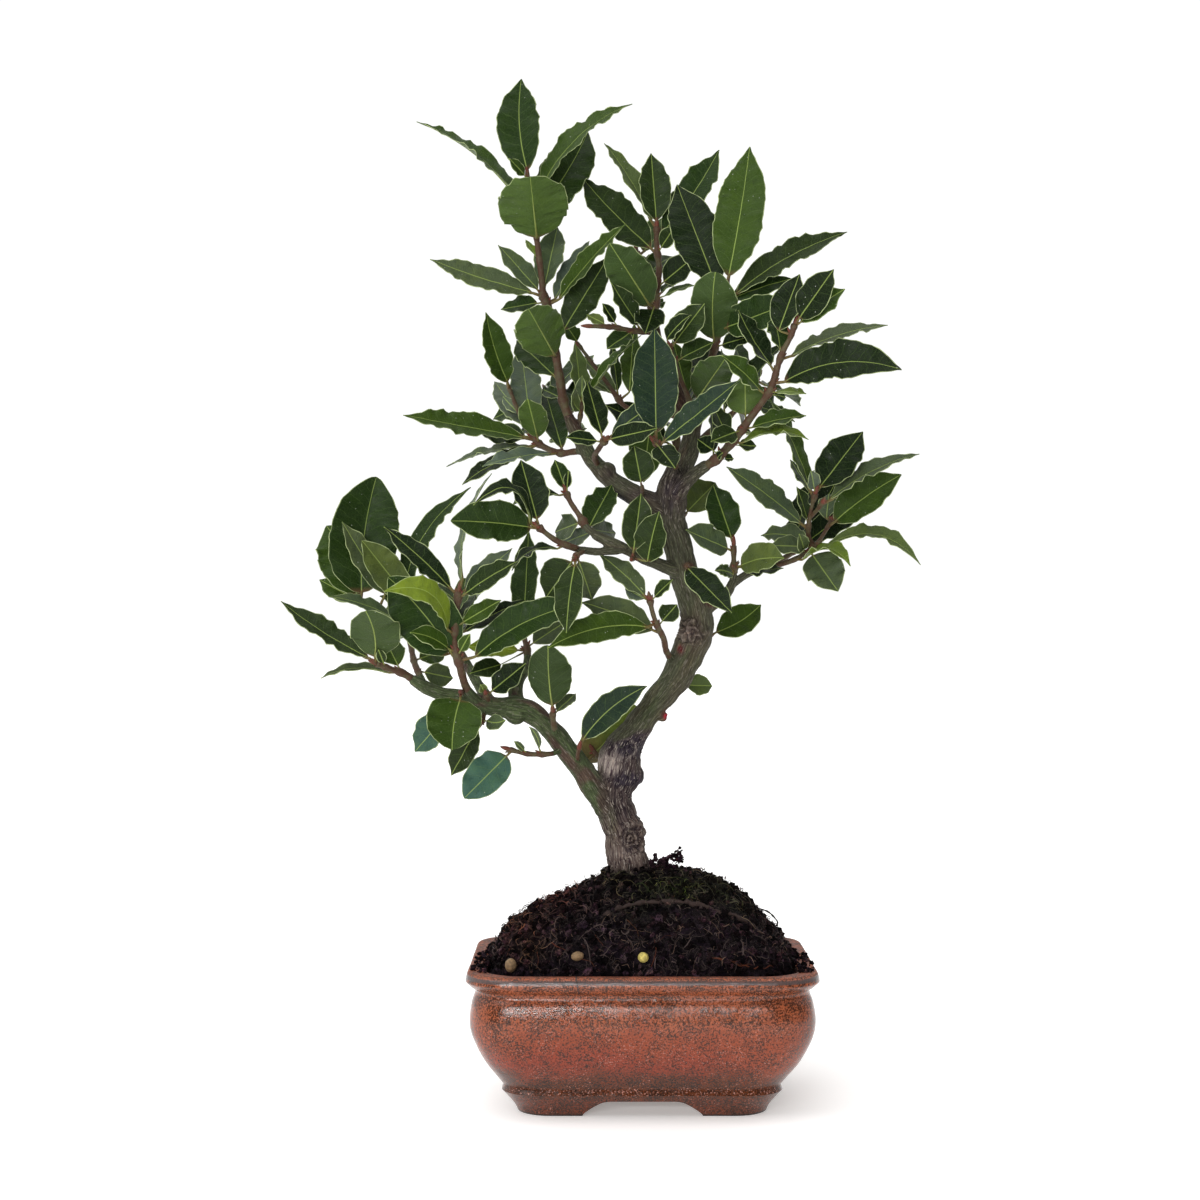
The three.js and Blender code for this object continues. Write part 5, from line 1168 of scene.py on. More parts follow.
def eased(table, sharp, pieces=4):
    """A profile with points between its own, smooth but for the corners at the sharp indices."""
    out = []
    last = len(table) - 1
    for i in range(last):
        p = [np.array(table[k], float) for k in (max(0, i - 1), i, i + 1, min(last, i + 2))]
        if i in sharp:
            p[0] = p[1]
        if i + 1 in sharp:
            p[3] = p[2]
        for k in range(pieces):
            out.append(sum(a * b for a, b in zip(curve_weights(k / pieces), p)))
    return [*out, np.array(table[last], float)]


def lofted(rings):
    """Points and faces of a closed body through rings of equal count."""
    points = np.concatenate([*rings, rings[0].mean(0)[None], rings[-1].mean(0)[None]])
    return points, closed_faces(len(rings), len(rings[0]))


def arch_outline(width):
    """The rounded outline of an arch under a pot wall: distance from its middle, height."""
    corner = [(-1, -1), (0.5, 1.5), (7, FOOT_HEIGHT - 1), (11, FOOT_HEIGHT)]
    right = [(width / 2 - a, z) for a, z in corner]
    right[0] = (width / 2 + 1, -1)
    bowed = eased(right, {0}, 5)
    return [*bowed, *[(-x, z) for x, z in reversed(bowed)]]


def arch_body(width, length, turned):
    """The body that cuts an arch right through the foot, from front to back or, turned, from side to side."""
    outline = arch_outline(width)
    count = len(outline)
    points = []
    for y in (-length / 2 - 1, length / 2 + 1):
        points += [(x, y, z) if not turned else (y, x, z) for x, z in outline]
    faces = [(k, (k + 1) % count, count + (k + 1) % count, count + k) for k in range(count)]
    faces += [tuple(range(count))[::-1], tuple(range(count, 2 * count))]
    return np.array(points, float), faces


def cut(piece, bodies):
    """Cuts bodies out of a piece and takes their scratch objects away."""
    for points, faces in bodies:
        stock = Stock()
        stock.add(points, faces)
        tool = stock.piece("cutter", [])
        corrected(tool)
        modifier = piece.modifiers.new("cut", "BOOLEAN")
        modifier.operation = "DIFFERENCE"
        modifier.solver = "EXACT"
        modifier.object = tool
        settled(piece)
        bpy.data.objects.remove(tool)


def corrected(piece):
    """Turns every face of a closed mesh outwards."""
    work = bmesh.new()
    work.from_mesh(piece.data)
    bmesh.ops.recalc_face_normals(work, faces=work.faces)
    work.to_mesh(piece.data)
    work.free()


def settled(piece):
    """Applies a piece's modifiers to its mesh."""
    graph = bpy.context.evaluated_depsgraph_get()
    old = piece.data
    name = old.name
    piece.data = bpy.data.meshes.new_from_object(piece.evaluated_get(graph))
    piece.modifiers.clear()
    bpy.data.meshes.remove(old)
    piece.data.name = name


def vertices_of(piece):
    """A piece's vertices, in millimetres from the middle of the pot's base."""
    flat = np.zeros(3 * len(piece.data.vertices))
    piece.data.vertices.foreach_get("co", flat)
    return (flat.reshape(-1, 3) - POT_MIDDLE) / MM


def move_vertices(piece, points):
    """Puts a piece's vertices at points given in the same way."""
    piece.data.vertices.foreach_set("co", (points * MM + POT_MIDDLE).ravel())
    piece.data.update()


def glazed_pot(settings):
    """The pot in one skin, hollow, with its foot arches and drain holes cut out."""
    profile = eased([*OUTSIDE, *INSIDE], {0, 2, 3, 4})
    stock = Stock()
    stock.add(*lofted([rounded_ring(width, z) for width, z in profile]))
    piece = stock.piece("glazed_pot", [glaze(settings)])
    corrected(piece)
    holes = []
    for x in (-DRAIN_SPACING / 2, DRAIN_SPACING / 2):
        at = np.array([(x, 0, FOOT_HEIGHT - 3), (x, 0, FLOOR_TOP + 7)], float)
        holes.append(tube(at, np.full(2, DRAIN_DIAMETER / 2), 40))
    cut(piece, [arch_body(ARCH_WIDTH, RIM_DEPTH, False), arch_body(SIDE_ARCH_WIDTH, RIM_WIDTH, True), *holes])
    points = vertices_of(piece)
    waver = settings.unevenness / MM
    uneven = rumple(points, 26, waver, 1) + rumple(points, 9, 0.3 * waver, 2)
    above_foot = np.abs(points[:, 2]) > 0.4
    move_vertices(piece, points + units(points * (1, 1, 0)) * (uneven * above_foot)[:, None])
    piece.data.shade_smooth()
    piece.data.set_sharp_from_angle(angle=math.radians(CRISP_ANGLE))
    return piece


def glaze(settings):
    """Speckled glaze: orange at the rim, redder in clouds, olive-brown near the foot."""
    f = Finish("speckled_glaze", roughness=0.2, specular_ior_level=0.42)
    height = f.place("Z")
    level = f.plus(height, f.times(f.minus(f.noise(14, 3), 0.5), 16))
    aside = f.math("ABSOLUTE", f.plus(f.place("X"), 20))
    red = f.times(f.band(aside, 95, 30), f.band(level, 37, 22, 0.1, 1))
    f.base = f.mix(f.times(red, 0.75), colour(settings.glaze), colour(settings.glaze_warm))
    low = f.times(f.band(level, 26, 14, 0, 0.85), f.band(height, 7, 10, 0.75, 1))
    f.lay(low, colour(settings.glaze_low))
    f.lay(f.band(level, 36, 47, 0, 0.75), colour(settings.glaze_rim))
    grain = f.noise(0.78, 3, 0.8)
    f.lay(f.band(grain, 0.36, 0.6, 0.9, 0), f.shaded(f.base, (1.4, 1.37, 1.28, 1)))
    crowd = f.plus(f.band(f.noise(9, 3), 0.36, 0.64, -0.035, 0.035), f.band(level, 30, 50, 0, 0.04))
    crowd = f.plus(crowd, f.band(level, 22, 12, 0, 0.04))
    dark = f.band(f.plus(grain, crowd), 0.5, 0.57)
    f.lay(f.times(dark, 0.9), colour(settings.dark_speck_and_foot_shade))
    large = f.band(f.noise(2.6, 3, 0.7), 0.56, 0.64)
    large = f.times(large, f.band(f.noise(15, 2), 0.44, 0.58))
    large = f.times(large, f.band(level, 33, 42, 0.25, 1))
    f.lay(f.times(large, 0.65), colour(settings.dark_speck_and_foot_shade))
    # Pale specks. Above the foot they crowd into a line along the groove; that line is partly the glaze's own
    # specks and partly a painted highlight.
    pale = f.band(f.noise(0.7, 2, 0.7), 0.58, 0.66)
    groove_highlight = f.times(f.band(height, 9.6, 10.6), f.band(height, 14, 12.4))
    share = f.plus(f.times(groove_highlight, 0.9), f.band(f.noise(8, 3), 0.44, 0.62, 0.12, 0.65))
    f.lay(f.math("MULTIPLY", pale, share, True), colour(settings.pale_speck_and_highlight))
    edge = f.times(f.band(height, 58.9, 59.5), f.band(height, 61.2, 60.5))
    f.lay(f.times(edge, 0.85), colour(settings.lip_edge))
    # a dark run of glaze down the front of the lip
    run = f.plus(f.plus(f.place("X"), 27.6), f.times(f.minus(height, 60), 0.16))
    run = f.band(f.math("ABSOLUTE", run), 0.6, 0.15)
    front = f.band(f.place("Y"), -50, -52)
    run = f.times(f.times(run, front), f.band(height, 54, 55.5))
    f.lay(f.times(run, 0.85), colour(settings.lip_edge, 0.4))
    # Painted shade: over their lowest 1.2 mm, where they meet the floor, the feet are darkened to the dark
    # speck colour.
    foot = f.band(height, 1.2, 0.3)
    f.lay(foot, colour(settings.dark_speck_and_foot_shade))
    rough = f.band(f.noise(1.4, 3), 0.4, 0.62, 0.1, 0.22)
    rough = f.plus(rough, f.band(height, 60.6, 61.5, 0, 0.5))
    rough = f.plus(rough, f.band(height, 9, 6.5, 0, 0.12))
    return f.made(rough, f.bump(f.noise(7, 2), 0.22, 1.1, f.bump(grain, 0.35, 0.2)))


# Soil

def read_off(table, place):
    """The value at a place of a table of places and values, straight between its rows."""
    for (a, value_a), (b, value_b) in zip(table, table[1:]):
        if place <= b:
            return value_a + (value_b - value_a) * (place - a) / (b - a)
    return table[-1][1]


def soil_half(z):
    """Half of the soil's width at a height inside the pot."""
    return read_off(INNER_WIDTHS, z) - SOIL_GAP


def soil_height(x, y):
    """The mound's height over a point of the pot, and how far out the point is."""
    half = soil_half(SOIL_EDGE_HEIGHT)
    reach_x = half - MOUND_MIDDLE if x > MOUND_MIDDLE else half + MOUND_MIDDLE
    share = edge_share((x - MOUND_MIDDLE) / reach_x, y / (half - SIDE_DIFFERENCE))
    sideways = x / max(1e-6, math.hypot(x, 1.2 * y))
    lean = 0.5 + 0.5 * sideways
    rise = read_off(END_RISE, share) * max(0, abs(sideways) - 0.75) / 0.25
    return read_off(LEFT_SLOPE, share) * (1 - lean) + read_off(RIGHT_SLOPE, share) * lean + rise, share


def soil_seen(x, z):
    """The spot of the mound's front that is seen at x and z, and the direction it faces."""
    near, far = -56.0, 10.0
    for _ in range(30):
        y = 0.5 * (near + far)
        at = seen(x, z, y)
        if at[2] > soil_height(at[0], at[1])[0]:
            near = y
        else:
            far = y
    at = seen(x, z, near)
    return at, soil_way(at[0], at[1])


def soil_way(x, y):
    """The direction that the mound faces over a point of the pot."""
    slope_x = (soil_height(x + 1.5, y)[0] - soil_height(x - 1.5, y)[0]) / 3
    slope_y = (soil_height(x, y + 1.5)[0] - soil_height(x, y - 1.5)[0]) / 3
    return unit(np.array([-slope_x, -slope_y, 1]))


def pellet_gap(points):
    """Each point's distance from the nearest pellet's middle."""
    middles = np.array([seen(*pellet["at"]) for pellet in PELLETS])
    return np.linalg.norm(points[:, None] - middles[None], axis=2).min(1)


def patch_tints(points):
    """How moss and rusty fibres tint the soil at each point."""
    x, z = seen_at(points)
    tints = np.ones((len(points), 3))
    front = points[:, 1] < 12
    for at_x, at_z, size, tone in SOIL_PATCHES:
        amount = np.exp(-(((x - at_x) / size) ** 2 + ((z - at_z) / size * 1.3) ** 2)) * front
        tints *= 1 + (np.array(tone) - 1) * amount[:, None]
    return tints


def edge_share(a, b):
    """How far out a point is in a rounded rectangle of half-sides 1."""
    return min(1, (abs(a) ** 4 + abs(b) ** 4) ** 0.25)


def soil_mound(settings):
    """The mound in one skin: rings from its middle out to the pot's wall, then down to the floor."""
    edge = soil_ring(SOIL_EDGE_HEIGHT)[:, :2]
    rows = 84
    middle = np.array([MOUND_MIDDLE, 0])
    shares = (np.arange(rows) + 0.4) / (rows - 0.6)
    flat = (middle + (edge - middle) * shares[:, None, None]).reshape(-1, 2)
    points = np.c_[flat, [soil_height(x, y)[0] for x, y in flat]]
    inner = np.repeat(np.minimum(1, (1 - shares) * 9), len(edge))
    coarse = rumple(points, 7, 1.9, 3) + rumple(points, 3.1, 1.5, 4)
    fine = rumple(points, 1.3, 1, 5)
    lift = (coarse * (0.25 + 0.75 * inner)) + fine * (0.4 + 0.6 * inner)
    gap = pellet_gap(points)
    points[:, 2] += lift * np.clip((gap - 2) / 4, 0.1, 1) - np.clip(0.25 * (6 - gap), 0, 1)
    below = [soil_ring(z) for z in (SOIL_EDGE_HEIGHT - 2, 48, 38, 28, 20, FLOOR_TOP + SOIL_GAP)]
    stock = Stock()
    body, faces = lofted([*points.reshape(rows, -1, 3), *below])
    stock.add(body, faces, 0, patch_tints(body))
    piece = stock.piece("soil_mound", [peat(settings)])
    corrected(piece)
    return piece


def soil_ring(z):
    """The outline of the soil at a height inside the pot."""
    return rounded_ring(soil_half(z), z, 44, 26)


def on_soil(draw, reach):
    """A random spot on the mound, with the direction it faces; steep slopes get their full share."""
    while True:
        x, y = ((2 * draw() - 1) * half for half in SOIL_REACH)
        height, share = soil_height(x, y)
        if share < reach:
            up = soil_way(x, y)
            if draw() < 0.4 / up[2]:
                return np.array([x, y, height]), up


def on_lip(draw):
    """A spot where soil has spilt over the lip, mostly at the pot's two ends."""
    side = 1 if draw() < 0.5 else -1
    y = 74 * draw() ** 1.4 - 44
    out = 7 * draw() ** 1.7 * min(1, max(0.3, 1 - (y + 5) / 34), 1.2 + (y + 36) / 14)
    at = np.array([side * (LIP_INNER + out), y, POT_HEIGHT + 0.4 * max(0, 1 - out / 2)])
    return at, np.array([side * 0.3, 0, 0.95])


def soil_crumbs(settings):
    """Crumbs, flakes and bits of bark on the mound, on the lip's ends and on the dead sprig."""
    draw = dice(CRUMB_SEED)
    stock = Stock()
    spots = [on_soil(draw, 0.995) for _ in range(settings.crumbs)]
    spots += [on_lip(draw) for _ in range(settings.crumbs // 13)]
    places = np.array([at for at, _ in spots])
    for (at, up), gap, tone in zip(spots, pellet_gap(places), patch_tints(places)):
        size = 0.35 + (1.5 if at[2] < 61.9 or abs(at[0]) < 66 else 0.8) * draw() ** 3
        halves = (size * (0.8 + 0.6 * draw()), size * (0.5 + 0.4 * draw()), size * (0.7 + 0.9 * draw()))
        way = unit(up * (draw() - 0.3) + scatter(draw) * 1.6)
        shade = 0.25 + 4 * draw() ** 4
        warm = draw()
        if gap < 4.2:
            continue
        tint = tone * shade * (1 + 0.4 * warm, 1, 1 - 0.1 * warm)
        add_crumb(stock, at + up * size * 0.5, halves, way, tint, draw)
    for start, end in SPRIG:
        a, b = seen(*start), seen(*end)
        path = np.array([a, 0.5 * (a + b) + (0.2, 0, 0.3), b])
        stock.add(*tube(path, np.array([0.6, 0.45, 0.35]), 5), 0, (1, 0.7, 0.65))
        for _ in range(16):
            size = 0.3 + 0.6 * draw()
            at = a + (b - a) * draw() ** 1.5 + scatter(draw) * 2.6
            tint = np.array((2.4, 1.6, 1.8)) * (0.3 + draw())
            add_crumb(stock, at, (size, 0.5 * size, 1.3 * size), b - a, tint, draw)
    return stock.piece("soil_crumbs", [peat(settings)], False)


def add_crumb(stock, at, halves, way, tint, draw):
    """A small lump with its points jolted."""
    points, faces = ball(at, halves, 4, 6, way)
    jolt = np.array([draw() - 0.5 for _ in range(3 * len(points))]).reshape(-1, 3)
    stock.add(points + jolt * 0.8 * halves[0], faces, 0, tint)


def soil_fibres(settings):
    """Thin roots, stalks and bark fibres that lie on the mound or stick out of it."""
    draw = dice(FIBRE_SEED)
    stock = Stock()
    for number in range(settings.fibres):
        at, up = on_soil(draw, 0.97)
        heading = 2 * math.pi * draw()
        way = np.array([math.cos(heading), math.sin(heading), 0])
        way = unit(way - up * way.dot(up))
        length = 2 + 9 * draw() ** 2.2
        turn = (draw() - 0.5) * 1.3
        rise = 0.2 + 3.4 * draw() ** 3
        steps = 6
        points = []
        for k in range(steps + 1):
            height, share = soil_height(at[0], at[1])
            if share > 0.99:
                break
            points.append(np.array([at[0], at[1], height + 0.5]) + up * (rise * math.sin(2.4 * k / steps)))
            way = unit(way + turn * np.cross(up, way) + 0.9 * np.array([draw() - 0.5, draw() - 0.5, 0]))
            at = at + way * length / steps
        thick = 0.1 + 0.26 * draw() ** 2.5
        shade, red = draw(), draw()
        if len(points) < 3 or pellet_gap(np.array(points)).min() < 4:
            continue
        tint = np.array((0.7, 1.2, 1.7)) * (0.2 + 1.9 * shade**2)
        if number % 6 == 0:
            tint = np.array((3, 4.6, 5.2)) * (0.3 + 0.9 * shade)
            thick *= 0.6
        tint = tint * patch_tints(points[0][None])[0] ** (0.5 + 1.5 * red)
        radii = np.linspace(thick, 0.5 * thick, len(points))
        stock.add(*tube(np.array(points), radii, 3), 0, tint)
    for flat, thick, tint in ROOTS:
        at = []
        for x, z, lift in np.array(flat).reshape(-1, 3):
            spot, up = soil_seen(x, z)
            at.append(spot + up * (lift + 0.4 * thick))
        at, radii = smooth_path(at, np.linspace(thick, 0.6 * thick, len(at)), 1)
        radii = radii * (1 + rumple(at, 1.3, 1.1, 40))
        stock.add(*tube(at + rumple(at, 3, 1.4, 41)[:, None] * (0.3, 0.3, 1), radii, 7), 0, tint)
    return stock.piece("soil_fibres", [fibre(settings)])


def peat(settings):
    """Near-black peat: pale and reddish threads over hollows darkened with painted shade."""
    f = Finish("dark_peat", roughness=0.9, specular_ior_level=0.05)
    grain = f.noise(1.3, 5, 0.75, 0.8)
    # Painted shade: where the grain sinks in the bump below, the peat is darkened to nearly black; where it
    # rises, it is lighter.
    f.base = f.mix(f.band(grain, 0.42, 0.66), colour(settings.peat, 0.08), colour(settings.peat, 1.5))
    heaps = f.band(f.noise(6, 3, 0.6), 0.42, 0.62)
    f.base = f.mix(heaps, f.shaded(f.base, (0.45, 0.42, 0.5, 1)), f.shaded(f.base, (1.5, 1.35, 1.45, 1)))
    threads = f.noise(1.6, 3, 0.7, 2.2, scale=(1, 1, 0.6))
    threads = f.band(f.math("ABSOLUTE", f.minus(threads, 0.5)), 0.035, 0.008)
    threads = f.times(threads, f.band(f.noise(4, 2), 0.4, 0.62, 0.05, 0.9))
    f.lay(threads, (0.06, 0.045, 0.045, 1))
    flecks = f.band(f.cells(1.1), 0.2, 0.1)
    f.lay(f.times(flecks, f.band(f.noise(3, 1), 0.55, 0.7)), colour(settings.peat_fibre, 1.4))
    f.base = f.shaded(f.base, f.attribute("tint"))
    rough = f.band(f.noise(0.9, 3), 0.3, 0.7, 0.62, 0.95)
    return f.made(rough, f.bump(grain, 1, 1.1, f.bump(threads, 0.6, 0.4)))


def fibre(settings):
    """Reddish-brown roots and stalks, each with its own tint."""
    f = Finish("root_fibre", roughness=0.8, specular_ior_level=0.2)
    f.base = f.mix(f.noise(1.2, 3), colour(settings.peat_fibre, 0.6), colour(settings.peat_fibre, 1.3))
    f.base = f.shaded(f.base, f.attribute("tint"))
    rough = f.band(f.noise(0.7, 2), 0.3, 0.7, 0.65, 0.9)
    return f.made(rough, f.bump(f.noise(0.4, 3), 0.5, 0.2))


# Wood

def wood(settings):
    """Trunk, branches, knobs and twig stubs, melted together and dressed with bark."""
    stock = Stock()
    tree = crown()
    for at, radius in tree.limbs:
        stock.add(*tube(at, radius, 20))
    for at, radius in tree.stubs:
        stock.add(*tube(at, radius * 0.97, 14))
    for x, z, y, radius in KNOBS:
        stock.add(*ball(seen(x, z, y), (radius, radius, radius), 12, 16))
    piece = stock.piece("trunk_wood", [bark(settings)])
    remesh = piece.modifiers.new("melt", "REMESH")
    remesh.mode = "VOXEL"
    remesh.voxel_size = settings.grain
    smooth = piece.modifiers.new("soften", "SMOOTH")
    smooth.factor = 0.5
    smooth.iterations = 6
    settled(piece)
    points = vertices_of(piece)
    normals = np.zeros(3 * len(points))
    piece.data.vertices.foreach_get("normal", normals)
    normals = normals.reshape(-1, 3)
    along, around, thick = grain_of(points)
    rings, shift = swirl_of(points)
    depth = settings.bark_depth / MM * np.clip(thick / 6, 0.3, 1)
    relief = depth * bark_relief(points, along, around, rings)
    move_vertices(piece, points + normals * relief[:, None])
    tints, rough = bark_tints(points, np.c_[around, 0.3 * along], rings)
    set_values(piece.data, "grain", np.c_[around, along + shift])
    set_values(piece.data, "under", rough)
    set_tint(piece.data, tints)
    piece.data.shade_smooth()
    return piece


def grain_of(points):
    """Each point's run along its limb, its place round the limb and the limb's radius."""
    limbs = [(at, radius, runs_of(at), *axes_of(at)) for at, radius in crown().limbs + crown().stubs]
    spots, radii, run, ways, sides = (np.concatenate(column) for column in zip(*limbs))
    near = []
    for some in np.array_split(points, len(points) // 4000 + 1):
        squares = (some**2).sum(1)[:, None] + (spots**2).sum(1) - 2 * some @ spots.T
        near.append((np.sqrt(squares.clip(0)) - radii).argmin(1))
    near = np.concatenate(near)
    offset = points - spots[near]
    way, side, thick = ways[near], sides[near], radii[near]
    ahead = (offset * way).sum(1)
    away = units(offset - way * ahead[:, None])
    across = np.cross(way, side)
    around = np.c_[(away * side).sum(1), (away * across).sum(1)] * thick[:, None]
    return run[near] + ahead, around, thick


def swirl_of(points):
    """Uneven rings of callus round the old knots, from -1 to 1, and how far the long grain breaks up."""
    x, z = seen_at(points)
    rings, shift = np.zeros(len(x)), np.zeros(len(x))
    for knot_x, knot_z, size, waver in SWIRLS:
        distance = np.hypot(x - knot_x, (z - knot_z) * 0.9) + rumple(points, 3, waver, 15)
        hold = np.exp(-((distance / size) ** 4)) * (points[:, 1] < 3)
        rings += np.sin(2.3 * distance + 1.4) * hold
        shift += 4 * (z - knot_z) * hold
    return rings, shift


def bark_relief(points, along, around, rings):
    """How far each point of the wood stands out: rough low down, fine ridges above, rings at the knots."""
    grain = np.c_[around, 0.3 * along]
    low = np.clip((158 - points[:, 2]) / 16, 0, 1) * (np.abs(points[:, 0] + 6) < 16)
    plates = rumple(grain, 1.9, 1, 7) + 0.7 * rumple(grain, 1, 1, 8)
    hoops = rumple(np.c_[0.25 * around, 1.6 * along], 3.2, 1, 9)
    swells = rumple(points, 6.5, 1, 11)
    return plates * (0.25 + 0.6 * low) + 0.35 * hoops * (0.5 + low) + 0.9 * swells + 2 * rings


def bark_tints(points, grain, rings):
    """The bark's colour by its place: purplish and pale at the foot, greenish above, red at the tips."""
    x, z = seen_at(points)
    cloud = rumple(grain, 5, 1, 12)
    fine = rumple(grain, 1.7, 1, 16)
    tints = np.tile(np.array(BARK_COLOURS["green_grey"]), (len(points), 1))

    def lay(name, amount):
        nonlocal tints
        amount = np.clip(amount, 0, 1)[:, None]
        tints = tints * (1 - amount) + np.array(BARK_COLOURS[name]) * amount

    def near(spot_x, spot_z, wide, high=None):
        return np.exp(-(((x - spot_x) / wide) ** 2 + ((z - spot_z) / (high or wide)) ** 2))

    left = np.clip((-14 - x) / 6, 0, 1) * np.clip((205 - z) / 10, 0, 1)
    left *= points[:, 2] > 118 - 0.6 * (x + 14)
    patches = 0.6 * near(3, 172, 4.5, 9) + 0.6 * near(18, 203, 5, 16) * (cloud > -0.25)
    lay("green", left * 0.85 + patches + 0.3 * near(9, 184, 4, 10))
    lay("green", 0.5 * near(-21, 284, 6, 7) + 0.4 * near(23, 192, 4, 8))
    lay("brown", left * np.clip(4 * cloud - 0.4 + 2.4 * near(-24, 141, 3.5), 0, 1))
    flank = np.clip((x - 2 - 0.55 * (z - 166)) / 4 + cloud, 0, 1) * (z > 155) * (z < 205)
    lay("brown", 0.28 * (1 - left) * flank)
    low = np.clip((160.5 - z + 0.25 * (x + 6)) / 2.5 + 1.3 * cloud, 0, 1) * (1 - left)
    lay("grey_brown", low)
    shadow = 1.5 * near(-7, 155, 9, 6.5) + 1.5 * near(-6, 139.5, 10, 3) + 0.6 * fine
    lay("purple", low * np.clip(shadow, 0, 1))
    lay("tan", low * np.clip((125 - z) / 9 + 0.9 * cloud, 0, 0.85))
    lay("brown", low * (0.7 * near(-17, 133, 3, 10) + 0.4 * near(-1, 146, 3)))
    lay("pale", 1.9 * near(-14.5, 147, 4.5, 4) * (0.85 + fine) + 0.35 * near(-7, 107, 9, 3) * (0.8 + fine))
    crown_base = near(14, 267, 8, 12)
    lay("grey_brown", 0.85 * crown_base + 0.7 * near(-13.7, 275, 3.5) + 0.8 * near(-1, 265, 7, 4))
    lay("purple", 0.5 * crown_base * (0.5 + 2 * fine))
    lay("brown", 0.85 * near(21.7, 205.2, 6.5) + 0.5 * near(29, 219, 4) + 0.75 * near(-4.2, 113.5, 4.5))
    lay("tan", 0.6 * near(20.5, 205, 4.5, 6))
    # Painted highlight and painted shade: the callus rings are paler where they stand out and dark purple
    # where they sink.
    lay("pale", 0.36 * np.clip(rings, 0, 1))
    lay("purple", np.where(points[:, 2] > 160, 0.45, 0.7) * np.clip(-1.4 * rings, 0, 1))
    # Painted shade: a near-black band round the trunk where it goes into the soil.
    lay("wound", 0.5 * near(-7, 99, 14, 3.5))
    lay("pale", 0.35 * np.exp(-((np.hypot((x + 7) / 4.6, (z - 153.5) / 4.2) - 1) ** 2) / 0.02) * low)
    lay("green", low * 0.4 * near(-13, 121, 2.5, 8))
    high = np.clip((z - 288) / 14 + 0.8 * cloud, 0, 1)
    lay("red_brown", high * 0.85)
    lay("brown", 0.3 * np.clip(3 * cloud - 0.5, 0, 1) * (1 - low))
    lay("bud_red", 1.3 * near(11.6, 167.8, 1.7))
    lay("scar", 1.2 * near(17.6, 197.2, 1.4, 1.9) + 0.9 * near(21, 234, 2, 1.5) + 0.7 * near(31, 218, 2))
    # a long cut wound under the left leader
    down, across = 0.75 * (x + 8.5) - 0.66 * (z - 263.2), 0.66 * (x + 8.5) + 0.75 * (z - 263.2)
    lay("wound", 0.95 * np.clip(2 - np.hypot(down / 4.5, across / 1.4), 0, 1))
    return tints, np.clip(low + 0.15 * high + 0.8 * crown_base, 0, 1)


def bark(settings):
    """Bark with fine pale dashes along the grain over furrows darkened with painted shade, and thin streaks
    on the green wood.
    """
    f = Finish("bark", roughness=0.85, specular_ior_level=0.2)
    grain = f.attribute("grain", "Vector")
    ridges = f.multiplied(grain, (1, 1, 0.16))
    fissures = f.noise(0.9, 3, 0.65, 0.4, vector=ridges)
    dashes = f.noise(0.55, 2, 0.6, 0.3, vector=ridges)
    streaks = f.noise(0.6, 3, 0.7, 0.2, vector=f.multiplied(grain, (1, 1, 0.1)))
    tint = f.attribute("tint")
    rough = f.attribute("under", "Fac")
    depth = f.plus(0.3, f.times(rough, 0.7))
    f.base = f.mix(f.band(streaks, 0.44, 0.6), f.shaded(tint, (0.62, 0.58, 0.6, 1)), tint)
    f.lay(f.band(streaks, 0.56, 0.68, 0, 0.5), f.shaded(tint, (2, 1.75, 1.65, 1)))
    # Painted shade: the bark is darkened in the furrows where the bump below sinks.
    furrow_shade = f.times(f.band(fissures, 0.52, 0.4), depth)
    f.lay(furrow_shade, f.shaded(tint, (0.2, 0.15, 0.2, 1)))
    dash = f.times(f.band(dashes, 0.585, 0.66), f.times(depth, 0.8))
    f.lay(dash, colour(settings.dash))
    f.lay(f.band(f.noise(3.5, 4), 0.6, 0.74, 0, 0.16), colour(settings.lichen))
    rough = f.band(fissures, 0.35, 0.65, 0.95, 0.65)
    return f.made(rough, f.bump(fissures, 0.8, 0.5, f.bump(dashes, 0.5, 0.25)))


# Leafy shoots

def petiole_path(blade):
    """The path of the stalk and the midrib, from inside the twig to the tip."""
    stalk = [blade.start + (blade.base - blade.start) * t for t in (0, 0.5, 0.95)]
    path = [*stalk, *blade.middle(np.array([0.06, 0.14, 0.24, 0.36, 0.5, 0.64, 0.78, 0.9, 0.97]))]
    return smooth_path(path, np.ones(len(path)), 1.6)[0]


def ripple(draw, length):
    """A wavering of the margin along a leaf: two waves of uneven length."""
    counts = length / (6.2 + 2 * draw()), length / (4.3 + 1.2 * draw())
    starts = 2 * math.pi * draw(), 2 * math.pi * draw()
    lows = 2 * math.pi * draw()

    def at(u):
        fade = 0.65 + 0.35 * np.sin(2 * math.pi * 1.3 * u + lows)
        first = np.sin(2 * math.pi * counts[0] * u + starts[0])
        return fade * (0.62 * first + 0.38 * np.sin(2 * math.pi * counts[1] * u + starts[1]))

    return at


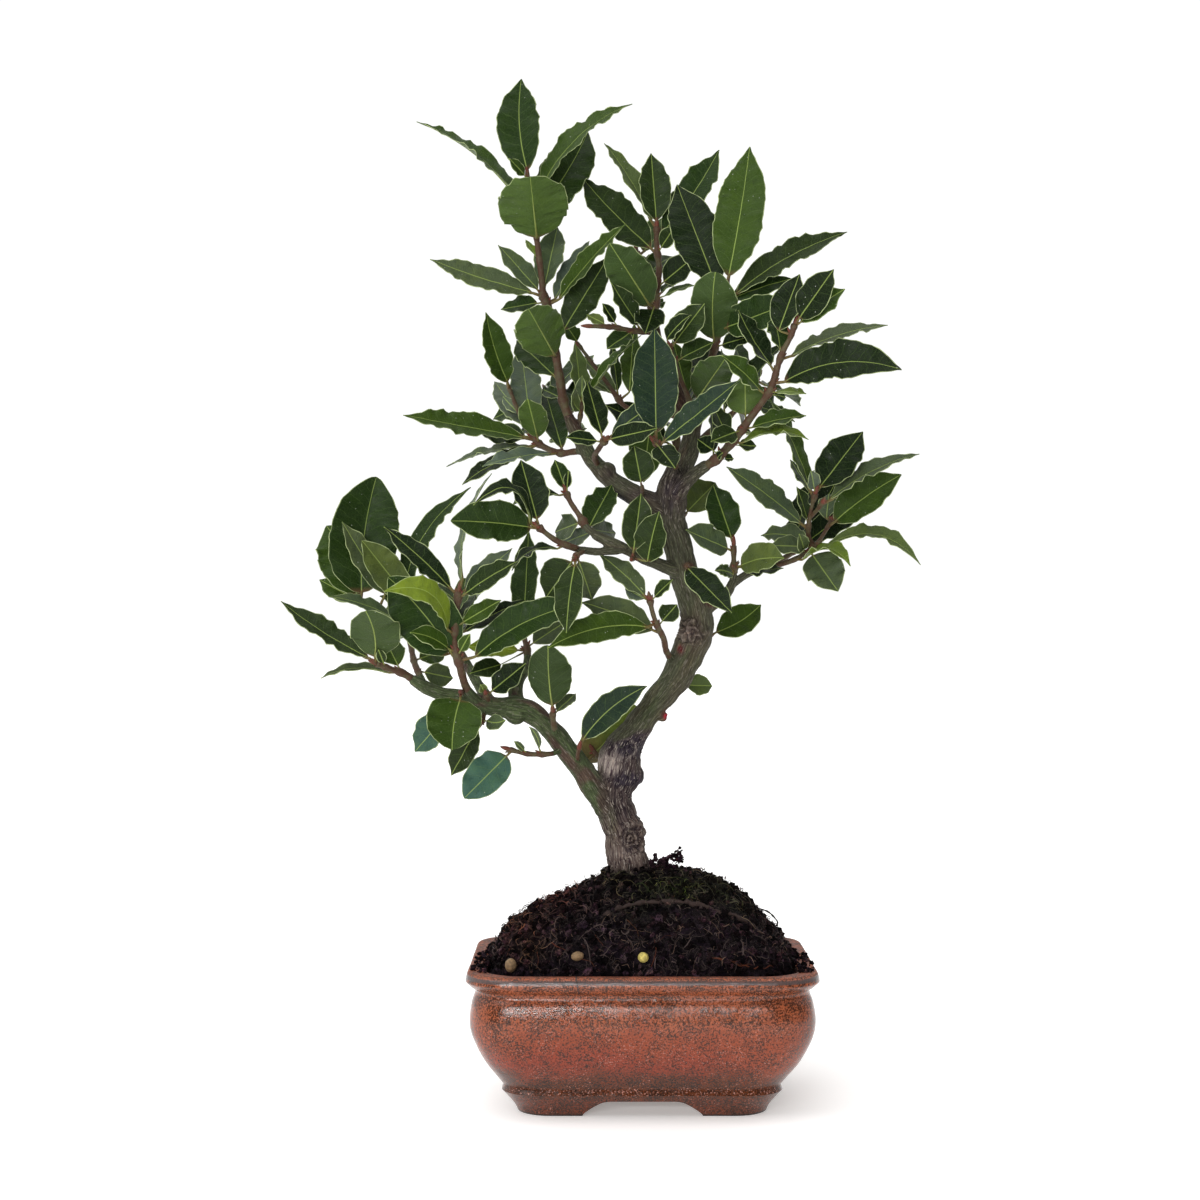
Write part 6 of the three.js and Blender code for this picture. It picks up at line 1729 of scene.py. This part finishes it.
def add_blade(stock, blade, tint, draw, settings):
    """The blade as a thin body with waved, crisped edges."""
    rows = int(np.clip(round(blade.length / 1.15), 12, 46))
    t = np.linspace(0, 1, rows)
    u = 0.5 * t + 0.5 * (1 - np.cos(math.pi * t)) / 2
    v = np.array([-1, -0.94, -0.72, -0.44, -0.15, 0, 0.15, 0.44, 0.72, 0.94, 1])
    taper = settings.tip_taper * np.clip(2.6 * blade.roundness - 0.55, 0.35, 1)
    point = 1 - taper * np.clip((u - 0.73) / 0.27, 0, 1) ** 1.6
    root = 1 - 0.4 * np.clip((0.2 - u) / 0.2, 0, 1) ** 1.5
    swell = np.sin(math.pi * u**0.86).clip(0) ** (FULLNESS * blade.roundness) * point * root
    reach = np.maximum(0.34 - 0.2 * u, 0.5 * blade.width * swell)
    left, right, lift_left, lift_right = (ripple(draw, blade.length) for _ in range(4))
    scallop = np.where(v[None] < 0, left(u)[:, None], right(u)[:, None]) * np.abs(v)[None]
    points = blade.surface(u, v, reach)
    across, up = blade.axes(u)
    ends = np.sin(math.pi * u.clip(0.02, 0.98))[:, None] ** 0.6
    teeth = settings.scallop * np.clip(2.2 * blade.roundness - 0.66, 0.25, 1)
    sideways = teeth * blade.width * scallop * np.sign(v)[None] * np.abs(v)[None] ** 2 * ends
    points += across[:, None] * sideways[..., None]
    crisp = np.where(v[None] < 0, lift_left(u)[:, None], lift_right(u)[:, None]) * np.abs(v)[None] ** 2.4
    points += up[:, None] * (settings.edge_wave * (blade.width + 4) * crisp * ends)[..., None]
    quilt = rumple(points.reshape(-1, 3), 4.5, 0.3, 13).reshape(points.shape[:2])
    points += up[:, None] * quilt[..., None]
    down_u = np.gradient(points, axis=0)
    down_v = np.gradient(points, axis=1)
    normals = units(np.cross(down_v, down_u))
    thick = settings.blade_thickness / MM * (1 - 0.5 * np.abs(v)[None, :, None] ** 4)
    upper = (points + 0.5 * thick * normals).reshape(-1, 3)
    lower = (points - 0.5 * thick * normals).reshape(-1, 3)
    count, columns = len(upper), len(v)
    faces = grid_faces(rows, columns) + grid_faces(rows, columns, flip=True, offset=count)
    last = columns - 1
    for r in range(rows - 1):
        a, b = r * columns, (r + 1) * columns
        faces.append((a + last, count + a + last, count + b + last, b + last))
        faces.append((a, b, count + b, count + a))
    top = (rows - 1) * columns
    for c in range(columns - 1):
        faces.append((c, count + c, count + c + 1, c + 1))
        faces.append((top + c, top + c + 1, count + top + c + 1, count + top + c))
    # across the blade the mark runs in millimetres from the midrib, so that lines keep their width
    marks = np.stack([np.broadcast_to(u[:, None] * blade.length, (rows, columns)), v * reach[:, None]], -1)
    marks = 0.5 + marks.reshape(-1, 2) / MAP_SPAN
    edge = np.broadcast_to(np.abs(v), (rows, columns)) * reach[:, None]
    edge = (reach[:, None] - edge + 0.35 * np.clip(1.8 - reach, 0, 1)[:, None]).reshape(-1)
    under = np.concatenate([np.zeros(count), np.ones(count)])
    blush = np.clip(1 - u / (0.5 if blade.roundness < 0.37 else 0.05), 0, 0.75)[:, None]
    skin = np.repeat(tint * (1 - blush) + np.array(FLUSH) * blush, columns, 0)
    body = np.concatenate([upper, lower])
    stock.add(body, faces, 0, np.tile(skin, (2, 1)), np.tile(marks, (2, 1)), under, np.tile(edge, 2))


def add_stalk(stock, blade, settings):
    """The stalk and the midrib under the blade, which thin out towards the tip."""
    path = petiole_path(blade)
    run = runs_of(path)
    run /= run[-1]
    stalk = settings.stalk / MM * (0.7 + 0.01 * blade.length)
    radii = stalk * np.interp(run, [0, 0.1, 0.22, 0.6, 1], [1.15, 0.95, 0.6, 0.36, 0.12])
    place = ((path - blade.base) @ blade.along / blade.length).clip(0, 1)
    path = path - blade.axes(place)[1] * ((radii - 0.1) * (place > 0.02))[:, None]
    shade = np.interp(run, [0, 0.12, 0.3, 1], [0, 0.35, 1, 1])[:, None]
    rib = np.array(PETIOLE) * (1 - shade) + np.array(RIB) * shade
    sides = 6
    body, faces = tube(path, radii, sides)
    stock.add(body, faces, 1, np.concatenate([np.repeat(rib, sides, 0), rib[:1], rib[-1:]]))


def add_twig(stock, path, blades, draw):
    """A twig that swells where leaves stand and ends in a bud."""
    at, radius = path
    radius = radius.copy()
    for blade in blades:
        distance = np.linalg.norm(at - blade.start, axis=1)
        radius += 0.34 * np.exp(-((distance / 1.5) ** 2))
    radius *= 0.88 + rumple(at, 2.2, 0.12, 14)
    root = at[0] - unit(at[1] - at[0]) * 1.4
    at, radius = np.concatenate([[root], at]), np.concatenate([radius[:1] * 0.96, radius])
    stock.add(*tube(at, radius, 10), 2, TWIG)
    way = unit(at[-1] - at[-3])
    add_bud(stock, at[-1] + way * 1.4, way, 2.6 + draw(), 1.05)


def add_bud(stock, at, way, length, width):
    """A pointed bud of overlapping scales."""
    points, faces = ball(at, (width, width, length), 7, 8, way)
    reach = ((points - at) @ way / length).clip(-1, 1)
    spine = at + way * (reach * length)[:, None]
    points = spine + (points - spine) * (1 - 0.35 * reach.clip(0))[:, None]
    stock.add(points, faces, 2, BUD)


def leafy_shoot(shoot, index, settings):
    """A shoot in one piece: its blades, stalks, twigs and buds."""
    draw = dice(FORM_SEED + index)
    stock = Stock()
    for blade in shoot["blades"]:
        base = np.array(colour(getattr(settings, blade.tone))[:3])
        shade = 0.93 + 0.14 * draw()
        warm = (draw() - 0.5) * 0.08
        tint = base * shade * np.array([1 + warm, 1, 1 - warm])
        add_blade(stock, blade, tint, draw, settings)
        add_stalk(stock, blade, settings)
    for path in shoot["shown"]:
        at = path[0]
        near = [b for b in shoot["blades"] if np.linalg.norm(at - b.start, axis=1).min() < 1]
        add_twig(stock, path, near, draw)
        for blade in near:
            i = int(np.linalg.norm(at - blade.start, axis=1).argmin())
            ahead = unit(at[min(len(at) - 1, i + 1)] - at[max(0, i - 1)])
            way = unit(unit(blade.base - blade.start) + 0.9 * ahead)
            add_bud(stock, blade.start + way * (path[1][i] + 0.7), way, 1.3 + 0.8 * draw(), 0.62)
    return stock.piece("shoot_" + shoot["spray"]["name"], [leaf_skin(), rib_skin(), twig_skin()])


@functools.lru_cache(maxsize=1)
def leaf_skin():
    """The blade's skin: midrib, slanted side veins, fine net, pale margin and blotches."""
    settings = bpy.context.scene.bonsai_leaves
    f = Finish("bay_leaf", roughness=0.4, specular_ior_level=0.11)
    mark = f.node("UVMap", {}, uv_map="blade").outputs["UV"]
    run, side = (f.times(f.minus(f.axis(name, mark), 0.5), MAP_SPAN) for name in "XY")
    v = f.math("ABSOLUTE", side)
    under = f.attribute("under", "Fac")
    inset = f.attribute("inset", "Fac")
    steps = f.minus(f.math("DIVIDE", run, 4.3), f.times(f.math("POWER", v, 0.8), 0.2))
    steps = f.plus(steps, f.times(f.noise(7, 2), 0.9))
    steps = f.plus(steps, f.times(f.math("GREATER_THAN", side, 0), 0.4))
    vein = f.math("PINGPONG", steps, 0.5)
    veins = f.times(f.band(vein, 0.05, 0.012), f.band(inset, 0.3, 1.6))
    net = f.band(f.cells(1.3, "DISTANCE_TO_EDGE"), 0.07, 0.01)
    tint = f.attribute("tint")
    cloud = f.noise(8, 3, 0.6)
    f.base = f.mix(f.band(cloud, 0.4, 0.68, 0, 0.4), tint, f.shaded(tint, (1.45, 1.4, 0.8, 1)))
    blot = f.band(f.noise(2.4, 4), 0.52, 0.72, 0, 0.45)
    f.lay(blot, f.shaded(tint, (0.45, 0.5, 0.6, 1)))
    lower = f.mix(0.14, f.shaded(f.base, (1.25, 1.15, 1.3, 1)), colour(settings.underside))
    f.lay(under, lower)
    f.lay(f.times(veins, 0.1), colour(settings.vein))
    f.lay(f.times(net, 0.06), colour(settings.vein))
    specks = f.band(f.cells(2.6), 0.1, 0.06)
    specks = f.times(specks, f.band(f.noise(9, 1), 0.45, 0.6, 0, 0.7))
    f.lay(specks, (0.4, 0.42, 0.36, 1))
    thin = f.math("MAXIMUM", f.minus(0.42, f.times(run, 0.005)), 0.2)
    rib = f.band(v, thin, f.times(thin, 0.3))
    f.lay(f.times(rib, 0.55), colour(settings.midrib))
    rim = f.times(f.band(inset, 0.4, 0.16), f.band(f.noise(5, 2), 0.3, 0.7, 0.4, 1))
    f.lay(rim, colour(settings.margin))
    rough = f.band(f.noise(3, 3), 0.35, 0.65, 0.34, 0.5)
    relief = f.plus(f.times(veins, -1), f.times(net, -0.4))
    return f.made(rough, f.bump(relief, 0.5, 0.25, f.bump(cloud, 0.4, 1.1)))


@functools.lru_cache(maxsize=1)
def rib_skin():
    """The skin of stalks and midribs, with darker clouds."""
    f = Finish("leaf_stalk", roughness=0.5, specular_ior_level=0.3)
    tint = f.attribute("tint")
    f.base = f.mix(f.noise(2, 3), tint, f.shaded(tint, (0.7, 0.65, 0.6, 1)))
    rough = f.band(f.noise(1, 2), 0.3, 0.7, 0.42, 0.6)
    return f.made(rough, f.bump(f.noise(0.5, 3), 0.3, 0.12))


@functools.lru_cache(maxsize=1)
def twig_skin():
    """Young bark: reddish, greenish in clouds, with pale dots."""
    f = Finish("young_twig", roughness=0.6, specular_ior_level=0.25)
    f.base = f.mix(f.band(f.noise(3.5, 4), 0.42, 0.66), f.attribute("tint"), (0.08, 0.066, 0.032, 1))
    dots = f.band(f.cells(0.9), 0.22, 0.1)
    f.lay(f.times(dots, 0.3), (0.2, 0.15, 0.11, 1))
    rough = f.band(f.noise(1, 2), 0.3, 0.7, 0.5, 0.75)
    return f.made(rough, f.bump(f.noise(0.6, 4), 0.6, 0.25))


# Pellets and drain screens

def pellets(settings):
    """The fertiliser pellets, grainy and a little lumpy."""
    made = []
    for number, pellet in enumerate(PELLETS):
        stock = Stock()
        points, faces = ball(np.zeros(3), pellet["size"], 26, 34)
        cos, sin = math.cos(pellet["turn"]), math.sin(pellet["turn"])
        points = points @ np.array([[cos, sin, 0], [-sin, cos, 0], [0, 0, 1]])
        lumps = rumple(points, 1.3, 0.16, 20 + number) + rumple(points, 0.5, 0.07, 30 + number)
        points = points + units(points) * lumps[:, None]
        stock.add(points + seen(*pellet["at"]), faces)
        tone = settings.yellow if pellet["tone"] == "yellow" else settings.brown
        made.append(stock.piece(pellet["name"] + "_grain", [pellet_skin(pellet["tone"], tone)]))
    return made


def pellet_skin(name, tone):
    """Dusty pressed grain with dark pits."""
    f = Finish(name + "_pellet", roughness=0.8)
    dust = f.noise(0.9, 4, 0.65)
    f.base = f.mix(f.band(dust, 0.36, 0.66), colour(tone, 0.62), colour(tone, 1.15))
    f.lay(f.band(f.cells(0.7), 0.2, 0.08, 0, 0.5), colour(tone, 0.35))
    return f.made(f.band(dust, 0.3, 0.7, 0.62, 0.88), f.bump(dust, 0.6, 0.3))


def mesh_plastic():
    """Black plastic netting, dusted with soil."""
    f = Finish("drain_mesh_plastic", roughness=0.5)
    cloud = f.noise(3, 3)
    f.base = f.mix(cloud, (0.012, 0.012, 0.012, 1), (0.03, 0.029, 0.027, 1))
    f.lay(f.band(f.noise(5, 3), 0.5, 0.7, 0, 0.6), (0.09, 0.06, 0.04, 1))
    weave = f.math("SINE", f.times(f.axis("X"), 2 * math.pi / (1.6 * MM)))
    relief = f.bump(weave, 0.3, 0.1, f.bump(f.noise(0.8, 3), 0.4, 0.15))
    return f.made(f.band(cloud, 0.3, 0.7, 0.4, 0.65), relief)


# Stage

def studio(settings):
    """A pale floor, soft lights and the camera at the eye from which the tree was measured."""
    scene = bpy.context.scene
    floor_of(settings)
    scene.world = sky_of(settings)
    sun = bpy.data.lights.new("key_light", "SUN")
    sun.energy = settings.key
    sun.angle = math.radians(55)
    key = in_scene("key_light", sun)
    key.rotation_euler = Vector((-0.42, -0.45, 1)).to_track_quat("Z", "Y").to_euler()
    lamp = bpy.data.lights.new("window", "AREA")
    lamp.shape = "RECTANGLE"
    lamp.size, lamp.size_y = 1.3, 0.11
    lamp.energy = settings.side
    window = in_scene("window", lamp)
    window.location = Vector(POT_MIDDLE) + Vector((-0.6, -2, 0.62))
    window.rotation_euler = Vector((0.6, 2, -0.52)).to_track_quat("-Z", "Y").to_euler()
    lens = bpy.data.cameras.new("camera")
    lens.lens = LENS
    lens.sensor_width = 36
    lens.sensor_fit = "HORIZONTAL"
    camera = in_scene("camera", lens)
    camera.location = Vector(POT_MIDDLE) + Vector((EYE_X, -EYE_DISTANCE, EYE_HEIGHT)) * MM
    camera.rotation_euler = (math.pi / 2, 0, 0)
    scene.camera = camera
    scene.view_settings.view_transform = "Standard"


def floor_of(settings):
    """A wide pale floor with a painted glow, which lifts its shadow and lights the tree a little from below.
    """
    half = 6
    corners = [(-half, -half), (half, -half), (half, half), (-half, half)]
    mesh = bpy.data.meshes.new("studio_floor")
    mesh.from_pydata([(x, y, POT_LOW.z) for x, y in corners], [], [(0, 1, 2, 3)])
    f = Finish("studio_floor_paper", roughness=0.7)
    paper = f.mix(f.noise(300, 2), colour(settings.floor), colour(settings.floor, 0.985))
    f.set(base_color=paper, emission_color=(1, 0.975, 0.94, 1), emission_strength=settings.glow)
    mesh.materials.append(f.material)
    return in_scene("studio_floor", mesh)


def sky_of(settings):
    """A sky that is brightest high up behind the tree; the wall itself is as pale as the floor."""
    brightest = (-0.2, 0.68, 0.7)
    wall = 1.05
    world = bpy.data.worlds.new("studio")
    f = Nodes(world, "Generated")
    towards = f.node("VectorMath", {0: f.coordinates, 1: brightest}, operation="DOT_PRODUCT")
    strength = f.band(towards.outputs["Value"], -0.15, 0.6, settings.front, settings.surround)
    direct = f.node("LightPath", {}).outputs["Is Camera Ray"]
    shown = f.node("Mix", {0: direct, 2: strength, 3: wall}).outputs[0]
    sky = f.tree.nodes["Background"]
    f.plug(sky, "Color", (1, 1, 1, 1))
    f.plug(sky, "Strength", shown)
    return world


# Settings, one group for each kind of piece

def tone_property(name, description, default):
    return FloatVectorProperty(
        name=name, description=description, subtype="COLOR_GAMMA", size=3, min=0, max=1, default=default
    )


def length_property(name, description, default):
    return FloatProperty(name=name, description=description, unit="LENGTH", default=default)


def amount_property(name, description, default):
    return FloatProperty(name=name, description=description, default=default, min=0)


class BonsaiPotSettings(bpy.types.PropertyGroup):
    glaze: tone_property("Glaze", "Main colour of the glaze", (0.485, 0.214, 0.108))
    glaze_warm: tone_property("Warm glaze", "Redder clouds in the glaze", (0.462, 0.158, 0.092))
    glaze_rim: tone_property("Rim glaze", "Orange glaze towards the rim", (0.535, 0.295, 0.195))
    glaze_low: tone_property("Low glaze", "Olive-brown glaze near the foot", (0.298, 0.16, 0.078))
    # This colour paints the fine dark specks and also the painted shade along the bottom of the feet.
    dark_speck_and_foot_shade: tone_property("Dark specks", "Fine dark specks", (0.155, 0.088, 0.048))
    # This colour paints the pale specks and also the painted highlight along the groove above the foot.
    pale_speck_and_highlight: tone_property("Pale specks", "Pinkish pale specks", (0.72, 0.5, 0.44))
    lip_edge: tone_property("Lip edge", "Worn grey line round the lip", (0.27, 0.25, 0.25))
    unevenness: length_property("Unevenness", "How far the hand-made wall wavers", 0.0003)


class BonsaiSoilSettings(bpy.types.PropertyGroup):
    peat: tone_property("Peat", "Dark peat", (0.12, 0.09, 0.118))
    peat_fibre: tone_property("Fibres", "Reddish-brown fibres", (0.3, 0.19, 0.15))
    crumbs: IntProperty(name="Crumbs", description="How many crumbs lie on the mound", default=4300, min=0)
    fibres: IntProperty(name="Fibres", description="How many fibres lie on the mound", default=3300, min=0)


class BonsaiWoodSettings(bpy.types.PropertyGroup):
    grain: length_property("Grain", "Size of the wood's mesh", 0.00062)
    bark_depth: length_property("Bark depth", "Relief of the bark", 0.00075)
    dash: tone_property("Dashes", "Pale dashes along the bark", (0.6, 0.56, 0.52))
    lichen: tone_property("Lichen", "Pale green bloom on the bark", (0.45, 0.46, 0.34))


class BonsaiLeafSettings(bpy.types.PropertyGroup):
    old: tone_property("Old leaves", "Darkest green leaves", (0.062, 0.111, 0.033))
    deep: tone_property("Deep leaves", "Dark saturated green leaves", (0.122, 0.190, 0.062))
    shade: tone_property("Shaded leaves", "Dark grey-green leaves", (0.133, 0.184, 0.080))
    mid: tone_property("Mid leaves", "Plain green leaves", (0.188, 0.263, 0.081))
    # Painted sheen: leaves that look pale and grey from the sheen on them take this paler tone.
    dusty: tone_property("Dusty leaves", "Grey-green leaves", (0.268, 0.315, 0.219))
    olive: tone_property("Olive leaves", "Light olive leaves", (0.304, 0.356, 0.193))
    pale: tone_property("Pale leaves", "Pale blue-green leaves", (0.309, 0.355, 0.303))
    young: tone_property("Young leaves", "Light yellow-green leaves", (0.340, 0.415, 0.140))
    lime: tone_property("Lime leaves", "Bright new leaves", (0.422, 0.486, 0.157))
    teal: tone_property("Teal leaves", "Dark blue-green leaves", (0.118, 0.178, 0.138))
    mint: tone_property("Mint leaves", "Light blue-green leaves", (0.225, 0.335, 0.285))
    vein: tone_property("Veins", "Side veins", (0.45, 0.56, 0.3))
    midrib: tone_property("Midrib", "The main vein", (0.62, 0.7, 0.36))
    margin: tone_property("Margin", "Thin pale edge", (0.66, 0.71, 0.5))
    underside: tone_property("Underside", "The lower face", (0.45, 0.54, 0.33))
    blade_thickness: length_property("Blade thickness", "Thickness of a blade", 0.0004)
    stalk: length_property("Stalk", "Radius of a leaf stalk", 0.0006)
    edge_wave: amount_property("Edge wave", "Rise of the crisped margin as a share of the width", 0.075)
    scallop: amount_property("Scallop", "Sideways waver of the margin as a share of the width", 0.046)
    tip_taper: amount_property("Tip taper", "How far the tip is drawn to a point", 0.74)


class BonsaiPelletSettings(bpy.types.PropertyGroup):
    yellow: tone_property("Yellow pellet", "Fresh fertiliser pellet", (0.78, 0.71, 0.38))
    brown: tone_property("Brown pellets", "Weathered fertiliser pellets", (0.5, 0.4, 0.28))


class BonsaiStageSettings(bpy.types.PropertyGroup):
    floor: tone_property("Floor", "Colour of the floor", (0.97, 0.97, 0.97))
    # The floor's glow is painted light: the floor emits it.
    glow: amount_property("Glow", "Light that the pale floor gives back", 0.28)
    surround: amount_property("Surround", "Strength of the light from behind", 1.05)
    front: amount_property("Front", "Strength of the even light from the front", 0.12)
    key: amount_property("Key light", "Strength of the broad key light", 1.25)
    side: FloatProperty(name="Side light", description="Power of the side softbox", unit="POWER", default=22)


SETTINGS = {
    "bonsai_pot": BonsaiPotSettings,
    "bonsai_soil": BonsaiSoilSettings,
    "bonsai_wood": BonsaiWoodSettings,
    "bonsai_leaves": BonsaiLeafSettings,
    "bonsai_pellets": BonsaiPelletSettings,
    "bonsai_stage": BonsaiStageSettings,
}


# Operators

def tie(piece, node):
    """Hides the part that a piece replaces, if there is one, and ties the piece to the one body."""
    if node:
        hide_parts(node)
    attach(piece, "root")


class BONSAI_OT_pot(bpy.types.Operator):
    """Make the glazed pot"""

    bl_idname = "bonsai.pot"
    bl_label = "Glazed pot"

    def execute(self, context):
        tie(glazed_pot(context.scene.bonsai_pot), "pot")
        return {"FINISHED"}


class BONSAI_OT_soil(bpy.types.Operator):
    """Make the mound of peat with its crumbs and fibres"""

    bl_idname = "bonsai.soil"
    bl_label = "Soil"

    def execute(self, context):
        settings = context.scene.bonsai_soil
        tie(soil_mound(settings), "soil")
        tie(soil_crumbs(settings), None)
        tie(soil_fibres(settings), None)
        return {"FINISHED"}


class BONSAI_OT_wood(bpy.types.Operator):
    """Make the trunk and branches"""

    bl_idname = "bonsai.wood"
    bl_label = "Trunk and branches"

    def execute(self, context):
        tie(wood(context.scene.bonsai_wood), "trunk_and_branches")
        return {"FINISHED"}


class BONSAI_OT_shoots(bpy.types.Operator):
    """Make every leafy shoot"""

    bl_idname = "bonsai.shoots"
    bl_label = "Leafy shoots"

    def execute(self, context):
        for index, shoot in enumerate(crown().shoots):
            piece = leafy_shoot(shoot, index, context.scene.bonsai_leaves)
            tie(piece, shoot["spray"]["name"])
        return {"FINISHED"}


class BONSAI_OT_pellets(bpy.types.Operator):
    """Make the fertiliser pellets"""

    bl_idname = "bonsai.pellets"
    bl_label = "Fertiliser pellets"

    def execute(self, context):
        for pellet, piece in zip(PELLETS, pellets(context.scene.bonsai_pellets)):
            tie(piece, pellet["name"])
        return {"FINISHED"}


class BONSAI_OT_drain_screens(bpy.types.Operator):
    """Finish the plastic mesh over the drain holes"""

    bl_idname = "bonsai.drain_screens"
    bl_label = "Drain screens"

    def execute(self, context):
        plastic = mesh_plastic()
        for name in ("drain_screen_left", "drain_screen_right"):
            for slot in bpy.data.objects[name].material_slots:
                slot.material = plastic
        return {"FINISHED"}


class BONSAI_OT_stage(bpy.types.Operator):
    """Set up the floor, the lights and the camera"""

    bl_idname = "bonsai.stage"
    bl_label = "Stage"

    def execute(self, context):
        studio(context.scene.bonsai_stage)
        return {"FINISHED"}


OPERATORS = [
    BONSAI_OT_stage,
    BONSAI_OT_pot,
    BONSAI_OT_soil,
    BONSAI_OT_wood,
    BONSAI_OT_shoots,
    BONSAI_OT_pellets,
    BONSAI_OT_drain_screens,
]


class BONSAI_PT_pieces(bpy.types.Panel):
    """Lists the pieces and their settings"""

    bl_idname = "BONSAI_PT_pieces"
    bl_label = "Bonsai"
    bl_space_type = "VIEW_3D"
    bl_region_type = "UI"
    bl_category = "Bonsai"

    def draw(self, context):
        for operator in OPERATORS:
            self.layout.operator(operator.bl_idname)
        for name, group in SETTINGS.items():
            box = self.layout.box()
            box.label(text=name.replace("_", " ").capitalize())
            for key in group.__annotations__:
                box.prop(getattr(context.scene, name), key)


CLASSES = [*SETTINGS.values(), *OPERATORS, BONSAI_PT_pieces]


def register():
    for item in CLASSES:
        bpy.utils.register_class(item)
    for name, group in SETTINGS.items():
        setattr(bpy.types.Scene, name, PointerProperty(type=group))


def unregister():
    for name in SETTINGS:
        delattr(bpy.types.Scene, name)
    for item in reversed(CLASSES):
        bpy.utils.unregister_class(item)


def main():
    """Makes every piece."""
    register()
    for operator in OPERATORS:
        group, name = operator.bl_idname.split(".")
        getattr(getattr(bpy.ops, group), name)()


if __name__ == "__main__":
    main()
